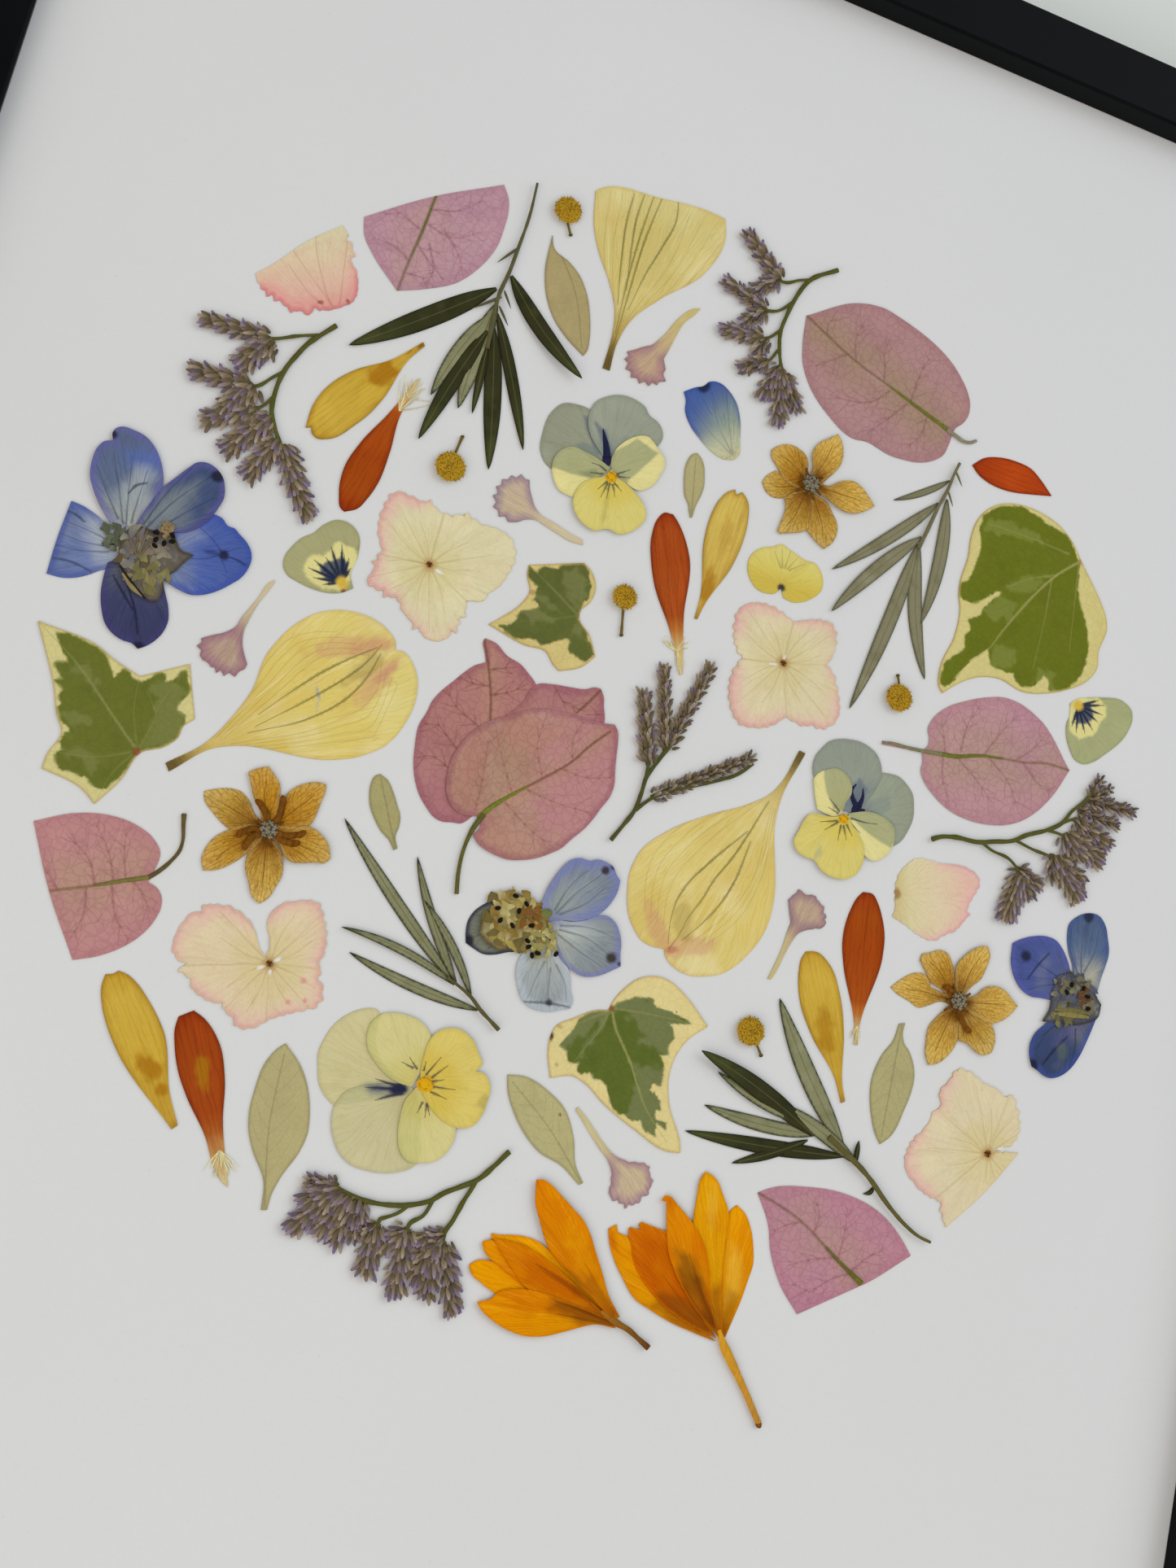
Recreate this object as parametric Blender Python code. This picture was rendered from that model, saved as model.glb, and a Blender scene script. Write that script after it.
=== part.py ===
"""Pressed flower frame: a black picture frame round a white card with a wreath of pressed flowers.

The frame lies on its back: x to the right, y to the top of the picture, z out of the picture.
The origin is under the middle of the frame, on the plane that it rests on.
"""
import math

import bmesh
import bpy

MM = 0.001

# ---------------------------------------------------------------- driving dimensions, in mm
OPENING_WIDTH = 290.0       # the part of the card that shows
OPENING_HEIGHT = 390.0
FACE_WIDTH = 14.0           # a rail seen from the front
FRAME_DEPTH = 22.0
LIP_WIDTH = 5.5             # how far the front of a rail covers the card
LIP_DEPTH = 6.0
RAIL_CHAMFER = 0.6
CARD_THICKNESS = 1.5
BOARD_THICKNESS = 3.0
SHEET_PLAY = 0.8            # between a sheet's edge and the rail round it
GAP = 0.3                   # between pieces that touch

HANGER_LENGTH = 46.0
HANGER_HEIGHT = 8.0
HANGER_THICKNESS = 0.8
HANGER_TEETH = 9
HANGER_TOOTH = 1.4
HANGER_BELOW_EDGE = 22.0    # from the board's top edge to the middle of the hanger

WREATH_Y = 23.1             # the middle of the wreath above the middle of the frame
PETAL_THICKNESS = 0.4
LEAF_THICKNESS = 0.5
STEM_THICKNESS = 0.95
SPIKE_THICKNESS = 1.4
CORE_HEIGHT = 1.6           # the round middle of a star-shaped flower
CORE_SIDES = 8
LAYER_STEP = 0.12           # how much higher a petal lies than the one under it
TOLERANCE = 0.25            # how far a straightened edge may stray from its outline

OUTER_WIDTH = OPENING_WIDTH + 2 * FACE_WIDTH
OUTER_HEIGHT = OPENING_HEIGHT + 2 * FACE_WIDTH
REBATE_WIDTH = FACE_WIDTH - LIP_WIDTH
LIP_Z = FRAME_DEPTH - LIP_DEPTH
CARD_TOP = LIP_Z - GAP
BOARD_TOP = CARD_TOP - CARD_THICKNESS - GAP
BOARD_BOTTOM = BOARD_TOP - BOARD_THICKNESS
SPECIMEN_Z = CARD_TOP + GAP


def pts(*xy):
    """Pairs of millimetres as a list of points."""
    return [(xy[i], xy[i + 1]) for i in range(0, len(xy), 2)]


# Outlines, in mm from the middle of the wreath: x to the right, y to the top of the picture.
# A specimen's layers are listed from the card upwards.
SHAPES = {
    "petal_pink_cut": [pts(
        -79.2, 81.2, -80.7, 79.7, -85, 75.2, -87.7, 71.3, -90, 68.3, -92.5, 65.5, -91.5, 63.8, -90, 62.7,
        -89.3, 62, -88.5, 62.2, -87.7, 61.6, -86.8, 61.7, -85.3, 61, -84, 60.4, -82.7, 61.4, -80.7, 61,
        -80.2, 61.7, -80, 63, -79, 62.8, -77, 63.7, -75, 65.2, -73.5, 66.5, -73, 68.3, -73.2, 70.2,
        -73.7, 71.7, -74.7, 73.7, -76, 74.8, -75.3, 76, -76.2, 77.8, -77.3, 78.7, -77.5, 79.7)],
    "bract_top": [pts(
        -65.7, 72.3, -63.7, 73.5, -60, 75, -57.3, 76.5, -55, 78.2, -53.3, 80, -51.3, 83, -50, 85.7,
        -48.8, 89.3, -48.5, 92.7, -48.5, 96.7, -49, 99, -50.7, 101.8, -55, 99.1, -60, 96.2, -64, 93.6,
        -70, 89.2, -75.6, 84.5, -74.5, 80.7, -72.3, 78, -69.7, 75.8, -67.7, 74)],
    "leaf_olive_1": [pts(
        -38.7, 95.3, -38.5, 90, -38.3, 87, -36.7, 82, -34, 78, -30.7, 75.3, -26.7, 73, -26.2, 74.3,
        -26.3, 76.7, -27.3, 81.3, -29.3, 86.3, -31.3, 89, -34, 91, -37.7, 92.7)],
    "petal_yellow_top": [pts(
        -22.3, 72, -20.8, 72, -20.7, 77.7, -20, 80.3, -19, 83.7, -17, 86.7, -14.3, 90.3, -11.7, 93.3,
        -9, 96, -6.3, 99.3, -4.7, 102.7, -3.7, 106, -3.5, 108.7, -4, 111.3, -4.5, 112.8, -9, 113,
        -18.7, 111.8, -25, 110.5, -31.3, 109, -32.3, 108, -31.8, 105, -30.7, 100, -28.7, 95.7,
        -25, 90, -22.5, 84.3, -22, 80.3)],
    "bract_upper_right": [pts(
        17.3, 99, 20.3, 100.7, 23.3, 103, 28, 106, 31, 106.8, 34.3, 107, 37, 106.5, 40, 105, 45, 102.7,
        50, 100.2, 53.7, 98.7, 55.7, 96.3, 57, 93.7, 57.2, 91, 56.3, 88.7, 55, 87.2, 53.5, 86.3,
        53.7, 84.7, 54, 82.7, 53.3, 80.3, 51.3, 78.3, 48.3, 76.8, 45, 76.2, 42, 76, 38.7, 76.4,
        35.3, 77, 33.7, 76.7, 31.7, 77.3, 28.7, 78.7, 26, 80, 23.7, 82, 20.7, 85, 18.7, 88.7,
        17.8, 92.7)],
    "ray_yellow_1": [pts(
        -58.3, 63.9, -60.3, 61.5, -63.3, 58.3, -66.7, 55.7, -70, 53.3, -72.7, 50.3, -74.7, 46.7,
        -75.5, 44, -75.8, 41.3, -75.7, 39.3, -74.7, 39.8, -74.3, 38.7, -73.3, 38.1, -71, 38.7,
        -69, 40.5, -66.7, 43.3, -64.7, 46.3, -63, 50, -62, 53.3, -60.7, 57, -60, 59.7, -57.8, 63.3)],
    "ray_red_1": [pts(
        -57.4, 56.5, -58.6, 53.5, -60, 50.4, -61.4, 47.2, -62, 46, -63.7, 43, -65, 40, -66, 37.3,
        -66.7, 34.3, -66.7, 31.3, -66.3, 28.7, -65.3, 26.3, -64.5, 25.9, -63.7, 26.2, -62.3, 27.3,
        -61, 29.7, -59.8, 33.3, -59.3, 36.7, -59.1, 40, -59.1, 44.3, -59, 47.7, -58, 51.5, -56.9, 56.3)],
    "petal_blue": [pts(
        -2.7, 75, -4.8, 73.3, -4, 71.7, -3.7, 69.7, -2.7, 68, -1.3, 66.3, 0, 65.3, 2, 64.5, 4.3, 63.8,
        6.3, 63.2, 7.7, 62.7, 8.8, 63.2, 9.4, 64.2, 9.2, 65.7, 9, 67.7, 8.5, 69.7, 8, 72, 6.7, 74.7,
        4.7, 76.7, 2.3, 77.8, 0, 77.3, -1, 76)],
    "ivy_right": [pts(
        89, 68.4, 87.3, 70.3, 85.7, 72.3, 83.3, 74, 80.7, 75, 77.7, 75.7, 74.3, 75.9, 70.3, 75.2,
        67.7, 74, 65.7, 72.3, 64.3, 70.3, 63.5, 67.7, 63, 64.3, 63.2, 61, 62.8, 57.3, 62.5, 54.3,
        62.7, 52, 63.5, 49.3, 63.7, 46, 63.5, 42.7, 62.8, 39.3, 61.8, 36.3, 61.7, 33.7, 62.3, 31.3,
        63.3, 30.3, 64.3, 31.3, 66.3, 33.3, 69.3, 35.3, 72, 36.7, 75, 37.3, 78.3, 36.8, 81, 36.3,
        84.7, 37.3, 87.3, 38, 90.3, 39.5, 93.3, 41.7, 96, 44.3, 97, 46.7, 96.7, 50, 97.5, 53.3,
        97.7, 56, 97, 58.3, 95.7, 60.3, 93.7, 62.7, 91.7, 65, 90, 67)],
    "petal_viola_left": [pts(
        -65, 24, -62.3, 23.7, -61, 22.7, -60.3, 20.7, -59.9, 18.3, -60.1, 16, -60.3, 14.3,
        -59.2, 12, -60.8, 10.7, -63.3, 10.6, -67.3, 10, -69.7, 9.9, -71.7, 10.5, -72.8, 11.7,
        -73.1, 13.7, -72.3, 16, -71, 18.2, -69, 20, -67.7, 22)],
    "ivy_small": [pts(
        -27.4, 27.7, -23.3, 29, -20, 30.3, -18.3, 31.2, -16.8, 31.7, -15.3, 30.8, -14, 29.3, -13.3, 27,
        -14, 24, -15.2, 22.3, -15.3, 21, -14, 19.3, -12.3, 17.8, -11, 15.7, -10.3, 14.2, -10.7, 13.3,
        -12.3, 11.5, -15, 10.3, -16.6, 9.2, -18, 10, -20, 12, -24.3, 12, -27.3, 12.5, -32.3, 13.7,
        -30, 16, -28.3, 18.3, -26.7, 20.3, -26, 22.3, -26.7, 24, -27.3, 26)],
    "ray_red_2": [pts(
        -3.2, 47.2, -1.3, 47.5, -0.7, 47, 1.3, 44.8, 2.7, 42.7, 4, 40, 4.5, 37.7, 4.7, 34.7, 5, 31.3,
        5.5, 28, 6.3, 25, 7, 21.7, 7.2, 18.6, 7.9, 16.4, 7.4, 16.1, 6.4, 18.4, 5, 21.3, 3.7, 23.7,
        2, 26.7, -0.3, 29.7, -2, 32.7, -3.3, 36, -4.2, 39, -4.6, 42, -4.5, 44, -4, 46)],
    "ray_yellow_2": [pts(
        10.2, 57, 10.7, 56, 11.8, 57, 13, 56, 13.8, 54, 14.3, 51.3, 14.3, 48.3, 14, 45.3, 13.2, 41.7,
        12.2, 38.7, 11, 35.7, 10, 33, 9, 31, 8.4, 28.3, 7.8, 28.3, 8.1, 30.7, 8, 33, 7.3, 36.7,
        6.7, 41, 6.2, 45, 6.3, 48.7, 6.8, 51.7, 7.7, 54.3, 8.8, 56)],
    "ivy_left": [pts(
        -112.3, -12.3, -109.3, -12.5, -106, -13.2, -102.7, -13.3, -100.3, -13.7, -98.3, -14.7,
        -96, -15.3, -92.5, -16.5, -90, -14.8, -87.3, -13.2, -84.5, -11.5, -83.3, -14.3, -82.3, -17.3,
        -81.3, -20, -81, -21.1, -82, -22.2, -82.7, -23.2, -82.9, -25, -84.7, -27.5, -86.7, -28.8,
        -88.5, -29.8, -88.8, -31, -89.7, -33.3, -90.7, -35.7, -92.3, -38.7, -93.9, -41.2, -95.3, -40,
        -96.7, -39.3, -99.3, -39, -102, -38.2, -104.4, -37.7, -104.3, -35.3, -103.7, -32.7,
        -103, -30.2, -104.5, -27.8, -105.2, -26, -106.3, -23.3, -108, -20.3, -109.2, -17.8,
        -111.3, -14)],
    "petal_yellow_left": [pts(
        -83.9, -30.4, -82.9, -31.7, -80.7, -29.7, -78.7, -27.7, -76, -25, -73.3, -23.8, -70.3, -23.4,
        -67.7, -22.8, -61.7, -21.9, -58, -21.3, -54.7, -20.7, -51.3, -19.3, -48.7, -17.7, -46.3, -15.7,
        -44.3, -12.7, -43.2, -9.7, -42.5, -6.7, -42.5, -4, -43, -1.3, -44, 0.7, -45.7, 2.3, -47.3, 3.2,
        -48.5, 3, -48.7, 4.2, -50, 5.3, -51.3, 6.5, -53.3, 7.3, -55.7, 7.6, -58.3, 7.6, -61, 7,
        -63.3, 6, -66, 3.7, -68.3, 1.3, -70.3, -2.3, -71.4, -5, -71.8, -7.3, -72, -10, -72.4, -12.9,
        -73.3, -15, -74.3, -18, -76, -21, -78, -24.7, -80, -26.7, -82, -28.7)],
    "bougainvillea": [
        pts(-32.3, 10.8, -30, 10.5, -27.3, 8.8, -24.3, 8, -22.3, 6.7, -20.5, 5.2, -19.5, 2, -22, -2,
            -25, -12, -26.6, -23.4, -28.3, -25.2, -30, -25.5, -31.8, -25.9, -33.7, -25.5, -35.3, -24.3,
            -37.3, -22.3, -38.7, -20, -39.8, -17, -40.4, -13.5, -40.6, -9.3, -39.8, -6.7, -39.2, -4,
            -38, -1.7, -36.3, 0.7, -34.7, 3, -33, 5, -31, 6.3, -31.8, 8.3, -32.5, 10),
        pts(-20.3, 5.2, -17.3, 6.2, -14, 6.7, -10.7, 7.3, -8.7, 8.3, -7.7, 8.3, -6.8, 7, -6.3, 5,
            -5.7, 3.3, -5.4, 0, -6, -5, -10, -14, -18, -20, -25.6, -22.6, -27.2, -16, -27.5, -9,
            -26, -4, -23.4, -0.7, -20.5, 1.6, -18.3, 3.7),
        pts(-3.4, 2.3, -5.5, 1.9, -7.3, 1.8, -11.7, 1.7, -15.7, 1.4, -19.3, 0.5, -22, -0.8,
            -24, -2.2, -27.5, -4.5, -30, -7, -31.7, -9.7, -32.8, -12.7, -33.2, -15.7, -33, -18.3,
            -32.3, -20.7, -30.7, -22.7, -28.7, -23.5, -26.3, -23.2, -25.2, -22.9, -24.6, -25,
            -25.6, -26.7, -24.3, -28, -22.3, -28.8, -20, -29.2, -18.3, -29.3, -15, -28.5,
            -12.3, -27.3, -10, -25.7, -8.3, -24.3, -6.7, -22, -4.7, -19.3, -3.3, -16.7, -2.3, -14.3,
            -1.2, -12, -0.8, -9.3, -1.3, -6.3, -1.7, -3.3, -2, -0.7, -2.5, 1.2)],
    "bract_right": [pts(
        61.2, 17, 61.8, 15, 61.8, 13, 63, 11, 65, 9.3, 67.7, 7.7, 70.3, 6.7, 74, 6.2, 77.7, 6.4,
        80.3, 7, 83, 7.8, 85.7, 9.3, 88, 11.3, 90, 14, 91.7, 16.3, 93, 18.7, 94, 21, 94.8, 23.2,
        93, 25, 90.7, 27.3, 87.7, 30, 86, 31.7, 83.7, 32.7, 80.3, 33.7, 77, 33.7, 73.7, 32.7,
        70, 30.7, 68.3, 30, 65.3, 28, 63.3, 25.7, 62, 23.7, 61.6, 22, 62.3, 20, 62.2, 18.3)],
    "petal_viola_right": [pts(
        92.3, 37.3, 93.7, 38.7, 96, 39.7, 99.3, 40.8, 102, 41.3, 104.7, 41.5, 106.7, 40.3, 107.3, 38.3,
        106.8, 35.7, 105.3, 33.3, 103.7, 31, 102, 28.7, 100, 26.7, 97.7, 25.5, 95.7, 25.8, 94, 27.7,
        92.8, 30, 92.3, 32.7, 92.7, 34.7)],
    "bract_left": [pts(
        -103.2, -47.2, -100, -45.3, -96.7, -43.8, -93.3, -42.8, -90, -42.4, -86.7, -42.6, -84.3, -43.3,
        -82.3, -44.3, -80.8, -45.8, -80.1, -47.8, -80.5, -49.5, -81.2, -50.9, -81.2, -52, -79.3, -52.7,
        -78.2, -54, -77.8, -55.7, -78.2, -58, -79.2, -60, -80, -61.7, -81.7, -63.7, -84, -65.3,
        -86, -67, -88, -68.2, -90.1, -68.9, -92.7, -65.3, -95, -62, -97.3, -58.3, -100, -53.5,
        -102, -49.6)],
    "petal_yellow_centre": [pts(
        35.2, 9, 34.7, 6.7, 33.7, 4, 32.7, 1.3, 31.3, -1, 29.3, -3, 27, -4.7, 24.3, -6.4, 22, -7.8,
        19.3, -9.3, 15.3, -12, 12, -14.7, 9.3, -17.7, 7.3, -20.3, 6.6, -22.5, 6.2, -25, 6.4, -27.3,
        7, -30.3, 8, -33, 9.7, -35.3, 11.3, -36.7, 13.3, -37.3, 16.3, -37.2, 16.7, -38.2, 18, -39.3,
        19.7, -40.3, 22.7, -40.7, 25.7, -40, 28.7, -38.7, 31, -36.7, 33, -34, 34.7, -31, 35.7, -28.3,
        36.2, -25.3, 36.2, -22, 35.8, -18.7, 35, -14.3, 34.3, -11, 33.7, -8, 33.2, -5.3, 33.3, -2.7,
        34, 0, 35, 3.3, 35.8, 6.7, 36.5, 8.8)],
    "ray_yellow_3": [pts(
        -84, -69.8, -82.8, -69.4, -82, -68.6, -80.4, -68.8, -78.4, -69.8, -76, -71.8, -73.6, -74.4,
        -71.6, -76.8, -70, -80.4, -68.8, -84, -67.6, -87.2, -66.4, -89.8, -64.9, -92, -65.7, -92.9,
        -67.6, -91.6, -70, -89.4, -72.8, -86.8, -76, -84.4, -78.8, -81.8, -81.2, -78.6, -83.2, -75,
        -84.1, -72)],
    "ray_red_3": [pts(
        -69.7, -73.6, -68.8, -72.7, -67.4, -71.9, -65.6, -72.6, -63.6, -74.2, -61.6, -76.2,
        -60, -79.2, -59, -82, -58.4, -85.2, -57.4, -89.2, -56.4, -92.4, -55.5, -94.8, -54.6, -97.6,
        -53.5, -100.2, -55, -99.4, -56.4, -98, -57.6, -95.6, -59.6, -92.8, -62, -90, -64.8, -86.6,
        -67.2, -83, -69, -78.8, -69.8, -75.6)],
    "leaf_olive_2": [pts(
        -50, -73.3, -48.4, -74.4, -46.4, -76.4, -45, -79.2, -43.6, -82, -42.4, -85.2, -42.1, -88,
        -42.6, -90.8, -43.8, -94, -45, -96.8, -45.7, -99.6, -45.8, -102.4, -46.8, -102.6, -47, -100,
        -47.6, -97.8, -49.2, -95.6, -51, -92.8, -52.4, -90, -53.2, -86.8, -53.3, -83.2, -53, -79.6,
        -52.4, -76.8, -51.2, -74.6)],
    "ivy_centre": [pts(
        8.5, -49.7, 9.3, -48, 10.7, -46, 12.3, -44.3, 14.3, -43.2, 16.7, -42.7, 19, -43, 21.7, -44.3,
        23.7, -45.7, 25.7, -47.3, 28.2, -49.3, 26, -51.7, 24.7, -53, 23.7, -55, 22.8, -57.7,
        22.6, -60.3, 23, -63, 24, -66, 25.2, -68, 26.4, -70.4, 27.6, -72.4, 28, -73.9, 25.6, -74.2,
        22, -73, 18, -71.8, 14, -70.2, 11.2, -68.8, 9, -67.3, 6.7, -66, 4.3, -65.3, 1.7, -66,
        -0.2, -66.7, -1.2, -64.3, -1.8, -62, -2, -59.3, -1.5, -57.3, 0, -56, 1.7, -54.7, 4.3, -53.3,
        6, -52, 8, -51.5)],
    "leaf_olive_3": [pts(
        -8.4, -68.2, -5.3, -67.7, -1.6, -68.7, 0.8, -69.6, 3.2, -71, 5.2, -73.6, 6.8, -76.4,
        7.8, -79.6, 8.4, -81.2, 10.5, -83.9, 9.8, -84.4, 7.6, -82.8, 5.6, -81.8, 3.2, -81.2, 0.8, -80.4,
        -1.6, -78.8, -4, -76.4, -6, -74, -7.6, -71.2)],
    "ray_yellow_4": [pts(
        46.8, -29.2, 45, -29.7, 44.4, -31.3, 44.4, -33.7, 45, -36.7, 46, -39.7, 47.7, -42.7,
        49.7, -45.3, 52, -48, 54.3, -50.3, 56.3, -52.3, 57.3, -54.3, 58.5, -56.5, 59.2, -56,
        58.2, -53.7, 57.7, -51.3, 57, -47.7, 56.3, -43.7, 55, -39, 53.3, -35, 51.3, -31.7, 49.3, -30,
        48, -29.3)],
    "ray_red_4": [pts(
        54.5, -14.8, 55.7, -14.5, 56.7, -14.7, 58, -16, 59.5, -18.5, 60.8, -22, 61.2, -26, 60.5, -30.7,
        60, -35.3, 59.7, -39.3, 59.2, -41.7, 59.5, -44.7, 58.8, -44.7, 58.3, -41.7, 57.7, -40,
        56.3, -36.7, 54.7, -33, 53.3, -29.7, 52.3, -26, 52.1, -22.7, 52.7, -18.7, 53.5, -16.3)],
    "leaf_olive_4": [pts(
        67.5, -38.2, 68.7, -37.8, 68.6, -39.7, 69.3, -41.7, 70.7, -43, 72, -45, 72.8, -47.7, 72.7, -51,
        72, -54.3, 71, -57.3, 69.7, -60.7, 68.2, -62.2, 66.7, -60.3, 65.3, -57.3, 64.3, -54,
        63.9, -51, 64.5, -48, 65.3, -44.7, 66.8, -42, 67.3, -40)],
    "bract_bottom": [pts(
        45.1, -77.3, 47.6, -75.8, 50, -75.1, 52.4, -74.7, 55.2, -73.8, 58, -73.4, 60.8, -73.2,
        63.6, -73.3, 66, -73.9, 69.2, -74.4, 72, -75.6, 74, -76.9, 76.4, -78.8, 79, -81.5,
        75.6, -84.6, 72.4, -87.3, 70.2, -89.1, 66, -92.2, 62, -95, 57.9, -97.5, 55.2, -95, 53.2, -92.8,
        51.6, -90.4, 50, -87.2, 49, -84, 48.6, -82.8, 47.6, -81.4, 46, -79)],
    "hydrangea_1": [pts(
        -57.8, 27.7, -57.3, 30.3, -57, 32.3, -55.3, 33.5, -51.3, 33.2, -50.2, 33, -49.3, 33.8,
        -48, 33, -47, 32.2, -45.3, 32, -43.7, 32.8, -41.7, 33.5, -38.7, 32.5, -35, 32.5, -32.3, 31.7,
        -31, 30.3, -30.3, 28, -30.7, 25.7, -31.2, 23.7, -32, 21.7, -33, 20.3, -34, 19, -34.3, 17.7,
        -36, 17.3, -37.7, 16.7, -37.2, 15, -37, 13.7, -37.8, 13.3, -37.7, 11.3, -38, 10, -39, 10,
        -39.3, 8.7, -40.3, 7.7, -42, 7.1, -43.7, 7.3, -45.2, 8.5, -46.2, 8, -47, 9.7, -48.2, 9.8,
        -48.7, 10.8, -49.8, 11.3, -50, 12.5, -51.5, 12.8, -53, 12.3, -53.7, 13.2, -55, 13.2,
        -56.3, 13.5, -57.1, 14.3, -56.8, 16, -56.2, 17.5, -57.1, 18.3, -56, 19, -56.4, 20, -55.7, 21,
        -56, 22, -57.2, 23.7, -57.7, 25.7)],
    "hydrangea_2": [pts(
        20.7, 36, 19, 35.3, 17.3, 34.3, 16, 32.3, 16, 30, 16.4, 28, 17.4, 26, 18.3, 24.4, 19.3, 23.5,
        18.2, 21.3, 17.8, 19.3, 18.2, 16.7, 18.7, 14, 20, 11.8, 21.7, 10.3, 23.7, 10.4, 25.7, 11.2,
        27.6, 12.1, 29.7, 13.3, 30.8, 14.8, 32.7, 14.5, 34.8, 14, 36.3, 14.7, 38.7, 14.7, 40.3, 15.5,
        41.5, 17, 42, 19, 41.5, 21.3, 40.7, 23, 40, 25, 39, 26.7, 37.3, 27.9, 38, 30, 38.3, 32.7,
        37.8, 35.3, 36.3, 36.8, 34.3, 36.7, 32, 36, 30, 35.3, 28.3, 34.4, 27, 35, 25, 35.8, 23, 36)],
    "hydrangea_3": [pts(
        -70.8, -54.7, -70.8, -53.3, -69, -52.7, -66.5, -52.2, -63.7, -52.8, -62, -53.7, -60.7, -55,
        -59.7, -56.7, -58.7, -58.2, -57.4, -59.4, -57.2, -58, -57.3, -56.7, -58.3, -54.7, -58.8, -53,
        -58.5, -51.3, -57.5, -49.8, -56.7, -48.8, -55.3, -48.3, -53.3, -47.7, -51, -47.2, -50, -47.5,
        -49, -49.3, -48.3, -51.3, -47.5, -53.3, -47.3, -56, -47.8, -58.2, -46.7, -59.3, -47.3, -60.2,
        -46, -61.7, -45.4, -64, -46.2, -65.7, -48.7, -66.8, -50, -67.7, -52, -68.8, -53.6, -69.8,
        -54.8, -71, -56.8, -72.4, -58.4, -72.8, -59.6, -72.6, -60.4, -71.4, -61.4, -70.6,
        -62.4, -70.2, -62.8, -69.4, -64.8, -69.6, -66.8, -68.8, -68.4, -68.6, -69.5, -67.3,
        -70, -66.3, -71.7, -66, -71.7, -65, -71.2, -64.3, -73, -63.7, -74, -62.3, -74.1, -61,
        -73.7, -59, -73.2, -56.7, -72.3, -55)],
    "hydrangea_4": [pts(
        82.7, -43.3, 81.3, -44, 80.7, -45.3, 80, -47, 79, -48.3, 78.8, -49.7, 79.7, -51.3, 79.2, -52.3,
        78, -53.3, 78, -54.3, 77, -56, 75.7, -58.3, 74.5, -60.7, 74, -63.3, 74.7, -65.7, 76.3, -67.3,
        78, -68.2, 80, -68.8, 81.2, -69.6, 83.2, -69.8, 83.6, -71.6, 84.4, -73.2, 85.4, -74.4,
        87.6, -71.8, 90, -69, 92, -66.3, 94.3, -63, 96.3, -59.8, 98.2, -56.6, 95, -57, 92.9, -57.4,
        94.7, -56.3, 96.7, -55, 97.5, -53.3, 97.5, -51.3, 97, -49.3, 96.2, -48.3, 95.8, -46.7,
        95, -45.7, 92.7, -46.3, 91.7, -45.7, 89.3, -45, 87.3, -44.7, 85.3, -43.7)],
    "star_1": [
        pts(24.5, 62.5, 17.7, 64, 16, 62, 15.5, 60.7, 16.7, 59, 18.7, 58.3, 20.3, 58.7, 25, 61.5),
        pts(24.5, 64.5, 24.3, 68, 23.5, 69.3, 21.7, 70.2, 19.3, 70.3, 17.3, 69.3, 16, 68, 16.2, 66.7,
            17.7, 65, 20, 62.7, 24.8, 61.7),
        pts(26.8, 62, 30.3, 61, 31.7, 59.3, 33.2, 57.3, 33.5, 55.7, 33, 53.3, 31.5, 51.3, 28.7, 52.7,
            26.9, 54.1, 26, 57, 25.4, 61),
        pts(24.5, 62, 20.8, 59, 21.5, 56.7, 21.2, 54, 20.8, 51.7, 21.5, 51.2, 23.3, 52, 25.7, 53,
            27.3, 54.3, 27.6, 58, 26.5, 62),
        pts(25.2, 64.5, 25.3, 67.7, 24.7, 69.7, 25, 71.7, 26, 73.3, 28, 75, 29.2, 76.2, 30.3, 75,
            31.2, 72.7, 31.2, 70, 30.3, 68, 29.2, 66.3, 27.5, 63.5),
        pts(26.5, 62.5, 30.3, 61.6, 32.3, 60.8, 34.8, 60.5, 36.3, 60.8, 38.3, 62, 40.3, 63.8,
            38.7, 65.3, 36.7, 66.8, 34.7, 67.4, 33, 67, 31.3, 66, 29.8, 64.7, 26.8, 64.5)],
    "star_2": [
        pts(-64.3, -36, -66, -34.7, -68, -32.3, -69.3, -31.5, -71.7, -31.5, -74, -32.3, -75.9, -33.3,
            -75.5, -34.7, -73.3, -36.7, -71.7, -37.8, -69.7, -38.7, -66, -38.4, -63.5, -38),
        pts(-63.8, -38, -65.2, -41.2, -66, -42.7, -67.7, -44.7, -70, -46.5, -72.3, -47.3, -73.2, -45.3,
            -73, -43.3, -72, -41, -70, -39, -67, -37, -64, -36.4),
        pts(-62, -38.3, -60, -39.7, -58.8, -42, -58.4, -44.3, -59, -46.7, -59.8, -49, -61, -50.3,
            -62.3, -49.7, -64, -47, -65.2, -44.7, -65.5, -42.3, -64.8, -40, -63.8, -38),
        pts(-62.6, -35.8, -61.6, -32, -61.2, -29.3, -60, -27.7, -58.3, -26.5, -56.3, -25.7,
            -54.8, -25.7, -54.6, -27, -54.9, -29.3, -55.2, -32, -55.7, -33.7, -58, -35, -61.6, -37),
        pts(-64, -36.2, -65.3, -34, -67, -32, -68, -30, -69.2, -27.7, -68, -26.7, -66, -25.6,
            -65, -26.3, -63, -28.3, -62.4, -31, -62.4, -35.5, -63, -36.6),
        pts(-61.8, -35.8, -58.3, -34.9, -55.7, -34.2, -53.3, -35, -51.7, -36.3, -50.6, -38.8,
            -51.3, -39.8, -53.3, -40.3, -55.3, -41, -57.3, -41.4, -59, -40.7, -60, -39.3, -62, -38)],
    "star_3": [
        pts(77.6, -30, 72.7, -29.3, 72, -28, 70.7, -27.2, 68.7, -27.5, 66.3, -29.3, 64.2, -31.6,
            65.3, -32.3, 68.7, -33.3, 71, -34, 73, -33, 75.3, -31.6, 78, -31.6),
        pts(78.6, -29.5, 77.6, -26.5, 76.3, -23.3, 75, -21.8, 73.5, -21.5, 71, -22.7, 69.5, -23.3,
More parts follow.
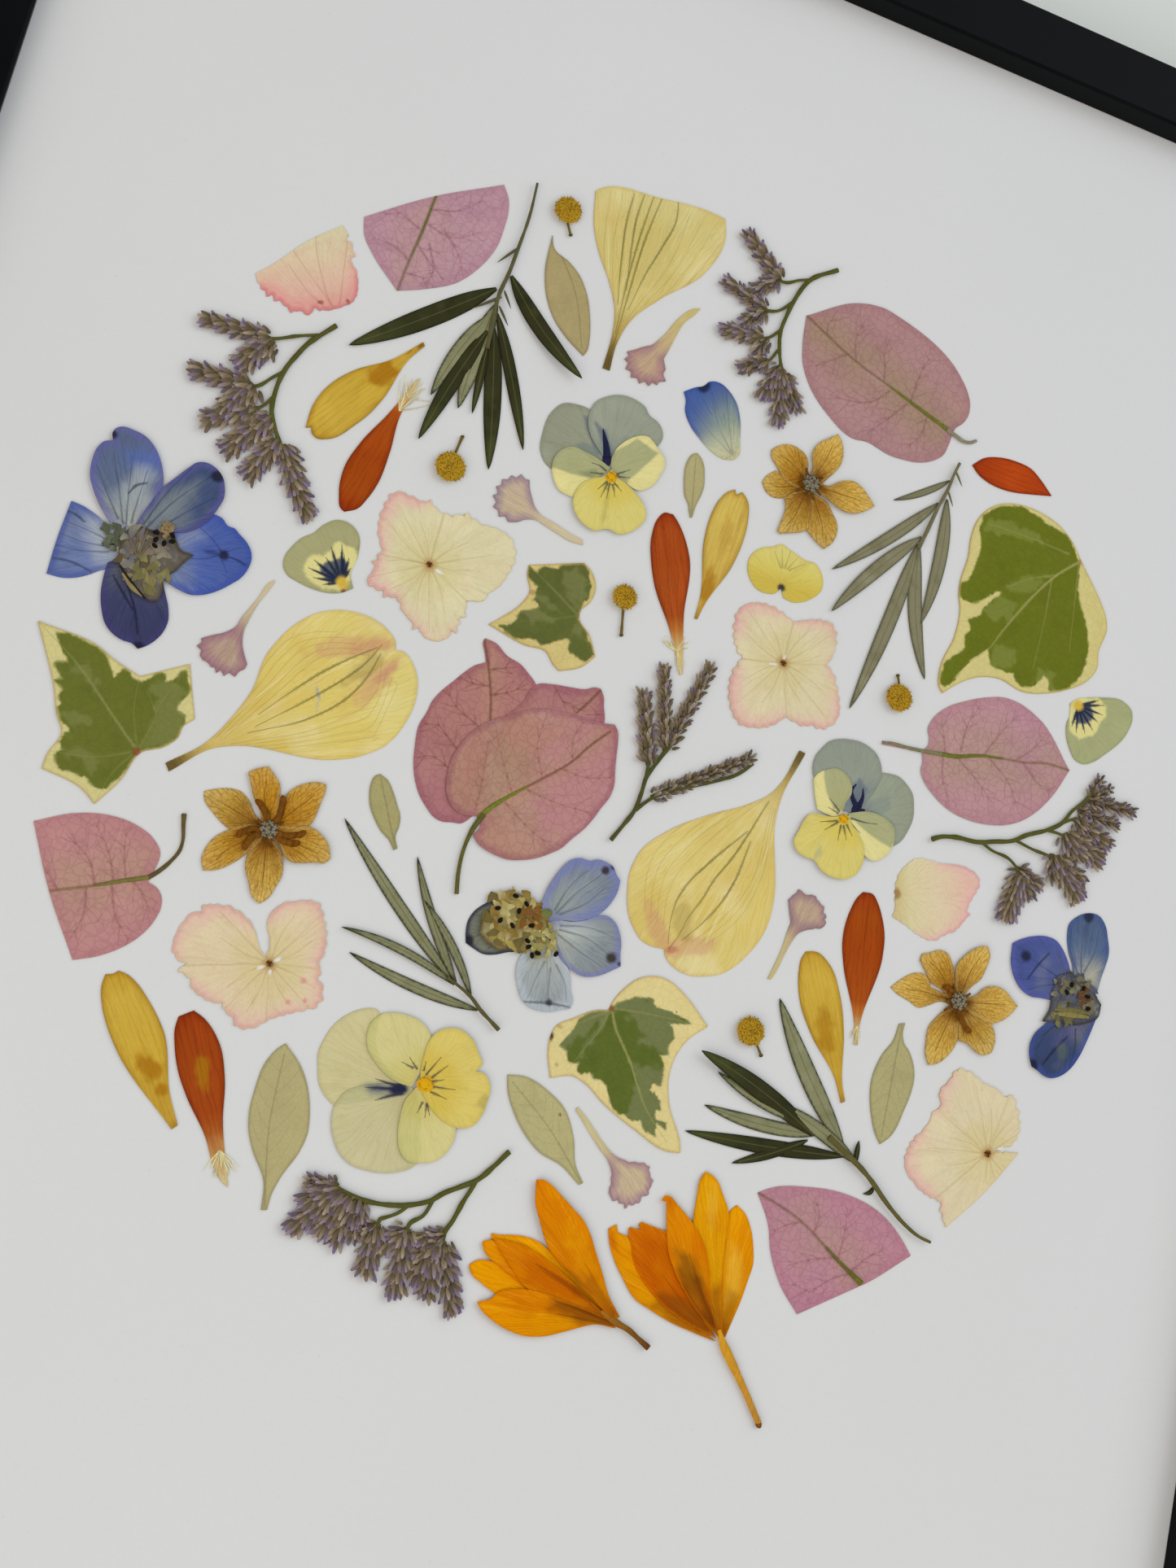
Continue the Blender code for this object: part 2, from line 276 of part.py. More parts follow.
            69.3, -24.7, 71, -26.7, 72.7, -28.5, 75.3, -29.3, 77.6, -31),
        pts(78.6, -32, 77, -32.7, 75, -35, 73.8, -37.3, 73.8, -40, 74.2, -42.7, 75.2, -44.5, 76.7, -44,
            79, -41.7, 80.2, -39.3, 80.5, -36, 79.8, -32),
        pts(79.3, -31.9, 80, -35, 80.7, -38.2, 82.7, -38.3, 84.7, -39.3, 86.7, -39.6, 88.3, -38.7,
            88.6, -36.3, 88, -34.3, 87, -33, 84.7, -32.3, 80.3, -30.6),
        pts(79.8, -31.4, 84.4, -32.8, 87.3, -32.9, 89.3, -31.8, 91, -30, 92.2, -28, 90.7, -27,
            89, -25.8, 86.7, -25.4, 84.3, -26.3, 82.7, -28.3, 79.6, -29.6),
        pts(78.2, -29.6, 77.4, -26, 77.2, -23.7, 78.3, -21.7, 80, -19.7, 82, -18.3, 83.2, -18,
            84, -19.3, 83.7, -22.7, 83, -25, 81.3, -27, 80, -29, 79, -30.5)],
    "viola_1": [
        pts(-17, 53.3, -22, 53.4, -26, 51, -27.7, 48, -29.3, 49, -30.5, 50.7, -31, 54.7, -30.3, 59.3,
            -28.3, 62, -25.7, 62.7, -22.7, 62.6, -20, 61, -17, 56),
        pts(-16.5, 53, -19, 55, -21.5, 57.5, -22.7, 60.3, -22.7, 62.7, -22, 64.7, -20.3, 66.3,
            -18.3, 67.5, -16, 68, -13.7, 67.8, -12, 67.2, -10.7, 65.8, -8.7, 65, -7.5, 63.8, -7, 62.3,
            -7.3, 60.7, -10, 58, -15.5, 53),
        pts(-16, 52.2, -18, 53, -21.7, 53.7, -24.7, 53.8, -26.7, 52.3, -27.7, 49.7, -27, 46.7,
            -25, 44.3, -22.3, 43.8, -20.6, 46, -18, 49.5),
        pts(-16, 52.5, -16, 56, -14.7, 58.3, -13, 60, -11.3, 61, -10, 61.2, -8.7, 60.5, -7.3, 59.3,
            -5.8, 58, -5.3, 56.7, -5.7, 54.7, -6.2, 53, -7, 51.5, -8, 50.5, -9.3, 49.8, -10.7, 49.8,
            -12.6, 50.4, -14.5, 50.8),
        pts(-17.3, 49.9, -19.3, 48.8, -21, 47.2, -21.9, 45, -22, 43.2, -21.2, 41.2, -19.7, 39.7,
            -17.7, 38.8, -16, 38.7, -14.7, 39.5, -13.3, 39.9, -11.7, 39.6, -10, 40.2, -8.7, 41.3,
            -7.5, 42.8, -6.8, 44.5, -7.2, 46.2, -8.3, 47.7, -9.7, 48.8, -11.3, 49.7, -12.7, 50.3,
            -14.3, 50.7, -15.8, 52)],
    "viola_2": [
        pts(50, 1, 51.5, 5, 53.3, 10, 55.3, 10.3, 57.3, 10.3, 59.3, 9.3, 61, 7.7, 61.8, 5.3, 62.1, 2.7,
            61.5, 0, 60.3, -2.7, 58.3, -4.5, 55.5, -3, 51, -1),
        pts(39.3, 4.7, 38.6, 7, 38.8, 9, 39.8, 11, 41.3, 13, 43, 13.9, 45.3, 14.5, 47.7, 14.7,
            49.7, 14.3, 51.7, 13.2, 53, 11.3, 53.5, 9.3, 53, 6.7, 51.7, 3.7, 50, 0.5, 47.5, 0,
            43, 2.5),
        pts(46.3, -1, 47, 1.7, 47.8, 3.7, 47.2, 6, 45.7, 7.3, 43.7, 7.8, 41.7, 7, 40, 5.7, 39.3, 4.3,
            39.7, 2.7, 40.5, 0.3, 41.3, -1.5, 43.3, -1.8, 45, -1.9),
        pts(48.2, -0.2, 52, 1.2, 54.3, 1.3, 56.7, 0.7, 58.2, -0.3, 58.8, -2, 58.7, -4, 57.7, -6.3,
            56.3, -7.7, 54.7, -8.2, 53.3, -7.7, 51.5, -5.5, 50, -4, 47.6, -2.6),
        pts(47.4, -0.6, 45, -2, 43.3, -2.3, 41.3, -2.5, 40, -2.8, 39, -4.3, 38.3, -6.7, 37.7, -9.3,
            38.7, -10.8, 40.7, -11.6, 42.7, -11.7, 44.3, -13, 46, -13.7, 48, -13.9, 50, -13.5,
            51.7, -12.3, 52.7, -10.5, 53, -8.3, 52.5, -6, 51, -4, 49.3, -2.6)],
    "viola_3": [
        pts(-26.4, -74.6, -30.8, -73, -34, -69, -34.5, -63.6, -35.3, -63.1, -37, -63.3, -39, -64.3,
            -41, -66, -42.4, -68, -43.4, -70.8, -43.8, -73.2, -43.2, -76, -42.4, -78.4, -40.8, -80.4,
            -38.6, -81.8, -34, -80, -26.5, -76.5),
        pts(-25.8, -75, -28.4, -75.2, -31.6, -76, -34.8, -77.2, -37.2, -78.8, -38.6, -81.8,
            -38.4, -84.8, -37.2, -87.6, -35.2, -90, -32.8, -91.2, -30, -91.4, -27.2, -91.2, -24, -90.2,
            -22, -89, -21.2, -87.8, -22, -83, -24.5, -76),
        pts(-25, -73, -25.6, -75, -28, -74.9, -30.8, -74, -33.2, -72.4, -35.2, -70.4, -36, -68,
            -35.7, -65.5, -34, -63.5, -32, -62.8, -29.3, -62.6, -27, -63, -25.3, -64, -24.3, -65.3,
            -24, -70),
        pts(-24.8, -74.8, -26.2, -77.6, -26.4, -80.8, -26, -84, -24.8, -86.8, -23.2, -88, -20.8, -87.8,
            -17.6, -86.4, -16.2, -84.4, -15.6, -82, -16, -79.6, -19, -77, -23, -74.4),
        pts(-24.6, -72.6, -24.8, -69, -24.3, -65.5, -23.3, -64, -21.7, -63, -19.3, -62.6, -18, -63,
            -16.3, -64, -15, -65.7, -13.6, -67.6, -14.6, -69.3, -13.2, -69.2, -12, -70, -11.2, -71.6,
            -11.2, -74.4, -11.6, -76.8, -12.8, -79, -15.2, -80, -18, -79.7, -21, -78, -23.5, -75.4)],
    "delphinium_1": [
        pts(-112.8, 11, -110.7, 10.8, -108, 10, -105.3, 8.8, -103, 7.6, -100.5, 5, -102, 1.6,
            -104.3, 0.3, -106.3, -1.3, -108.3, -2.5, -110.3, -3.2, -113.3, -3.4, -113.3, 3.3),
        pts(-101, 4, -103.6, 2, -103.6, -0.7, -103.2, -4, -102.3, -6.7, -101, -9, -99, -10.5,
            -97.3, -11, -95.3, -11.1, -94.2, -11.7, -93, -10.8, -91.7, -9.3, -90.7, -7.3, -90.4, -5,
            -91, -2.7, -92.2, -0.3, -93.7, 2.4, -97, 5),
        pts(-95.5, 10, -93.3, 11.5, -90.5, 14, -88.3, 17.1, -86, 16.8, -84.7, 15.8, -83.3, 15.7,
            -82.3, 15, -80.7, 14, -79.5, 12.7, -78.9, 11, -79, 9.3, -79.7, 7.3, -81.3, 5.3, -83.3, 3.3,
            -85.7, 1.7, -88, 1, -90, 1.2, -92, 1.7, -93.7, 2.3, -96, 4, -97, 7),
        pts(-109.3, 26, -108.8, 27, -108, 27.5, -105.7, 27.6, -103.3, 27.1, -101.3, 25.7,
            -99.7, 23.7, -98.7, 21.7, -98, 19, -98.3, 16.5, -99.5, 13, -100.2, 8.5, -101.5, 7.5,
            -102.9, 8.6, -104.3, 8.8, -106, 10, -108, 12, -109.7, 14.3, -111, 16.7, -111.4, 19.7,
            -111.2, 22, -110.2, 23.8, -108.8, 24.4),
        pts(-93, 25.7, -91.5, 26.1, -89.7, 25.7, -88.1, 24.5, -87.2, 22.7, -86.8, 20.7, -87.3, 18.3,
            -88.3, 15.7, -90, 13.3, -92, 11.8, -94, 11.2, -96, 10.3, -97.5, 8, -100.6, 8, -100.7, 10.3,
            -99.7, 14, -98.7, 17, -97.8, 19, -96.3, 21.3, -94.7, 23.7),
        pts(-101.7, 9.2, -100.3, 10.2, -98, 10.3, -96, 10, -95.2, 11.9, -93.8, 11, -92.8, 9.6,
            -92, 8.6, -89.3, 8.2, -90.7, 6, -92, 3.7, -94, 2.8, -93, 0.7, -93, -2, -94.7, -2.6,
            -96, -2, -98, -1.3, -99.7, 0.3, -101, 2.3, -102.2, 4, -102.4, 6.7)],
    "delphinium_2": [
        pts(-11, -38, -18.7, -37.3, -20.3, -38.7, -21.7, -40.3, -22.6, -42.7, -22.5, -44.7,
            -22, -46.7, -20.3, -47.3, -18.3, -47.8, -16, -47.3, -13.7, -46.2, -11.8, -45.5, -9, -42),
        pts(-8.6, -41, -10.7, -45, -11.5, -47.7, -11.2, -50, -10.3, -52, -9.3, -53.7, -8, -54.7,
            -4.7, -55.1, -2.3, -54.5, -0.7, -53.7, 0.5, -53.3, 0.7, -51.7, 0, -50.3, -0.7, -48,
            -1.7, -46, -3.3, -44.3, -5.3, -43, -6.6, -40.5),
        pts(-7.2, -37.6, -4, -37.5, -0.7, -36.4, 2, -34.6, 3.7, -34.3, 5.3, -35, 6.7, -36.7, 7.5, -38.7,
            7.8, -40.7, 8.4, -42.9, 7, -44, 5.3, -45.3, 3.3, -46.3, 1.3, -46.7, -0.7, -46.2,
            -2.7, -45.3, -4.3, -44, -6, -42, -7.4, -40),
        pts(-9.3, -36.4, -9.2, -32.7, -8.3, -30, -7, -27.3, -5.7, -25.7, -4, -25, -2.3, -25,
            -0.7, -24.3, 0.7, -24.3, 2.5, -24.8, 3.7, -26.3, 4.5, -27, 4.5, -29, 3.7, -31.7, 2.3, -34,
            0.3, -35.7, -2.3, -37, -4.7, -37.5, -7.4, -38.4),
        pts(-18.3, -37, -16.7, -35.7, -15, -35, -13, -35.3, -11.3, -35.2, -10, -36.3, -7.7, -38,
            -7.2, -40, -8, -41.7, -9.7, -43, -10.7, -45.3, -11.7, -46, -14, -45.3, -15.3, -46.3,
            -17.3, -46, -20, -44.3, -20.3, -41.3, -18.3, -39.3)],
    "delphinium_3": [
        pts(105, -4.8, 102.3, -6.3, 100.8, -8.3, 100.8, -11, 101.7, -14, 103, -16.4, 104, -20,
            109.6, -20.5, 110, -17.3, 110.5, -14.7, 110.8, -11.7, 110, -8.7, 109, -6.3, 107.3, -4.8),
        pts(88.8, -15.7, 90.7, -14.3, 93.3, -13, 96, -12.3, 98.3, -12.5, 100, -13.7, 101.3, -15.3,
            102.6, -17.6, 103.5, -21, 101, -24.7, 97.3, -24.9, 95, -25.2, 92.7, -24.5, 90.7, -22.7,
            89.3, -20),
        pts(104, -25, 101, -28, 98.7, -30.3, 97.2, -32.3, 96.5, -34.7, 96.8, -37, 97.7, -39,
            99.3, -39.5, 100.7, -40.1, 102.3, -40.2, 104.3, -39.3, 106.3, -37.3, 107.8, -34.5,
            109.2, -30, 110.2, -26, 107, -24),
        pts(100.3, -19.3, 102.7, -18, 104.3, -18.7, 107.7, -19.3, 109.7, -21.7, 110.8, -22.7,
            110.4, -25.7, 108.7, -27, 106, -28.3, 102.7, -28.7, 100, -29.3, 98.2, -29.5, 99.3, -26.7,
            99.3, -24)],
    "crocus_1": [
        pts(22, -106.4, 14, -101.5, 10, -99, 6.4, -97, 4, -96.1, 1.6, -95.9, -0.8, -96.2, -3.2, -96.7,
            -4.6, -96.8, -4.2, -97.8, -1, -99.5, 6, -103, 14, -106),
        pts(-7.4, -103.2, -6, -102, -3.2, -101.6, 0, -101.4, 4, -102.3, 14, -105.2, 22.3, -107,
            12, -108, 2, -107.6, -1.6, -106.9, -4.4, -105.8, -6.8, -104.4),
        pts(-6, -98.6, -4.6, -98, -2.5, -98.4, 0, -99.5, 6, -101, 14, -103.5, 14, -106.3, 6, -105.4,
            0, -103, -3.2, -101.6, -4, -101.2, -5.6, -99.6),
        pts(-4.2, -97.6, -1.6, -97.4, 1.5, -97.5, 5, -98.4, 9, -100, 14, -102.6, 18, -105, 22.3, -106.8,
            16, -106.8, 8, -105.8, 3, -104.2, 0, -101.6, -2, -99.8),
        pts(-4.5, -109.2, -2, -108, -1.2, -106.8, 2, -105.4, 6, -104.9, 12, -105.3, 18, -106.2,
            22.4, -106.8, 22.4, -108, 18.4, -108.2, 15.6, -109.4, 12.8, -110.8, 9.2, -112.4,
            5.6, -113.1, 2.4, -112.8, -0.8, -111.8, -3.6, -110.2),
        pts(22.8, -105.8, 20, -102.8, 17.6, -98.8, 15.6, -95.6, 13.6, -92.4, 12, -90.6, 9.6, -89,
            6.8, -87.2, 4, -85.6, 2.4, -85.2, 1.3, -85.5, 1.6, -87.2, 2.2, -89.8, 3.6, -92.4,
            5.2, -95.2, 6.2, -96.6, 9.5, -99.2, 14, -102, 18.5, -104.8, 21.6, -106.8)],
    "crocus_2": [
        pts(44.4, -104.8, 45, -102, 46, -97.6, 46.6, -93.6, 47, -90.4, 46.4, -87.6, 45, -84, 43.2, -81.6,
            41.4, -80.6, 40.4, -81.8, 40.1, -84, 40.3, -88, 41, -93, 42, -99, 42.6, -104),
        pts(42.6, -106, 38, -105.4, 33.2, -104.6, 28.4, -103.2, 25.2, -102, 22, -98.9, 19.6, -96,
            18, -93.2, 17.2, -90.8, 18.6, -89.7, 19.2, -91, 21.8, -91.6, 24, -95, 28, -99, 36, -103),
        pts(42.5, -105.4, 36, -99, 32, -94, 29.4, -91, 28.4, -88.7, 26, -88.4, 23.2, -88.1, 22.8, -88.8,
            23.5, -89.6, 21.2, -89.5, 21.1, -90.3, 22.2, -92.6, 23.4, -95.5, 26, -98.5, 30, -101.5,
            36, -104),
        pts(43.6, -104.5, 42.2, -99, 41, -92, 40.4, -86, 40, -82.6, 38, -79.4, 36.4, -77.2, 34.8, -76.3,
            33.6, -76.1, 33, -77.6, 33, -80.8, 33.3, -86, 34.5, -92, 37, -98, 41, -104),
        pts(43, -105.2, 39.5, -98, 38, -93, 36.4, -89.5, 34, -86.7, 31.6, -84.8, 29.2, -83.2,
            27.6, -82.2, 26.6, -82.3, 26.2, -83.4, 27.2, -83.4, 27.8, -86, 28.4, -88.6, 29.5, -92,
            32.5, -96.5, 37, -101)],
}

# Stalks and stems: width at the start and at the end, then the line they follow.
STEMS = {
    "bract_upper_right": [(1.3, 1.1, pts(38, 90.8, 47, 88, 53.3, 86, 55.3, 85.3, 57.3, 84.8,
                                         59, 85.2, 60, 86))],
    "bougainvillea": [(1.0, 1.0, pts(-17, -14, -19, -16, -22, -19.7, -25.3, -23.3, -26.3, -26,
                                     -26.7, -30, -26.6, -34.7, -26, -38.3))],
    "bract_right": [(0.8, 1.3, pts(52.3, 16.1, 54, 16.5, 57.3, 16.7, 61, 17, 65.3, 17.7, 68.7, 18.2,
                                   74, 19.7))],
    "bract_left": [(1.2, 1.0, pts(-90, -55.2, -86, -53.3, -81.3, -51.2, -80, -49.8, -78.3, -47.3,
                                  -77.3, -45, -77.3, -42.7, -77.8, -40.7, -78.3, -38.4))],
    "bract_bottom": [(0.7, 1.9, pts(57.2, -81.6, 62, -84.6, 66, -87, 69.7, -89))],
    "crocus_1": [(1.8, 1.1, pts(20, -106, 24.5, -107.4, 27.4, -108.9, 29.2, -109.8))],
    "crocus_2": [(2.4, 1.4, pts(42.8, -104.6, 46.6, -109.2, 50, -113.2, 54.2, -118.5))],
    "sprig_dark": [(0.9, 1.4, pts(-44.4, 104.4, -44.3, 97.3, -45, 88.7, -45.5, 83.7, -46.3, 79,
                                  -46.2, 72, -46, 67))],
    "sprig_grey": [(1.1, 1.3, pts(57, 79.5, 56.3, 77, 55.5, 73, 54, 68, 52.8, 63, 51.6, 58.4))],
    "sprig_small": [(1.0, 1.2, pts(-24, -54, -21.5, -55, -19, -56.2, -16.3, -58.3, -14, -59.7,
                                   -12.2, -60.8))],
    "sprig_dark_2": [(2.2, 0.9, pts(57, -63.6, 62, -66.2, 65.2, -68, 68, -70, 70.8, -72.4, 73.2, -74.2,
                                    76.4, -76.2, 79.6, -77.6, 82.3, -78.1))],
    "statice_top": [
        (1.3, 0.9, pts(21.7, 111.1, 16.3, 106.7, 13.7, 100.7, 12.8, 96.7, 12.3, 93, 12.8, 89.7,
                       13.7, 86.7, 15, 84)),
        (0.9, 0.8, pts(16.6, 106.8, 14, 105.7, 11, 104, 8.7, 104)),
        (0.9, 0.8, pts(13.4, 100.2, 10.7, 97.3, 7.3, 96.2)),
        (0.9, 0.8, pts(12.4, 93.6, 9.7, 90.7, 7, 89.8)),
        (0.8, 0.8, pts(12.6, 89, 11.3, 86.3, 9, 84.5))],
    "statice_left": [
        (1.3, 1.0, pts(-75.3, 60.8, -77.7, 57.8, -79.3, 55.7, -81, 52.3, -82.3, 49, -82.9, 46,
                       -83, 43.3, -82.7, 40, -81.7, 37.7, -80, 35, -78, 32)),
        (0.9, 0.8, pts(-77.4, 58, -82, 56, -85.3, 54.2, -88, 53.2)),
        (0.9, 0.8, pts(-82.2, 48.6, -84, 46.7, -86.7, 43.7, -90, 43)),
        (0.9, 0.8, pts(-83, 43, -84.3, 40.7, -86.5, 38.4))],
    "statice_centre": [
        (1.1, 1.0, pts(0.9, -19.9, 2.7, -16.3, 4.2, -13, 4.8, -9.3, 5.2, -5.5, 5.7, -4.3, 6.7, -2,
                       8, 0.8, 9.5, 4)),
        (1.0, 0.9, pts(5.1, -6, 4.8, -3, 3.7, 0, 2.3, 3.7)),
        (1.0, 0.8, pts(4.4, -12.8, 6.7, -10, 9.3, -7.7, 14.3, -5, 19.3, -2.3, 23.3, 0.3, 26, 3.3))],
    "statice_right": [
        (1.3, 0.9, pts(66.8, -0.2, 68.3, 0.7, 71.7, 1.7, 77, 2.2, 80.3, 3.3, 84.7, 4.8, 87.3, 6.7,
                       92, 9.3, 95, 11.7, 96.7, 14.7, 99.3, 17.7, 101, 21)),
        (0.9, 0.8, pts(78, 2.3, 80, 1.5, 84.7, 0.7, 86.7, -0.7, 88, -2.5)),
        (0.9, 0.8, pts(85.3, 5, 89.3, 4.3, 93.3, 4, 96, 3.4)),
        (0.9, 0.8, pts(91.6, 9.2, 96, 9, 98, 8)),
        (0.8, 0.8, pts(94.8, 11.6, 98.7, 13.5, 101, 12.6))],
    "statice_bottom": [
        (1.3, 1.0, pts(-4.9, -81.8, -7.2, -85.2, -9.4, -88, -12.8, -90.4, -15.2, -92, -17.2, -93.8,
                       -20, -95.2, -24, -96.3, -28.8, -96.7, -31.6, -96.4, -34, -95.8, -36, -95)),
        (1.2, 1.0, pts(-9.8, -88.2, -10.3, -90, -11.2, -92.4, -12.4, -96.4, -13.4, -99, -13, -101.5)),
        (1.0, 0.9, pts(-16.8, -93.4, -18, -96.8, -20.1, -98.8, -20.2, -101.5)),
        (0.9, 0.8, pts(-21, -95.5, -22.4, -97.2, -25.6, -99.2, -26, -101.5))],
}

# Narrow leaves: base x, y, tip x, y, widest, and how far the middle bends to the left of base-to-tip.
BLADES = {
    "sprig_dark": [(-47, 80, -72, 58, 4.2, 0.4), (-44.8, 83.7, -26.3, 67.5, 3.6, -1.0),
                   (-47, 74, -54.3, 54, 3.0, -0.7), (-46.6, 71, -54.5, 44.5, 3.2, -0.4),
                   (-45.6, 72, -39.7, 43.5, 3.6, 0.3), (-45.6, 75, -34, 49.7, 2.6, 0.4),
                   (-46.2, 77, -48.5, 53.3, 3.7, -0.4), (-46, 68, -45.6, 53.2, 1.6, 0)],
    "sprig_grey": [(55.9, 75.3, 44.3, 66.8, 1.5, 0.5), (56, 71, 55.4, 42.7, 3.0, 1.3),
                   (54.2, 69.5, 34, 47.7, 2.6, 0.7), (51.9, 61, 35.7, 39, 3.1, -0.7),
                   (52, 58.9, 58.8, 31.8, 3.2, -1.6), (51.5, 59.3, 43.8, 20.6, 3.2, 0.7)],
    "sprig_small": [(-22.7, -54.3, -49.9, -30.7, 2.5, 0.6), (-22, -54.5, -34.9, -33.7, 2.0, 0.8),
                    (-18.7, -56.1, -31.7, -41.2, 1.8, -0.9), (-22.4, -54.9, -45.6, -50.3, 1.7, -1.3),
                    (-16.8, -58.2, -42.9, -54.3, 2.2, 0.9)],
    "sprig_dark_2": [(61, -66.4, 28, -69.6, 3.0, 0.5), (53, -65.2, 38.6, -73.2, 2.0, 0.4),
                     (53.8, -64, 27.3, -54.3, 3.8, -0.9), (49.6, -62.3, 32, -57.2, 2.0, 0.5),
                     (55, -63.6, 30.8, -63.9, 2.8, 0.9), (60.5, -64.4, 41.5, -40.1, 3.9, 0.9),
                     (64, -67.1, 45, -59.7, 2.9, -0.7), (63.6, -67.3, 63.5, -62.7, 1.1, 0),
                     (68.6, -70.3, 66.6, -72.3, 0.9, 0.6)],
}

# Heads of small flowers along a twig: base x, y, tip x, y and width.
SPIKES = {
    "statice_top": [(10, 104, 0, 112, 3.2), (9.5, 104.2, 4.3, 99.3, 3.0), (8.5, 96.6, -2.7, 99.7, 3.0),
                    (8.5, 96.6, 3.7, 92, 3.0), (9, 90.4, -0.3, 89, 3.2), (10, 91, 8, 85.7, 2.6),
                    (11, 86.2, 5, 82, 3.0), (14, 86, 11, 77.3, 3.2), (14.6, 85, 16, 72.7, 3.4),
                    (14.8, 84.6, 20, 77.3, 3.0)],
    "statice_left": [(-86.5, 53.7, -100.3, 53, 3.7), (-86, 53.8, -91.3, 46, 5.0),
                     (-88, 43.2, -99.7, 42.7, 4.2), (-87.4, 44, -91.3, 36.3, 5.4),
                     (-85, 39.6, -94.7, 33.7, 4.2), (-82.2, 39, -89.7, 29, 4.6),
                     (-80, 35, -84.3, 25.7, 4.4), (-79, 34.5, -74.5, 27.5, 4.4),
                     (-76.6, 30, -70.6, 22, 4.0)],
    "statice_centre": [(5, -3.4, 0.4, 11.6, 4.2), (7.6, 0.4, 3.3, 18.3, 3.7), (8, 1, 13.7, 21.2, 3.9),
                       (7, -9.4, 27.5, 5.8, 3.4)],
    "statice_right": [(86.6, -0.4, 92.8, -3, 3.4), (88.2, -1, 85.6, -12, 5.4), (88.4, -2, 91, -6, 3.6),
                      (94, 4.8, 95, -1, 3.6), (95, 4.6, 102, -3.3, 5.4), (96, 4, 102.7, 0.7, 3.4),
                      (96, 9.8, 100, 5.3, 5.2), (97.6, 9.4, 104.7, 5.7, 4.6), (98, 10, 106, 7.3, 3.2),
                      (97.6, 13.4, 107.3, 10, 3.8), (98.2, 15.4, 108.5, 14.7, 3.0),
                      (99.6, 18.2, 112, 18.7, 3.2), (100.6, 18.6, 102.3, 24.2, 2.8),
                      (101, 19, 105.3, 22.7, 2.2)],
    "statice_bottom": [(-13, -99, -18, -100.8, 3.6), (-13.2, -100.4, -8.3, -112.8, 5.0),
                       (-13.8, -100.4, -17.5, -108.5, 5.2), (-14, -102.5, -14.3, -110.8, 5.0),
                       (-14, -101, -19.5, -104.5, 3.4), (-20.1, -99.6, -20.1, -111.8, 5.6),
                       (-20.2, -99.8, -25, -104.5, 4.6), (-25.8, -100, -26.3, -109.3, 5.6),
                       (-26, -100, -29.6, -103, 3.2), (-30, -96.6, -33.2, -105.8, 5.2),
                       (-31.4, -96.6, -36.5, -104.5, 5.4), (-33, -96, -41.5, -104.8, 5.4),
                       (-34.6, -95.6, -40.6, -95.6, 3.4), (-34, -96, -40.4, -99.5, 5.2),
                       (-29, -97, -30.2, -104.5, 3.4)],
}

# Round flower middles: x, y and radius.
CORES = {
    "star_1": (25.5, 63.5, 1.7),
    "star_2": (-63, -37, 1.5),
    "star_3": (78.9, -30.7, 1.6),
}

# Colour, roughness and metallic value of each kind of piece.
FINISHES = {
    "rail": ((0.012, 0.012, 0.014), 0.35, 0.0),
    "mount_card": ((0.68, 0.69, 0.69), 0.85, 0.0),
    "backing_board": ((0.27, 0.17, 0.09), 0.80, 0.0),
    "hanger_plate": ((0.55, 0.50, 0.38), 0.35, 1.0),
    "petal_yellow": ((0.72, 0.54, 0.17), 0.60, 0.0),
    "ray_yellow": ((0.60, 0.42, 0.08), 0.60, 0.0),
    "ray_red": ((0.40, 0.07, 0.01), 0.60, 0.0),
    "petal_pink": ((0.70, 0.38, 0.26), 0.65, 0.0),
    "petal_blue": ((0.07, 0.10, 0.30), 0.60, 0.0),
    "petal_viola": ((0.34, 0.33, 0.24), 0.60, 0.0),
    "viola": ((0.60, 0.50, 0.18), 0.60, 0.0),
    "bract": ((0.47, 0.24, 0.23), 0.60, 0.0),
    "bougainvillea": ((0.45, 0.19, 0.19), 0.60, 0.0),
    "leaf_olive": ((0.41, 0.36, 0.16), 0.60, 0.0),
    "ivy": ((0.13, 0.16, 0.03), 0.50, 0.0),
    "sprig_dark": ((0.05, 0.05, 0.02), 0.60, 0.0),
    "sprig_grey": ((0.18, 0.19, 0.09), 0.65, 0.0),
    "sprig_small": ((0.16, 0.16, 0.06), 0.65, 0.0),
    "hydrangea": ((0.66, 0.62, 0.38), 0.65, 0.0),
    "star": ((0.46, 0.24, 0.03), 0.60, 0.0),
    "delphinium": ((0.10, 0.14, 0.34), 0.60, 0.0),
    "statice": ((0.20, 0.16, 0.16), 0.75, 0.0),
    "crocus": ((0.78, 0.27, 0.00), 0.40, 0.0),
}


def finish_of(name):
    """A new material for a piece, by the longest kind that its name starts with."""
    kind = max((k for k in FINISHES if name.startswith(k)), key=len)
    colour, roughness, metallic = FINISHES[kind]
    material = bpy.data.materials.new(name)
    material.use_nodes = True
    shader = material.node_tree.nodes["Principled BSDF"]
    shader.inputs["Base Color"].default_value = (*colour, 1.0)
    shader.inputs["Roughness"].default_value = roughness
    shader.inputs["Metallic"].default_value = metallic
    return material


def add_object(name, bm, parent=None):
    """Turn a closed bmesh into a named object with its own material."""
    bmesh.ops.recalc_face_normals(bm, faces=bm.faces)
    mesh = bpy.data.meshes.new(name)
    bm.to_mesh(mesh)
    bm.free()
    piece = bpy.data.objects.new(name, mesh)
    bpy.context.scene.collection.objects.link(piece)
    piece.parent = parent
    return piece


# ---------------------------------------------------------------- flat shapes
def distance_to_chord(point, start, end):
    dx, dy = end[0] - start[0], end[1] - start[1]
    length = math.hypot(dx, dy)
    if length == 0:
        return math.dist(point, start)
    return abs(dx * (point[1] - start[1]) - dy * (point[0] - start[0])) / length


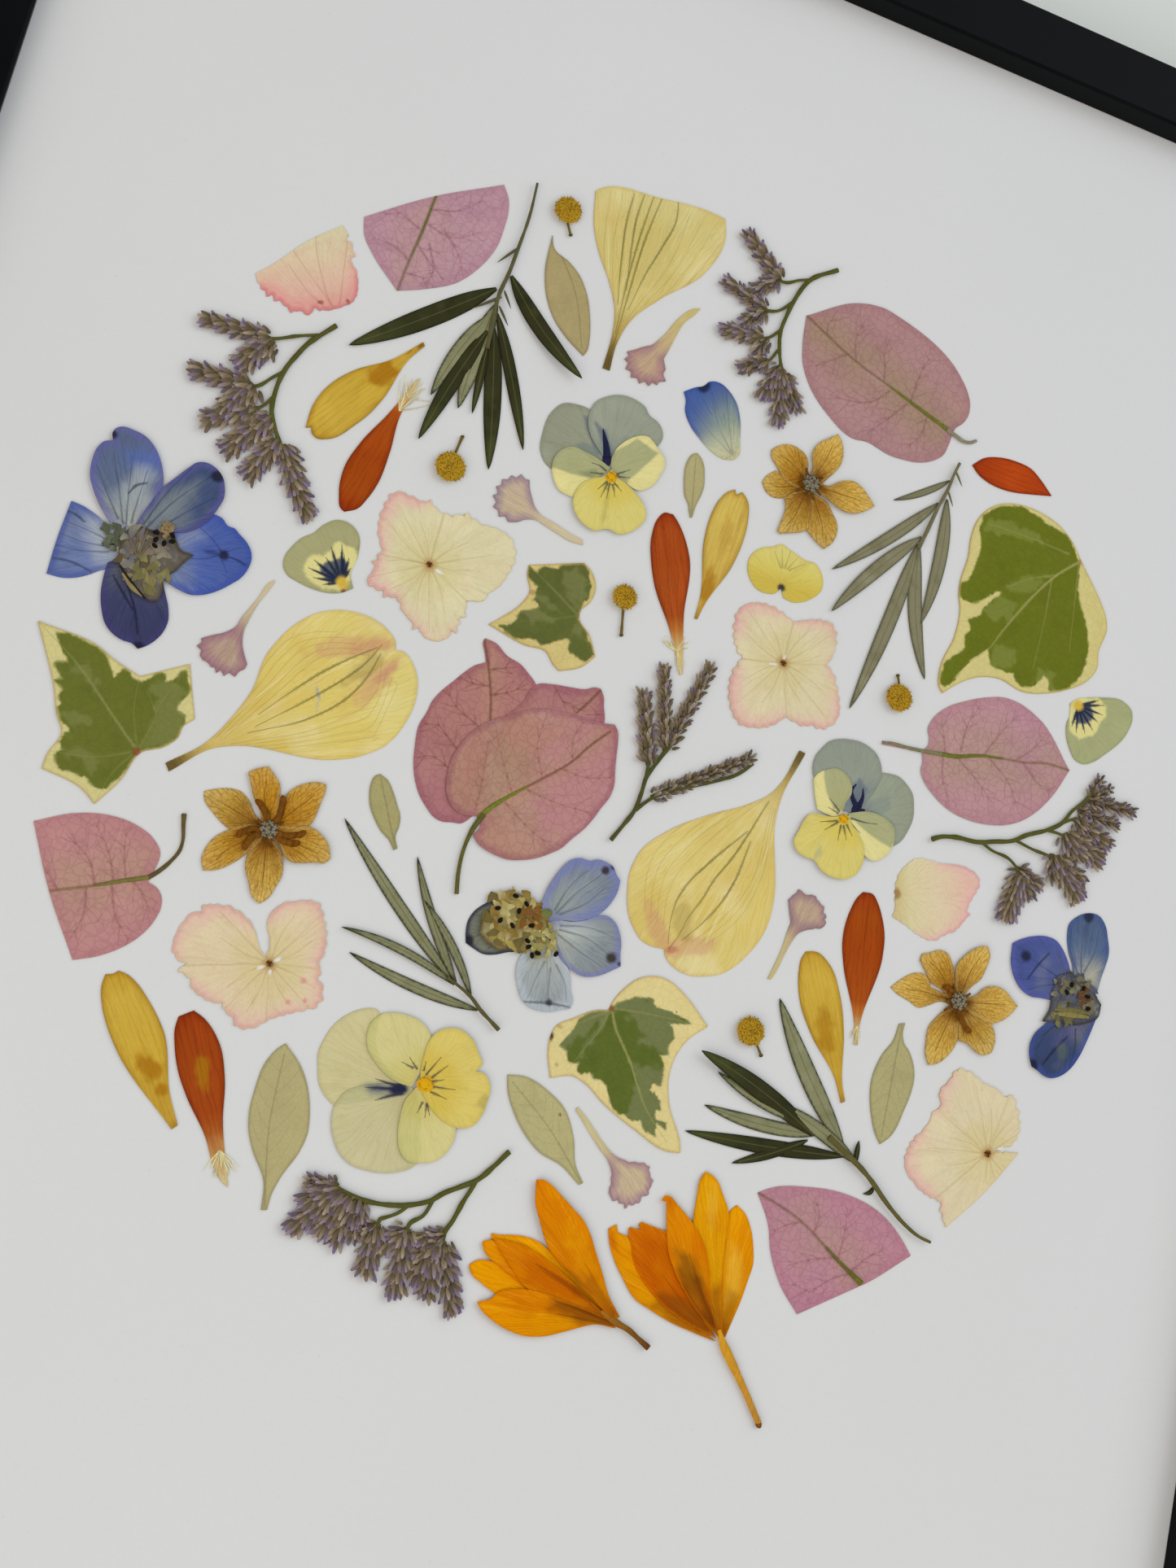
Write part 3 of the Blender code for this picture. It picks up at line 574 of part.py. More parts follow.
def straighten(points, tolerance):
    """Drop the points of an open line that lie within the tolerance of the line without them."""
    if len(points) < 3:
        return points
    far = max(range(1, len(points) - 1), key=lambda i: distance_to_chord(points[i], points[0], points[-1]))
    if distance_to_chord(points[far], points[0], points[-1]) <= tolerance:
        return [points[0], points[-1]]
    return straighten(points[:far + 1], tolerance)[:-1] + straighten(points[far:], tolerance)


def straighten_outline(points):
    """The same for a closed outline, parted at its first point and the point farthest from it."""
    far = max(range(len(points)), key=lambda i: math.dist(points[i], points[0]))
    there = straighten(points[:far + 1], TOLERANCE)
    back = straighten(points[far:] + points[:1], TOLERANCE)
    return there[:-1] + back[:-1]


def slab(outline, low, high):
    """A flat plate with this outline between two heights, all in mm."""
    bm = bmesh.new()
    corners = [bm.verts.new((x * MM, y * MM, low * MM)) for x, y in outline]
    under = bm.faces.new(corners)
    raised = bmesh.ops.extrude_face_region(bm, geom=[under])["geom"]
    tops = [v for v in raised if isinstance(v, bmesh.types.BMVert)]
    bmesh.ops.translate(bm, verts=tops, vec=(0, 0, (high - low) * MM))
    return bm


def strip(first_width, last_width, line):
    """The outline of a stem: a line of points widened to both sides."""
    line = straighten(line, TOLERANCE)
    left, right = [], []
    for i, (x, y) in enumerate(line):
        before, after = line[max(i - 1, 0)], line[min(i + 1, len(line) - 1)]
        dx, dy = after[0] - before[0], after[1] - before[1]
        length = math.hypot(dx, dy)
        half = 0.5 * (first_width + (last_width - first_width) * i / (len(line) - 1))
        left.append((x - dy / length * half, y + dx / length * half))
        right.append((x + dy / length * half, y - dx / length * half))
    return left + right[::-1]


BLADE_STATIONS = (0.0, 0.24, 0.56, 0.84)
BLADE_WIDTHS = (0.35, 0.92, 0.95, 0.48)


def blade(base_x, base_y, tip_x, tip_y, widest, bend):
    """The outline of a narrow leaf that bends to the left by `bend` in its middle."""
    dx, dy = tip_x - base_x, tip_y - base_y
    length = math.hypot(dx, dy)
    nx, ny = -dy / length, dx / length
    left, right = [], []
    for t, share in zip(BLADE_STATIONS, BLADE_WIDTHS):
        sag = 4 * bend * t * (1 - t)
        x, y = base_x + dx * t + nx * sag, base_y + dy * t + ny * sag
        half = 0.5 * widest * share
        left.append((x + nx * half, y + ny * half))
        right.append((x - nx * half, y - ny * half))
    return left + [(tip_x, tip_y)] + right[::-1]


SPIKE_EDGE = ((0.0, 0.36), (0.26, 1.0), (0.48, 0.66), (0.70, 0.96))


def spike(base_x, base_y, tip_x, tip_y, width):
    """The outline of a small flower head with the tips of its florets along both sides."""
    dx, dy = tip_x - base_x, tip_y - base_y
    length = math.hypot(dx, dy)
    nx, ny = -dy / length, dx / length
    left, right = [], []
    for t, share in SPIKE_EDGE:
        x, y = base_x + dx * t, base_y + dy * t
        half = 0.5 * width * share
        left.append((x + nx * half, y + ny * half))
        right.append((x - nx * half, y - ny * half))
    return left + [(tip_x, tip_y)] + right[::-1]


def disc(x, y, radius):
    """The outline of a round flower middle."""
    turns = [math.tau * (i + 0.5) / CORE_SIDES for i in range(CORE_SIDES)]
    return [(x + radius * math.cos(a), y + radius * math.sin(a)) for a in turns]


# ---------------------------------------------------------------- specimens
def layers_of(name):
    """The flat layers of one specimen, as outline, lowest and highest height above the card."""
    thickness = LEAF_THICKNESS if name.startswith(("leaf", "ivy")) else PETAL_THICKNESS
    layers = []
    for i, outline in enumerate(SHAPES.get(name, [])):
        low = i * LAYER_STEP
        layers.append((straighten_outline(outline), low, low + thickness))
    for leaf in BLADES.get(name, []):
        layers.append((blade(*leaf), 0, LEAF_THICKNESS))
    for head in SPIKES.get(name, []):
        layers.append((spike(*head), 0, SPIKE_THICKNESS))
    stem_top = SPIKE_THICKNESS if name in SPIKES else STEM_THICKNESS
    for stem in STEMS.get(name, []):
        layers.append((strip(*stem), 0, stem_top))
    if name in CORES:
        layers.append((disc(*CORES[name]), 0, CORE_HEIGHT))
    return layers


def make_specimen(name, wreath):
    """One specimen: its layers fused into one body."""
    layers = layers_of(name)
    piece = add_object(name, slab(*layers[0]), wreath)
    piece.data.materials.append(finish_of(name))
    if len(layers) == 1:
        return
    others = bpy.data.collections.new(name + "_layers")
    bpy.context.scene.collection.children.link(others)
    for i, layer in enumerate(layers[1:], start=1):
        other = add_object(f"{name}_layer_{i}", slab(*layer), wreath)
        bpy.context.scene.collection.objects.unlink(other)
        others.objects.link(other)
        other.hide_render = True
        other.display_type = "WIRE"
    union = piece.modifiers.new("fuse", "BOOLEAN")
    union.operation = "UNION"
    union.solver = "EXACT"
    union.operand_type = "COLLECTION"
    union.collection = others
    tidy = piece.modifiers.new("join flat faces", "DECIMATE")
    tidy.decimate_type = "DISSOLVE"
    tidy.angle_limit = math.radians(0.5)


def make_specimens():
    wreath = bpy.data.objects.new("wreath", None)
    bpy.context.scene.collection.objects.link(wreath)
    wreath.location = (0, WREATH_Y * MM, SPECIMEN_Z * MM)
    for name in {**SHAPES, **STEMS}:
        make_specimen(name, wreath)


# ---------------------------------------------------------------- frame
def rail_section():
    """A rail's profile: distance inwards from its outer face, and height."""
    c = RAIL_CHAMFER
    return [(0, 0), (REBATE_WIDTH, 0), (REBATE_WIDTH, LIP_Z), (FACE_WIDTH, LIP_Z),
            (FACE_WIDTH, FRAME_DEPTH - c), (FACE_WIDTH - c, FRAME_DEPTH), (c, FRAME_DEPTH),
            (0, FRAME_DEPTH - c)]


def make_rail(name, length, distance, turn):
    """A rail with mitred ends, its outer face at this distance from the middle."""
    back_off = GAP / math.sqrt(2)
    bm = bmesh.new()
    ends = []
    for side in (-1, 1):
        ring = []
        for inward, height in rail_section():
            along = side * (length / 2 - inward - back_off)
            ring.append(bm.verts.new((along * MM, (distance - inward) * MM, height * MM)))
        ends.append(ring)
        bm.faces.new(ring)
    bmesh.ops.bridge_loops(bm, edges=[e for e in bm.edges])
    rail = add_object(name, bm)
    rail.rotation_euler.z = math.radians(turn)
    rail.data.materials.append(finish_of(name))


def make_sheet(name, low, high):
    """A sheet that fills the rebate."""
    x = OUTER_WIDTH / 2 - REBATE_WIDTH - SHEET_PLAY
    y = OUTER_HEIGHT / 2 - REBATE_WIDTH - SHEET_PLAY
    sheet = add_object(name, slab([(-x, -y), (x, -y), (x, y), (-x, y)], low, high))
    sheet.data.materials.append(finish_of(name))


def make_hanger():
    """A toothed metal strip on the back of the backing board, near its top."""
    half, top = HANGER_LENGTH / 2, HANGER_HEIGHT / 2
    ear = half * 0.3
    outline = [(-half, -top), (-half, top), (half, top), (half, -top), (half - ear, -top)]
    pitch = 2 * (half - ear) / HANGER_TEETH
    for i in range(HANGER_TEETH):
        right = half - ear - i * pitch
        outline.append((right - pitch / 2, -top + HANGER_TOOTH))
        outline.append((right - pitch, -top))
    high = BOARD_BOTTOM - GAP
    hanger = add_object("hanger_plate", slab(outline, high - HANGER_THICKNESS, high))
    hanger.location.y = (OUTER_HEIGHT / 2 - REBATE_WIDTH - SHEET_PLAY - HANGER_BELOW_EDGE) * MM
    hanger.data.materials.append(finish_of("hanger_plate"))


def main():
    for old in list(bpy.data.objects):
        bpy.data.objects.remove(old, do_unlink=True)
    make_rail("rail_top", OUTER_WIDTH, OUTER_HEIGHT / 2, 0)
    make_rail("rail_bottom", OUTER_WIDTH, OUTER_HEIGHT / 2, 180)
    make_rail("rail_left", OUTER_HEIGHT, OUTER_WIDTH / 2, 90)
    make_rail("rail_right", OUTER_HEIGHT, OUTER_WIDTH / 2, -90)
    make_sheet("mount_card", CARD_TOP - CARD_THICKNESS, CARD_TOP)
    make_sheet("backing_board", BOARD_BOTTOM, BOARD_TOP)
    make_hanger()
    make_specimens()


main()
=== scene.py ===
"""Looks of the pressed flower frame: dried specimens on a white card in a black frame.

Lengths are in mm until a mesh is made. A specimen's points are measured from the middle of the
wreath, x to the right and y to the top of the picture, and heights from the card's surface.
"""
import math

import bpy
import numpy as np
from mathutils import Matrix, Vector
from mathutils.geometry import delaunay_2d_cdt


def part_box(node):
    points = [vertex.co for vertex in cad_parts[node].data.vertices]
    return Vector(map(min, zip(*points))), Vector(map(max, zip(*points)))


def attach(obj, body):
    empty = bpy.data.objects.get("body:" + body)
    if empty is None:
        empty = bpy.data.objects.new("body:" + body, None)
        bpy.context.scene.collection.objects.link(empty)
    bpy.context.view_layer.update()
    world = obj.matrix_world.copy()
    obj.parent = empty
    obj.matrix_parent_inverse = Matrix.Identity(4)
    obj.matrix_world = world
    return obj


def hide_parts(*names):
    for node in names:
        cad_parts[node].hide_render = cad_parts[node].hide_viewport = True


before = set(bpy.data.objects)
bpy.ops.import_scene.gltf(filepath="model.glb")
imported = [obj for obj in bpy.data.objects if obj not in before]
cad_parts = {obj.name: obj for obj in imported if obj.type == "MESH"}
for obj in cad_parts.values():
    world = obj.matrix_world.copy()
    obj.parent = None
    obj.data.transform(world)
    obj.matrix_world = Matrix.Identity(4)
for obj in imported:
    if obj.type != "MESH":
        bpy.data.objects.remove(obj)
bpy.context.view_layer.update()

MM = 0.001
WREATH_Y = 23.1                                  # the middle of the wreath above the frame's middle
WREATH_RADIUS = 113.4
CARD_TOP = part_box("mount_card")[1].z / MM
BOARD_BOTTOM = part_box("backing_board")[0].z / MM
SPACING = 0.34            # between the points of a leaf's or a petal's mesh
ROW_GAP = 0.866                                  # between the rows of a mesh's points, as a share of SPACING
JITTER = 0.18                                    # how far the points are moved at random, as a share of it
CLEAR_OF_EDGE = 0.5                              # no grid point is nearer to the outline, as a share of it
CLEAR_OF_VEIN = 0.25                             # and none nearer to the strip along a vein
FINE_WIDTH = 0.13                                # half the strip of mesh along a fine line
SHEET_THICKNESS = 0.08
LEAST_HEIGHT = 0.02                              # of a sheet's underside above the card
RELIEF = 0.36                                    # how much of the relief below is left after pressing
CURL_REACH, CURL_SIZE = 3.2, 9.0                 # how far in an edge lifts, and how long its waves are
CORNER_TURN = math.radians(48)                   # a sharper turn of an outline stays a corner
FRAYED_TURN = math.radians(34)                   # the same for outlines with small teeth
SHADING_TURN = math.radians(55)                  # a sharper edge between two faces is shaded as an edge
GOLDEN_ANGLE = 2.39996                           # spreads places evenly round a middle


# ---------------------------------------------------------------- colours and noise
def rgb(red, green, blue):
    """An sRGB colour, 0 to 255, as linear light."""
    c = np.array([red, green, blue]) / 255
    return np.where(c <= 0.04045, c / 12.92, ((c + 0.055) / 1.055) ** 2.4)


def step_up(low, high, value):
    """0 below low, 1 above high and a soft step in between."""
    t = np.clip((value - low) / (high - low), 0, 1)
    return t * t * (3 - 2 * t)


def lattice(ix, iy, seed):
    """A number from 0 to 1 for each whole place, always the same."""
    n = (ix * 374761393 + iy * 668265263 + seed * 974634777) & 0xFFFFFFFF
    n = ((n ^ (n >> 13)) * 1274126177) & 0xFFFFFFFF
    return ((n ^ (n >> 16)) & 0xFFFF) / 65535.0


def noise(xy, size, seed=0, octaves=2):
    """Smooth noise from -1 to 1 at points (n, 2), with features of about this size."""
    total, weight = 0.0, 0.0
    for octave in range(octaves):
        q = xy * (2 ** octave / size) + 37.7 * octave
        i = np.floor(q).astype(np.int64)
        f = q - i
        f = f * f * (3 - 2 * f)
        ix, iy = i[:, 0], i[:, 1]
        low = lattice(ix, iy, seed) * (1 - f[:, 0]) + lattice(ix + 1, iy, seed) * f[:, 0]
        high = lattice(ix, iy + 1, seed) * (1 - f[:, 0]) + lattice(ix + 1, iy + 1, seed) * f[:, 0]
        total = total + (low * (1 - f[:, 1]) + high * f[:, 1] - 0.5) * 2 * 0.5 ** octave
        weight += 0.5 ** octave
    return total / weight


# ---------------------------------------------------------------- lines and outlines
def pts(*xy):
    """Points from their x and y in turn."""
    return np.array(xy, float).reshape(-1, 2)


def unit(v):
    return v / max(np.hypot(*v), 1e-9)


def rounded(points, spacing, closed=True, corner=CORNER_TURN):
    """A smooth curve through the points, sampled about every `spacing` mm; sharp turns stay sharp."""
    points = np.asarray(points, float)
    n = len(points)
    enter, leave = [], []
    for i in range(n):
        before = points[(i - 1) % n] if closed or i else 2 * points[0] - points[1]
        after = points[(i + 1) % n] if closed or i < n - 1 else 2 * points[-1] - points[-2]
        d_in, d_out = unit(points[i] - before), unit(after - points[i])
        turn = math.acos(np.clip(d_in @ d_out, -1, 1))
        if turn > corner:
            enter.append(d_in)
            leave.append(d_out)
            continue
        near_in, near_out = np.hypot(*(points[i] - before)), np.hypot(*(after - points[i]))
        middle = unit(d_in * near_out + d_out * near_in)
        enter.append(middle)
        leave.append(middle)
    curve = []
    for i in range(n if closed else n - 1):
        start, end = points[i], points[(i + 1) % n]
        length = np.hypot(*(end - start))
        t = np.linspace(0, 1, max(2, int(np.ceil(length / spacing)) + 1))[:-1, None]
        curve.append((2 * t ** 3 - 3 * t ** 2 + 1) * start + (t ** 3 - 2 * t ** 2 + t) * length * leave[i]
                     + (3 * t ** 2 - 2 * t ** 3) * end + (t ** 3 - t ** 2) * length * enter[(i + 1) % n])
    if not closed:
        curve.append(points[-1:])
    return np.concatenate(curve)


def distance(xy, line, closed=False):
    """How far each point is from a line of points, and how far along the line, in mm."""
    a = line if closed else line[:-1]
    b = np.roll(line, -1, 0) if closed else line[1:]
    d = b - a
    length = np.maximum(np.hypot(d[:, 0], d[:, 1]), 1e-9)
    before = np.concatenate([[0], np.cumsum(length)[:-1]])
    best, where = np.full(len(xy), 1e9), np.zeros(len(xy))
    for start in range(0, len(xy), 4000):
        p = xy[start:start + 4000, None, :] - a[None]
        t = np.clip((p * d[None]).sum(2) / length ** 2, 0, 1)
        gap = np.hypot(p[..., 0] - t * d[:, 0], p[..., 1] - t * d[:, 1])
        k = gap.argmin(1)
        rows = np.arange(len(k))
        best[start:start + 4000] = gap[rows, k]
        where[start:start + 4000] = before[k] + t[rows, k] * length[k]
    return best, where


def inside(xy, outline):
    """Whether each point lies inside a closed outline."""
    a, b = outline, np.roll(outline, -1, 0)
    x, y = xy[:, 0, None], xy[:, 1, None]
    spans = (a[:, 1] > y) != (b[:, 1] > y)
    rise = np.where(a[:, 1] == b[:, 1], 1e-9, b[:, 1] - a[:, 1])
    crossing = x < (b[:, 0] - a[:, 0]) * (y - a[:, 1]) / rise + a[:, 0]
    return (spans & crossing).sum(1) % 2 == 1


def node_outline(node):
    """The outline of a plate among the CAD nodes, read round its underside."""
    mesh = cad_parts[node].data
    mesh.calc_loop_triangles()
    low = min(v.co.z for v in mesh.vertices) + 1e-5
    spots = [(round(v.co.x / MM, 3), round(v.co.y / MM - WREATH_Y, 3)) for v in mesh.vertices]
    follows = {}
    for triangle in mesh.loop_triangles:
        corners = triangle.vertices
        if all(mesh.vertices[i].co.z < low for i in corners):
            for i in range(3):
                here, there = spots[corners[i]], spots[corners[(i + 1) % 3]]
                if follows.get(there) and here in follows[there]:
                    follows[there].remove(here)
                else:
                    follows.setdefault(here, []).append(there)
    start = next(k for k, v in follows.items() if v)
    loop, here = [start], follows[start][0]
    while here != start:
        loop.append(here)
        here = follows[here][0]
    return np.array(loop[::-1])


# ---------------------------------------------------------------- flat pieces
class Sheet:
    """A thin piece: a filled outline with the fields that shape and colour it."""

    def __init__(self, outline, base, tip, veins=(), fine=(), spacing=SPACING, corner=CORNER_TURN,
                 teeth=None):
        self.edge_line = rounded(outline, spacing, corner=corner)
        if teeth:
            self.serrate(*teeth)
        self.veins = [(width, rounded(line, spacing, closed=False)) for width, line in veins]
        self.fine = [(FINE_WIDTH, rounded(line, spacing, closed=False)) for line in fine]
        self.base, self.tip = np.array(base, float), np.array(tip, float)
        self.fill(spacing)
        self.edge = distance(self.xy, self.edge_line, True)[0]
        axis = self.tip - self.base
        self.length = np.hypot(*axis)
        axis = axis / self.length
        away = self.xy - self.base
        self.along = away @ axis / self.length
        self.across = away @ np.array([-axis[1], axis[0]])
        self.radius = np.hypot(away[:, 0], away[:, 1])
        self.angle = np.arctan2(self.across, away @ axis)
        self.vein = np.zeros(len(self.xy))
        for width, line in self.veins:
            gap = distance(self.xy, line)[0]
            self.vein = np.maximum(self.vein, 1 - np.clip(gap / width, 0, 1))
        self.height = np.zeros(len(self.xy))
        self.colour = np.zeros((len(self.xy), 3))
        self.fan()

    def serrate(self, depth, pitch, x=None, y=None, reach=None):
        """Small uneven teeth along the outline, except where it was cut along the wreath's circle.

        With x, y and reach the teeth are only within that reach of the place.
        """
        line = self.edge_line
        along = np.roll(line, -1, 0) - np.roll(line, 1, 0)
        along /= np.maximum(np.hypot(along[:, 0], along[:, 1]), 1e-9)[:, None]
        outward = np.stack([along[:, 1], -along[:, 0]], 1)
        if (line[:, 0] * np.roll(line[:, 1], -1) - line[:, 1] * np.roll(line[:, 0], -1)).sum() < 0:
            outward = -outward
        where = np.cumsum(np.hypot(*(line - np.roll(line, 1, 0)).T)) / pitch
        where = where + 0.7 * noise(line, 3 * pitch, 61)
        saw = np.abs(where - np.floor(where) - 0.65) - 0.2
        saw = saw * depth * np.clip(0.7 + noise(line, 6.0, 62), 0, 1.3)
        free = 1 - step_up(WREATH_RADIUS - 2.5, WREATH_RADIUS - 1.5, np.hypot(line[:, 0], line[:, 1]))
        if reach:
            free = free * (1 - step_up(reach - 0.8, reach, np.hypot(line[:, 0] - x, line[:, 1] - y)))
        self.edge_line = line - outward * (saw * free)[:, None]

    def fill(self, spacing):
        low, high = self.edge_line.min(0), self.edge_line.max(0)
        rows = np.arange(low[1], high[1] + spacing, spacing * ROW_GAP)
        columns = np.arange(low[0] - spacing, high[0] + spacing, spacing)
        grid = np.array([(x + (j % 2) * spacing / 2, y) for j, y in enumerate(rows) for x in columns])
        grid = grid + JITTER * spacing * np.stack([noise(grid, spacing, 1, 1), noise(grid, spacing, 2, 1)], 1)
        grid = grid[inside(grid, self.edge_line)]
        grid = grid[distance(grid, self.edge_line, True)[0] > CLEAR_OF_EDGE * spacing]
        extra = []
        for width, line in self.veins + self.fine:
            grid = grid[distance(grid, line)[0] > width + CLEAR_OF_VEIN * spacing]
            along = np.gradient(line, axis=0)
            along /= np.maximum(np.hypot(along[:, 0], along[:, 1]), 1e-9)[:, None]
            side = np.stack([-along[:, 1], along[:, 0]], 1)
            extra += [line, line + side * width, line - side * width]
        if extra:
            extra = np.concatenate(extra)
            extra = extra[inside(extra, self.edge_line)]
            extra = extra[distance(extra, self.edge_line, True)[0] > 0.3 * spacing]
            grid = np.concatenate([grid, extra])
        points = np.concatenate([self.edge_line, grid])
        ring = list(range(len(self.edge_line)))
        verts, _, faces, *_ = delaunay_2d_cdt([Vector(p) for p in points], [], [ring], 1, 1e-4)
        self.xy = np.array([tuple(v) for v in verts])
        self.faces = np.array([f for f in faces if len(f) == 3])

    def fan(self):
        """Lets the fine streaks fan out from the base."""
        reach = self.length * 0.6
        self.flow = np.stack([self.angle * reach, self.radius, np.clip(self.radius / reach, 0.1, 3)], 1)

    def straight(self):
        """Lets the fine streaks run along the axis."""
        self.flow = np.stack([self.across, self.along * self.length, np.ones(len(self.xy))], 1)

    # ---- colour
    def mix(self, colour, amount):
        """Mixes a colour in by an amount, which may differ from point to point."""
        amount = np.clip(amount, 0, 1)
        amount = amount[:, None] if np.ndim(amount) else amount
        self.colour = self.colour * (1 - amount) + np.asarray(colour) * amount

    def gradient(self, stops):
        """Colours from the base to the tip; stops are (share of the way, colour)."""
        places = [s[0] for s in stops]
        table = np.array([s[1] for s in stops])
        self.colour = np.stack([np.interp(self.along, places, table[:, c]) for c in range(3)], 1)

    def margin(self, width, colour, amount, uneven=0.5):
        """Colour along the outline, of an uneven width."""
        reach = width * (1 + uneven * noise(self.xy, 3.0, 5))
        self.mix(colour, amount * (1 - step_up(0.25, 1.0, self.edge / np.maximum(reach, 0.05))))

    def uncut(self):
        """0 near an edge that was cut along the wreath's circle, 1 elsewhere."""
        return 1 - step_up(WREATH_RADIUS - 3.5, WREATH_RADIUS - 1.0, np.hypot(self.xy[:, 0], self.xy[:, 1]))

    def patch(self, outline, colour, amount, ragged, size, soft, seed=3):
        """Colour inside an outline, with a ragged border."""
        line = rounded(outline, 0.5)
        gap = distance(self.xy, line, True)[0] * np.where(inside(self.xy, line), 1, -1)
        gap = gap + ragged * noise(self.xy, size, seed, 3)
        self.mix(colour, amount * step_up(-soft, soft, gap))

    def spot(self, x, y, rx, colour, amount=1.0, ry=None, turn=0.0, ragged=0.25, seed=3):
        """A soft round or oval spot; turn is in degrees."""
        d = self.xy - np.array([x, y])
        c, s = math.cos(math.radians(turn)), math.sin(math.radians(turn))
        u, v = (d[:, 0] * c + d[:, 1] * s) / rx, (-d[:, 0] * s + d[:, 1] * c) / (ry or rx)
        reach = np.hypot(u, v) + ragged * noise(self.xy, 1.6, seed)
        self.mix(colour, amount * (1 - step_up(0.45, 1.1, reach)))

    def streaks(self, colour, amount, width, seed, length=16.0, where=1.0):
        """Long thin streaks of colour along the flow."""
        lines = noise(self.flow[:, :2] / np.array([width, length]), 1.0, seed, 3)
        self.mix(colour, amount * step_up(0.0, 0.9, lines) * where)

    def mottle(self, colour, amount, size, seed, low=0.0, high=0.9):
        """Cloudy places of colour, of about this size."""
        self.mix(colour, amount * step_up(low, high, noise(self.xy, size, seed, 3)))

    def tint_veins(self, colour, amount):
        self.mix(colour, amount * step_up(0.0, 1.0, self.vein))

    def lines(self, drawn, colour, width, amount, ends=(1.0, 0.3)):
        """Fine lines of colour; ends are the relative widths along each."""
        for line in drawn:
            line = rounded(line, 0.3, closed=False)
            gap, where = distance(self.xy, line)
            total = max(distance(line[-1:], line)[1][0], 0.1)
            reach = width * np.interp(where / total, np.linspace(0, 1, len(ends)), ends)
            self.mix(colour, amount * (1 - step_up(0.3, 1.0, gap / np.maximum(reach, 0.02))))

    # ---- relief
    def settle(self, curl=0.35, ripple=0.12, rib=0.14, seed=1, gap=0.05, ripple_size=7.0, streak=0.03):
        """Gives the sheet its relief: lifted edges, a soft ripple and raised veins."""
        edge = 1 - step_up(0.0, CURL_REACH, self.edge)
        wave = 0.5 + 0.5 * noise(self.xy, CURL_SIZE, seed, 2)
        rise = curl * edge * wave * 1.3
        rise += ripple * (0.5 + 0.5 * noise(self.xy, ripple_size, seed + 40, 2))
        rise += streak * noise(self.flow[:, :2] / np.array([1.3, 22.0]), 1.0, seed + 80, 2)
        self.height = gap + RELIEF * (rise + rib * step_up(0.0, 1.0, self.vein))

    def lift(self, amount):
        self.height = self.height + amount


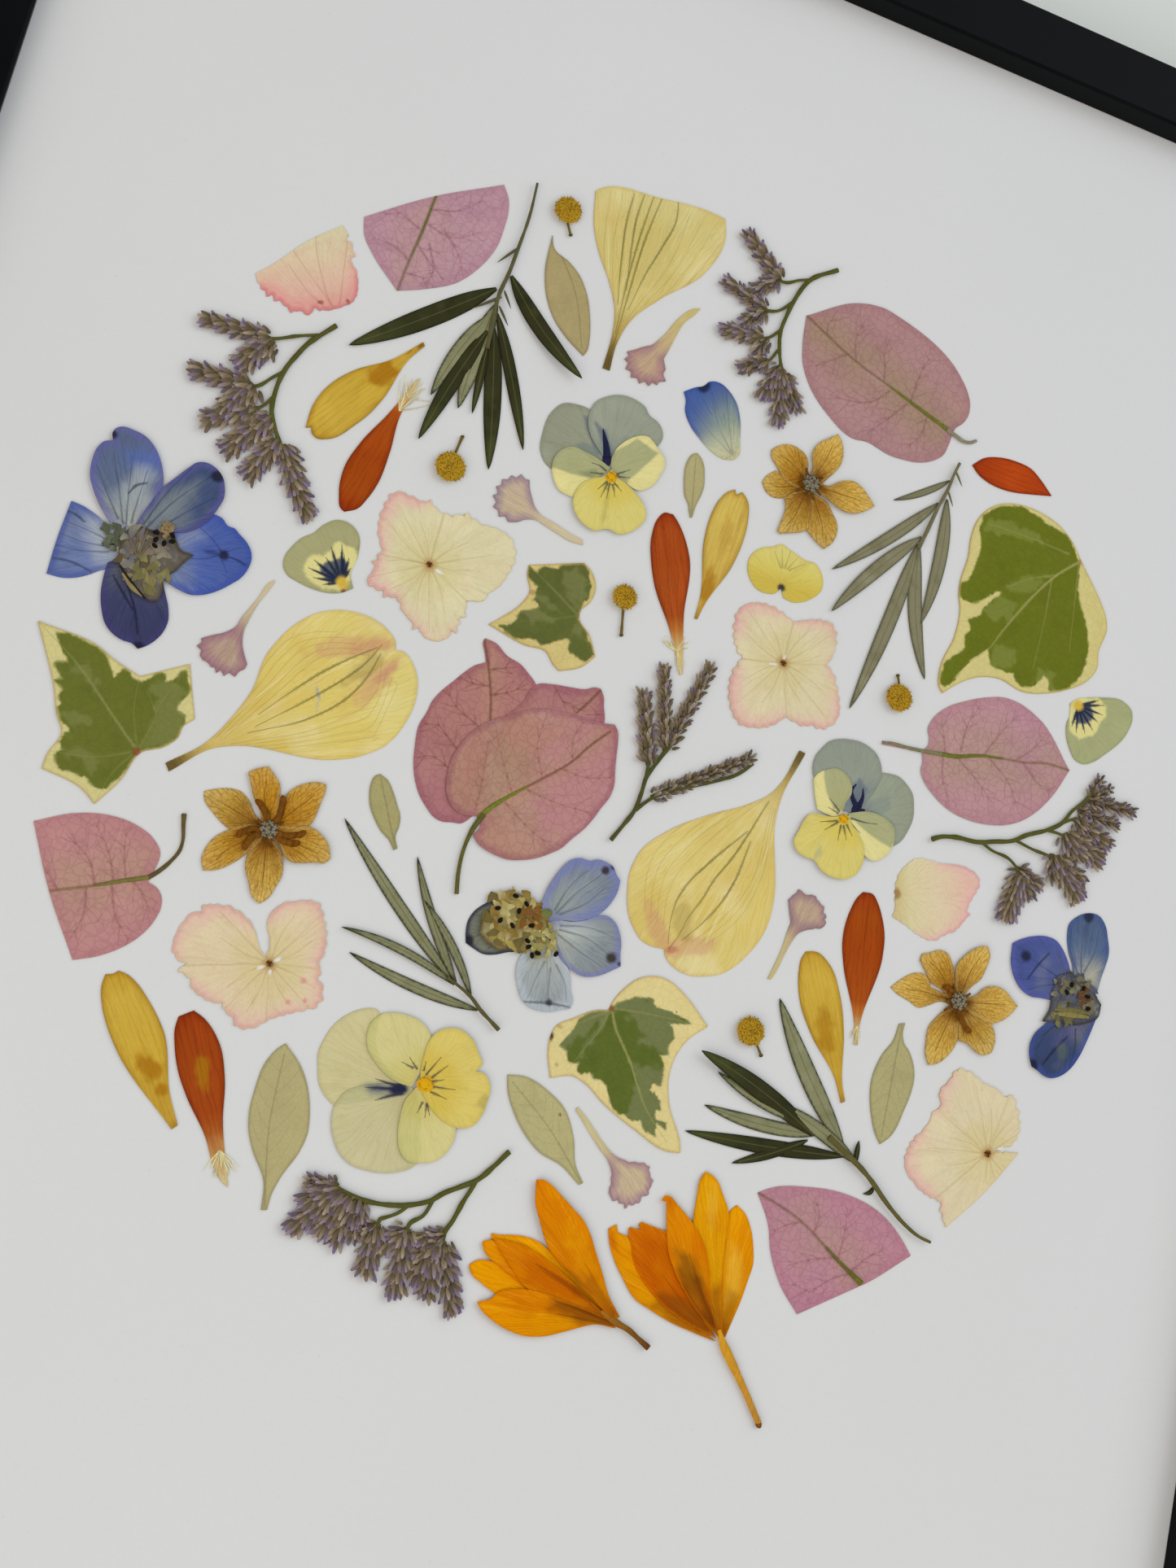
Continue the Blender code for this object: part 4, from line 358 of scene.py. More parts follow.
class Piece:
    """Gathers sheets, tubes and lumps into one mesh object of closed bodies."""

    def __init__(self):
        self.points, self.faces, self.colours, self.flows = [], [], [], []
        self.count = 0

    def add(self, points, faces, colours, flows=None):
        points = np.asarray(points, float)
        flows = np.column_stack([points[:, :2], np.ones(len(points))]) if flows is None else flows
        self.points.append(points)
        self.faces += [tuple(int(i) + self.count for i in f) for f in faces]
        self.colours.append(np.broadcast_to(colours, (len(points), 3)))
        self.flows.append(flows)
        self.count += len(points)

    def add_sheet(self, sheet, thickness, follow=False):
        """A sheet as a closed body: its top, a wall round its edge, and a back that is flat or follows it."""
        n = len(sheet.xy)
        height = np.maximum(sheet.height, LEAST_HEIGHT)
        a, b, c = (sheet.xy[sheet.faces[:, i]] for i in range(3))
        turn = (b[:, 0] - a[:, 0]) * (c[:, 1] - a[:, 1]) - (b[:, 1] - a[:, 1]) * (c[:, 0] - a[:, 0])
        faces = np.where(turn[:, None] > 0, sheet.faces, sheet.faces[:, ::-1])
        rim = {}
        for f in faces.tolist():
            for here, there in ((f[0], f[1]), (f[1], f[2]), (f[2], f[0])):
                if not rim.pop((there, here), None):
                    rim[(here, there)] = True
        rim = list(rim)
        after = dict(rim)
        ring = [rim[0][0]]
        while after[ring[-1]] != ring[0] and len(ring) < len(rim):
            ring.append(after[ring[-1]])
        back = list(range(n))
        under = faces[:, ::-1]
        if not follow:
            verts, _, under, *_ = delaunay_2d_cdt([Vector(sheet.xy[i]) for i in ring], [],
                                                  [list(range(len(ring)))], 1, 1e-5)
            if len(verts) == len(ring) == len(rim):
                back = ring
                height = np.full(n, height.min())
                under = [f[::-1] if (verts[f[1]] - verts[f[0]]).cross(verts[f[2]] - verts[f[0]]) > 0 else f
                         for f in under]
            else:
                under = faces[:, ::-1]
        place = {v: i + n for i, v in enumerate(back)}
        walls = [(place[here], place[there], there, here) for here, there in rim]
        top = np.column_stack([sheet.xy, np.maximum(sheet.height, LEAST_HEIGHT) + thickness])
        bottom = np.column_stack([sheet.xy[back], height[back]])
        # The back is painted a tenth darker than the top, so the walls darken towards their foot: painted
        # shade on the underside.
        self.add(np.concatenate([top, bottom]), [*faces, *[[i + n for i in f] for f in under], *walls],
                 np.concatenate([sheet.colour, sheet.colour[back] * 0.9]),
                 np.concatenate([sheet.flow, sheet.flow[back]]))

    def add_tube(self, line, widths, colour, height, flat=0.7, sides=8, knots=0.0, seed=0, end_colour=None):
        """A stem along a line: a flattened tube with closed ends. `line` may have heights."""
        line = np.asarray(line, float)
        if line.shape[1] == 2:
            line = np.column_stack([line, np.full(len(line), height)])
        flat_line = rounded(line[:, :2], 0.6, closed=False)
        reach = np.concatenate([[0], np.cumsum(np.hypot(*np.diff(line[:, :2], axis=0).T))])
        where = np.concatenate([[0], np.cumsum(np.hypot(*np.diff(flat_line, axis=0).T))])
        z = np.interp(where / where[-1], reach / reach[-1], line[:, 2])
        radius = np.interp(where / where[-1], np.linspace(0, 1, len(widths)), widths) / 2
        radius = radius * (1 + knots * noise(np.column_stack([where, where * 0]), 1.8, seed))
        along = np.gradient(flat_line, axis=0)
        along /= np.maximum(np.hypot(along[:, 0], along[:, 1]), 1e-9)[:, None]
        side = np.stack([-along[:, 1], along[:, 0]], 1)
        turns = np.arange(sides) * math.tau / sides
        rings = []
        for i in range(len(flat_line)):
            out = radius[i] * np.cos(turns)
            rings.append(np.column_stack([flat_line[i] + out[:, None] * side[i],
                                          z[i] + flat * radius[i] * np.sin(turns)]))
        points = np.concatenate(rings + [np.array([[*flat_line[0], z[0]], [*flat_line[-1], z[-1]]])])
        n = len(flat_line)
        faces = [(i * sides + (k + 1) % sides, i * sides + k, (i + 1) * sides + k,
                  (i + 1) * sides + (k + 1) % sides) for i in range(n - 1) for k in range(sides)]
        first, last = n * sides, n * sides + 1
        faces += [(k, (k + 1) % sides, first) for k in range(sides)]
        faces += [((n - 1) * sides + (k + 1) % sides, (n - 1) * sides + k, last) for k in range(sides)]
        shades = np.tile(colour, (len(points), 1))
        if end_colour is not None:
            share = np.repeat(where / where[-1], sides)
            share = np.concatenate([share, [0, 1]])[:, None]
            shades = shades * (1 - share) + end_colour * share
        grain = 1 + 0.16 * noise(points[:, :2], 1.2, seed + 9)
        self.add(points, faces, shades * grain[:, None])

    def add_lump(self, centre, size, colour, turn=0.0, rings=5, sides=8, rough=0.0, seed=0, pointed=0.0,
                 end_colour=None):
        """A rounded lump, longer along `turn` (degrees); pointed draws its far end out."""
        turns = np.arange(sides) * math.tau / sides
        points = [(-1.0, 0.0, 0.0)]
        for i in range(1, rings):
            phi = math.pi * i / rings
            r = math.sin(phi) * (1 - pointed * (0.5 - 0.5 * math.cos(phi)) * 0.8)
            points += [(-math.cos(phi), r * math.cos(a), r * math.sin(a)) for a in turns]
        points.append((1.0, 0.0, 0.0))
        p = np.array(points) * np.array(size) / 2
        if rough:
            p = p * (1 + rough * noise(p[:, :2] + 3.1 * p[:, 2:3] + seed, max(size) * 0.3, seed))[:, None]
        c, s = math.cos(math.radians(turn)), math.sin(math.radians(turn))
        p = np.column_stack([p[:, 0] * c - p[:, 1] * s, p[:, 0] * s + p[:, 1] * c, p[:, 2]])
        if end_colour is not None:
            share = step_up(-0.5, 0.8, np.array(points)[:, :1])
            colour = np.asarray(colour) * (1 - share) + np.asarray(end_colour) * share
        last = len(points) - 1
        faces = [(0, 1 + k, 1 + (k + 1) % sides) for k in range(sides)]
        for i in range(rings - 2):
            a, b = 1 + i * sides, 1 + (i + 1) * sides
            faces += [(a + (k + 1) % sides, a + k, b + k, b + (k + 1) % sides) for k in range(sides)]
        a = 1 + (rings - 2) * sides
        faces += [(last, a + (k + 1) % sides, a + k) for k in range(sides)]
        self.add(p + np.array(centre), faces, colour)

    def make(self, name, material, replaces=None):
        """Makes the object, which rides on the root and may replace a node of the frame."""
        points = np.concatenate(self.points)
        points = (points + np.array([0, WREATH_Y, CARD_TOP])) * MM
        mesh = bpy.data.meshes.new(name)
        mesh.from_pydata(points.tolist(), [], self.faces)
        colours = np.clip(np.concatenate(self.colours), 0, 1)
        tint = mesh.color_attributes.new("tint", "FLOAT_COLOR", "POINT")
        tint.data.foreach_set("color", np.column_stack([colours, np.ones(len(colours))]).ravel())
        flow = mesh.attributes.new("flow", "FLOAT_VECTOR", "POINT")
        flows = np.concatenate(self.flows)
        flow.data.foreach_set("vector", flows.ravel())
        mesh.shade_smooth()
        mesh.set_sharp_from_angle(angle=SHADING_TURN)
        mesh.materials.append(material)
        piece = bpy.data.objects.new(f"{name}_pressed", mesh)
        bpy.context.scene.collection.objects.link(piece)
        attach(piece, "root")
        if replaces:
            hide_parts(replaces)
        return piece


# ---------------------------------------------------------------- materials
class Nodes:
    """A small helper for writing a material's node tree."""

    def __init__(self, name):
        self.material = bpy.data.materials.new(name)
        self.material.use_nodes = True
        self.tree = self.material.node_tree
        self.shader = self.tree.nodes["Principled BSDF"]

    def node(self, kind, inputs=None, **settings):
        made = self.tree.nodes.new(kind)
        for key, value in settings.items():
            setattr(made, key, value)
        for key, value in (inputs or {}).items():
            if isinstance(value, bpy.types.NodeSocket):
                self.tree.links.new(value, made.inputs[key])
            else:
                made.inputs[key].default_value = value
        return made

    def link(self, source, target):
        self.tree.links.new(source, target)

    def noise(self, scale, detail=4.0, vector=None, roughness=0.55, distortion=0.0):
        inputs = {"Scale": scale, "Detail": detail, "Roughness": roughness, "Distortion": distortion}
        if vector is not None:
            inputs["Vector"] = vector
        return self.node("ShaderNodeTexNoise", inputs).outputs["Fac"]

    def remap(self, value, low, high, to_low=0.0, to_high=1.0):
        return self.node("ShaderNodeMapRange", {"Value": value, "From Min": low, "From Max": high,
                                                "To Min": to_low, "To Max": to_high}).outputs["Result"]

    def math(self, operation, a, b=0.0):
        return self.node("ShaderNodeMath", {0: a, 1: b}, operation=operation).outputs[0]

    def mix(self, fac, a, b, blend="MIX"):
        made = self.node("ShaderNodeMix", {"Factor": fac}, data_type="RGBA", blend_type=blend)
        for index, value in ((6, a), (7, b)):
            if isinstance(value, bpy.types.NodeSocket):
                self.link(value, made.inputs[index])
            else:
                made.inputs[index].default_value = (*value, 1.0)
        return made.outputs[2]

    def bump(self, height, strength, distance):
        return self.node("ShaderNodeBump", {"Height": height, "Strength": strength,
                                            "Distance": distance * MM}).outputs["Normal"]


def object_space(n):
    return n.node("ShaderNodeTexCoord").outputs["Object"]


def dried(name, net=0.0, net_size=2.2, net_dark=0.72, streak=0.25, streak_width=0.35, streak_length=9.0,
          grain=0.12, grain_size=0.5, rough=(0.55, 0.8), gloss=0.05, bump=0.4, sheen=0.0, fan=None):
    """The material of a dried petal or leaf: the painted tint with streaks, a vein net and grain.

    fan is (gap between the veins, their width, their colour as a factor, amount, distance where they fork).
    """
    n = Nodes(name)
    place = object_space(n)
    colour = n.node("ShaderNodeAttribute", attribute_name="tint").outputs["Color"]
    flow = n.node("ShaderNodeAttribute", attribute_name="flow").outputs["Vector"]
    stretched = n.node("ShaderNodeVectorMath", {0: flow, 1: (1 / streak_width, 1 / streak_length, 1.0)},
                       operation="MULTIPLY").outputs["Vector"]
    fibres = n.noise(1.0, 5.0, stretched, 0.6)
    darker = n.mix(1.0, colour, (0.62, 0.60, 0.58), "MULTIPLY")
    colour = n.mix(n.math("MULTIPLY", n.remap(fibres, 0.42, 0.72), streak), colour, darker)
    height = n.math("MULTIPLY", fibres, 0.5 * min(1.0, streak * 2.5))
    if fan:
        gap_mm, width, dark, amount, fork = fan
        part = n.node("ShaderNodeSeparateXYZ", {0: flow}).outputs
        slow = n.node("ShaderNodeVectorMath", {0: flow, 1: (0.4, 0.13, 0.0)},
                      operation="MULTIPLY").outputs["Vector"]
        swayed = n.math("ADD", part["X"], n.math("MULTIPLY", n.noise(1.0, 2.0, slow), 2.6 * gap_mm))
        veins = 0.0
        for step, begins in ((gap_mm, 0.0), (gap_mm / 2, fork)):
            gap = n.math("MULTIPLY", n.math("PINGPONG", swayed, step / 2), part["Z"])
            line = n.remap(gap, width * 0.3, width, 1.0, 0.0)
            if begins:
                reach = n.math("ADD", part["Y"], n.math("MULTIPLY", fibres, 3.0))
                line = n.math("MULTIPLY", line, n.remap(reach, begins + 1, begins + 3.5))
            veins = n.math("MAXIMUM", line, veins)
        veins = n.math("MULTIPLY", veins, n.remap(n.noise(2.2, 2.0, slow), 0.3, 0.62, 0.35, 1.0))
        colour = n.mix(n.math("MULTIPLY", veins, amount), colour, n.mix(1.0, colour, dark, "MULTIPLY"))
        height = n.math("ADD", height, n.math("MULTIPLY", veins, 0.4))
    if net:
        wobble = n.node("ShaderNodeTexNoise", {"Vector": place, "Scale": 900 / net_size, "Detail": 2.0})
        shifted = n.node("ShaderNodeVectorMath", {0: wobble.outputs["Color"], 1: (0.0007 * net_size,) * 3,
                                                  2: place}, operation="MULTIPLY_ADD").outputs["Vector"]
        cells = n.node("ShaderNodeTexVoronoi", {"Vector": shifted, "Scale": 1000 / net_size},
                       feature="DISTANCE_TO_EDGE").outputs["Distance"]
        line = n.remap(cells, 0.02, 0.11, 1.0, 0.0)
        darker = n.mix(1.0, colour, (net_dark, net_dark * 0.93, net_dark * 0.95), "MULTIPLY")
        colour = n.mix(n.math("MULTIPLY", line, net), colour, darker)
        height = n.math("ADD", height, n.math("MULTIPLY", line, 0.5))
    speckle = n.noise(1000 / grain_size, 4.0, place)
    patches = n.noise(240.0, 5.0, place)
    colour = n.mix(n.math("MULTIPLY", n.remap(speckle, 0.45, 0.7), grain), colour,
                   n.mix(1.0, colour, (0.72, 0.70, 0.66), "MULTIPLY"))
    colour = n.mix(n.math("MULTIPLY", n.remap(patches, 0.5, 0.75), grain), colour,
                   n.mix(1.0, colour, (1.10, 1.10, 1.12), "MULTIPLY"))
    height = n.math("ADD", height, n.math("MULTIPLY", speckle, 0.35))
    n.link(colour, n.shader.inputs["Base Color"])
    n.link(n.remap(patches, 0.3, 0.7, *rough), n.shader.inputs["Roughness"])
    n.link(n.bump(height, bump, 0.12), n.shader.inputs["Normal"])
    n.shader.inputs["Specular IOR Level"].default_value = gloss
    n.shader.inputs["Sheen Weight"].default_value = sheen
    return n.material


# ---------------------------------------------------------------- specimens of one sheet
def one_sheet(name, paint, material, base, tip, outline=None, veins=(), fine=(), *, relief,
              straight=False, stalks=(), thickness=SHEET_THICKNESS, corner=CORNER_TURN, teeth=None,
              extras=None, bare=()):
    """One petal or leaf, with any stalks as (line, widths, colour, height).

    Along the line bare the outline is left out, where a finer stalk takes its place.
    """
    border = node_outline(name) if outline is None else outline
    if len(bare):
        border = border[distance(border, rounded(bare, 0.5, closed=False))[0] > 1.6]
    sheet = Sheet(border, base, tip, veins, fine, corner=corner, teeth=teeth)
    if straight:
        sheet.straight()
    paint(sheet)
    sheet.settle(**relief)
    piece = Piece()
    piece.add_sheet(sheet, thickness)
    for line, widths, colour, height in stalks:
        piece.add_tube(line, widths, colour, height, knots=0.12)
    if extras:
        extras(piece)
    return piece.make(name, material, name if outline is None else None)


HAIR_WIDTH, HAIR_HEIGHT = 0.24, 0.25


def hairs(piece, x, y, count, length, heading, spread, colour, seed):
    """A tuft of fine hairs lying on the card, fanning out from a place."""
    for i in range(count):
        share = (i + 0.5) / count * 2 - 1
        turn = heading + spread * share + 9 * math.sin(i * 4.7 + seed)
        long = length * (0.65 + 0.35 * math.sin(i * 2.3 + seed) ** 2)
        way = np.array([math.cos(math.radians(turn)), math.sin(math.radians(turn))])
        bend = np.array([-way[1], way[0]]) * 0.22 * long * math.sin(i * 1.9 + seed)
        start = np.array([x, y])
        piece.add_tube([start, start + way * long * 0.5 + bend * 0.6, start + way * long + bend],
                       (HAIR_WIDTH, HAIR_WIDTH * 0.8, HAIR_WIDTH * 0.35),
                       colour * (0.88 + 0.12 * (i % 3)), HAIR_HEIGHT, sides=4)


CREAM = rgb(217, 208, 168)
BLUSH = rgb(222, 182, 170)
BLUSH_EDGE = rgb(208, 134, 144)
RIB_GREEN = rgb(98, 98, 34)

MAT_HYDRANGEA = dried("Dried hydrangea", net=0.12, net_size=1.3, net_dark=0.86, streak=0.14, streak_width=0.5,
                      grain=0.12, bump=0.3, fan=(2.4, 0.18, (0.84, 0.76, 0.62), 0.3, 4.0))
MAT_BRACT = dried("Dried bract", net=0.36, net_size=1.7, net_dark=0.68, streak=0.1, grain=0.2, bump=0.4)
MAT_YELLOW = dried("Pearly dried petal", streak=0.2, streak_width=0.3, streak_length=14, grain=0.1,
                   rough=(0.35, 0.55), gloss=0.1, bump=0.35, fan=(1.2, 0.13, (0.74, 0.68, 0.46), 0.3, 9.0))
MAT_RAY_YELLOW = dried("Dried yellow ray", streak=0.3, streak_width=0.2, streak_length=10, grain=0.14,
                       bump=0.45, fan=(1.0, 0.14, (0.80, 0.72, 0.5), 0.4, 60.0))
MAT_RAY_RED = dried("Dried red ray", streak=0.4, streak_width=0.2, streak_length=12, grain=0.16,
                    bump=0.45, fan=(1.1, 0.16, (0.7, 0.5, 0.4), 0.5, 60.0))
MAT_OLIVE = dried("Dried olive leaf", net=0.24, net_size=1.1, net_dark=0.84, streak=0.08, grain=0.25,
                  grain_size=0.3, bump=0.35)
MAT_IVY = dried("Dried ivy leaf", net=0.3, net_size=1.6, net_dark=0.86, streak=0.0, grain=0.2, bump=0.35)
MAT_DARK_LEAF = dried("Dried narrow leaf", streak=0.25, streak_width=0.3, streak_length=3, grain=0.3,
                      grain_size=0.35, bump=0.5)
MAT_GREY_LEAF = dried("Dried grey leaf", streak=0.2, streak_width=0.3, streak_length=3, grain=0.3,
                      grain_size=0.3, rough=(0.65, 0.9), bump=0.45, sheen=0.1)
MAT_PETAL = dried("Dried soft petal", streak=0.26, streak_width=0.3, streak_length=7, grain=0.12, bump=0.35,
                  fan=(1.3, 0.15, (0.62, 0.64, 0.74), 0.4, 6.0))
MAT_FRINGED = dried("Dried fringed petal", streak=0.2, streak_width=0.3, streak_length=7, grain=0.14,
                    bump=0.35, fan=(0.9, 0.14, (0.76, 0.66, 0.62), 0.5, 5.0))
MAT_VIOLA = dried("Dried viola petal", streak=0.14, streak_width=0.35, streak_length=8, grain=0.1, bump=0.3,
                  fan=(1.5, 0.16, (0.84, 0.82, 0.72), 0.4, 4.0))


# ---- hydrangea
def hydrangea(name, centre, seams, pinks, gaps, core=0.75, tone=CREAM, spots=()):
    """Four sepals meeting at the centre; seams are the notches between them, pinks (x, y, reach, amount)."""
    cx, cy = centre
    marks = sorted(math.atan2(y - cy, x - cx) for x, y in seams)
    middles = [(marks[i - 1] + marks[i] + (math.tau if i == 0 else 0)) / 2 for i in range(len(marks))]
    ribs = []
    for i, middle in enumerate(middles):
        for off, far in ((-0.36, 8.5), (-0.04, 13), (0.33, 9.5)):
            turn = middle + off + 0.08 * math.sin(7 * i + cx)
            way = np.array([math.cos(turn), math.sin(turn)])
            side = np.array([-way[1], way[0]])
            ribs.append([centre + way * 0.7, centre + way * far * 0.5 + side * off,
                         centre + way * far - side * off])
    edges = [[centre, np.array(centre) + (np.array(seam) - centre) * 0.96] for seam in seams.tolist()]
    s = Sheet(node_outline(name), centre, (cx + 12, cy), fine=ribs + edges, corner=FRAYED_TURN,
              teeth=(0.9, 2.0))
    away = s.xy - np.array(centre)
    angle = np.arctan2(away[:, 1], away[:, 0])
    which = np.searchsorted(marks, angle) % len(marks)
    near = np.hypot(away[:, 0], away[:, 1])
    s.flow = np.stack([angle * 9.0, near, np.clip(near / 9.0, 0.1, 3)], 1)
    s.mix(tone, 1.0)
    s.mottle(tone * 1.12, 0.6, 6.0, 21, -0.2)
    s.mottle(rgb(214, 190, 150), 0.35, 3.2, 24, 0.1)
    s.spot(cx, cy, 8.0, rgb(206, 192, 128), 0.45)
    for x, y, reach, amount in pinks:
        patch = amount * (1 - step_up(0.25, 1.0, np.hypot(*(s.xy - np.array([x, y])).T) / reach)) * s.uncut()
        s.mix(BLUSH, 0.9 * patch * (1 - step_up(0.2, 4.0, s.edge + 0.8 * noise(s.xy, 1.6, 25))))
        s.mix(BLUSH_EDGE, 0.6 * patch * (1 - step_up(0.1, 1.0, s.edge)))
    s.streaks(rgb(196, 172, 122), 0.25, 0.5, 23, 11.0)
    s.lines(ribs, rgb(176, 140, 84), 0.2, 0.42, (1.0, 0.7, 0.3))
    # Painted shade: darker lines from the centre to the notches, along the seams where the sepals overlap.
    s.lines(edges, rgb(188, 170, 122), 0.24, 0.35, (1.0, 1.0))
    s.margin(0.35, rgb(206, 186, 140), 0.5)
    s.spot(cx, cy, 1.8, rgb(178, 136, 70), 0.5)
    s.spot(cx, cy, 0.8, rgb(110, 66, 26), 0.85)
    for spot in spots:
        s.spot(*spot)
    for x, y, rx, ry, turn in gaps:
        s.spot(x, y, rx, rgb(226, 226, 224), 1.0, ry, turn, 0.05)
    s.settle(curl=0.3, ripple=0.14, rib=0.0, seed=int(abs(cx) * 7), streak=0.03)
    s.height = s.height + np.choose(which, [0.0, 0.1, 0.03, 0.13, 0.06][:len(marks)])
    piece = Piece()
    piece.add_sheet(s, SHEET_THICKNESS)
    for i in range(9):
        turn = i * 40.0 + 13
        c, sn = math.cos(math.radians(turn)), math.sin(math.radians(turn))
        piece.add_lump((cx + 0.42 * core * c, cy + 0.42 * core * sn, 0.3), (core * 0.8, core * 0.34, 0.26),
                       (rgb(110, 64, 24), rgb(74, 42, 18), rgb(150, 96, 44))[i % 3], turn, seed=i, rough=0.15)
    piece.add_lump((cx, cy, 0.36), (core * 0.6, core * 0.6, 0.3), rgb(70, 40, 18), rough=0.15)
    piece.make(name, MAT_HYDRANGEA, name)


hydrangea("hydrangea_1", (-46.3, 21.3), pts(-46, 32, -37.7, 16.7, -50, 12.5, -56, 20),
          [(-57, 31, 9, 1.0), (-53, 34, 6, 0.8), (-58, 16, 8, 1.0), (-53, 12, 6, 0.9), (-46, 8, 6, 0.6),
           (-58, 23, 6, 0.9), (-38, 9, 5, 0.35)], [(-44.2, 20.5, 1.0, 0.35, -15)])
hydrangea("hydrangea_2", (28, 25.3), pts(19.3, 23.5, 28.3, 34.4, 37.3, 27.9, 31, 14.8),
          [(17, 32, 7, 1.0), (22, 37, 7, 0.9), (18, 17, 8, 1.0), (22, 10, 7, 1.0), (28, 13, 6, 0.8),
           (37, 14, 7, 0.9), (42, 20, 6, 0.8), (37, 37, 6, 0.8), (31, 36, 5, 0.7), (40, 28, 5, 0.6)],
          [(26.0, 24.5, 1.1, 0.28, 8), (28, 26.6, 0.55, 0.3, 80)], tone=rgb(216, 204, 166))
hydrangea("hydrangea_3", (-56.5, -60.2), pts(-57.2, -57.5, -47.4, -58.8, -54.4, -70.6, -71.5, -64.8),
          [(-71, -54, 7, 0.9), (-64, -52, 6, 0.8), (-58, -49, 6, 0.9), (-50, -47, 6, 0.8), (-46, -56, 7, 0.9),
           (-45, -63, 6, 0.9), (-51, -70, 7, 0.9), (-59, -73, 6, 0.9), (-67, -70, 6, 0.8),
           (-75, -61, 6, 0.9)],
          [(-55.3, -59.2, 0.9, 0.4, 40), (-57.8, -61.3, 0.9, 0.3, 30), (-56.0, -61.7, 0.35, 0.6, 0)],
          tone=rgb(218, 200, 164),
          spots=[(-49.6, -61.5, 0.8, rgb(214, 132, 130), 0.7), (-51.5, -66, 0.6, rgb(214, 132, 130), 0.7),
                 (-48.5, -65, 0.5, rgb(208, 126, 126), 0.7)])
hydrangea("hydrangea_4", (91.5, -58.3), pts(79, -52.6, 94, -46, 94, -57.3, 82, -69.6),
          [(75, -62, 8, 0.9), (78, -69, 7, 0.9), (79, -49, 7, 0.7), (84, -74, 6, 0.5)],
          [(95.0, -56.5, 2.3, 0.35, 17)], core=0.95, tone=rgb(216, 202, 166))

PINK_RIBS = [pts(-76.5, 63.5, -80, 69, -83.5, 77, -84, 81), pts(-76, 64, -82, 68.6, -88, 73.5),
             pts(-75.6, 65, -76.6, 72, -77.6, 80), pts(-76.6, 63.2, -82, 65.6, -87, 69.6)]


def paint_pink_cut(s):
    s.gradient([(0, rgb(220, 166, 152)), (0.35, rgb(219, 178, 158)), (0.7, rgb(218, 198, 164)),
                (1, rgb(212, 202, 164))])
    s.mottle(rgb(226, 190, 172), 0.5, 3.0, 32, -0.1)
    s.mottle(rgb(208, 160, 142), 0.4, 1.8, 34, 0.0)
    pink = step_up(0.75, 0.3, s.along)
    s.margin(3.4, rgb(222, 150, 144), 0.65 * pink * s.uncut(), 0.3)
    s.margin(1.0, rgb(206, 122, 124), 0.75 * (0.3 + 0.7 * pink) * s.uncut(), 0.3)
    s.lines(PINK_RIBS, rgb(180, 130, 104), 0.2, 0.6)
    s.spot(-79.3, 64.5, 0.75, rgb(150, 84, 70), 0.85, 0.45, 20)
    s.spot(-74.3, 66.6, 0.7, rgb(120, 70, 60), 0.85, 0.35, -50)


one_sheet("petal_pink_cut", paint_pink_cut, MAT_HYDRANGEA, (-77, 62), (-84, 78), fine=PINK_RIBS,
          relief=dict(curl=0.3), corner=FRAYED_TURN, teeth=(1.1, 1.8))


def paint_hydrangea_petal(s):
    s.gradient([(0, rgb(200, 184, 126)), (0.2, rgb(216, 204, 160)), (0.65, rgb(220, 200, 168)),
                (1, rgb(222, 180, 164))])
    s.mottle(rgb(214, 188, 150), 0.4, 3.0, 42)
    s.margin(2.2, BLUSH, 0.7 * step_up(66, 72, s.xy[:, 0]))
    s.margin(0.7, BLUSH_EDGE, 0.45 * step_up(68, 73, s.xy[:, 0]))
    s.spot(61.4, -13.2, 1.5, rgb(150, 110, 60), 0.8)


one_sheet("hydrangea_petal", paint_hydrangea_petal, MAT_HYDRANGEA, (61.3, -13), (77.5, -9),
          outline=pts(61.7, -17.7, 62.5, -18, 65, -18.7, 68, -19.8, 71.7, -20, 73.7, -18.3, 75.7, -17,
                      77, -15, 77.7, -13.7, 78.5, -12.7, 77.5, -12.2, 78, -10, 78.8, -8, 79.3, -6.3,
                      78.7, -4.7, 77, -3.8, 74.3, -3.5, 72.3, -3.8, 70, -4.3, 66.7, -4.4, 64.3, -5,
                      62.7, -6.7, 61.5, -8.7, 61.1, -11.3, 61.5, -14, 62, -16), relief=dict(curl=0.4),
          teeth=(0.5, 1.8))


# ---- bracts
VEINLET_LENGTH = 4.4
VEINLET_FIRST, VEINLET_EVERY = 2, 5              # points of half a millimetre along a vein


def veinlets(veins):
    """Finer veins that branch off both sides of the drawn ones."""
    found = []
    for k, vein in enumerate(veins):
        line = rounded(vein, 0.5, closed=False)
        for i in range(VEINLET_FIRST, len(line) - 1, VEINLET_EVERY):
            way = unit(line[i + 1] - line[i - 1])
            for side in (-1, 1):
                swing = math.radians(side * (46 + 16 * math.sin(i * 3.1 + k + 1)))
                c, s = math.cos(swing), math.sin(swing)
                aim = np.array([way[0] * c - way[1] * s, way[0] * s + way[1] * c])
                aim = aim * VEINLET_LENGTH * (0.5 + 0.5 * math.sin(i * 2.3 + k * 1.7 + side) ** 2)
                bend = np.array([aim[1], -aim[0]]) * side * 0.22
                found.append(np.array([line[i], line[i] + aim * 0.5 + bend * 0.3, line[i] + aim + bend]))
    return found


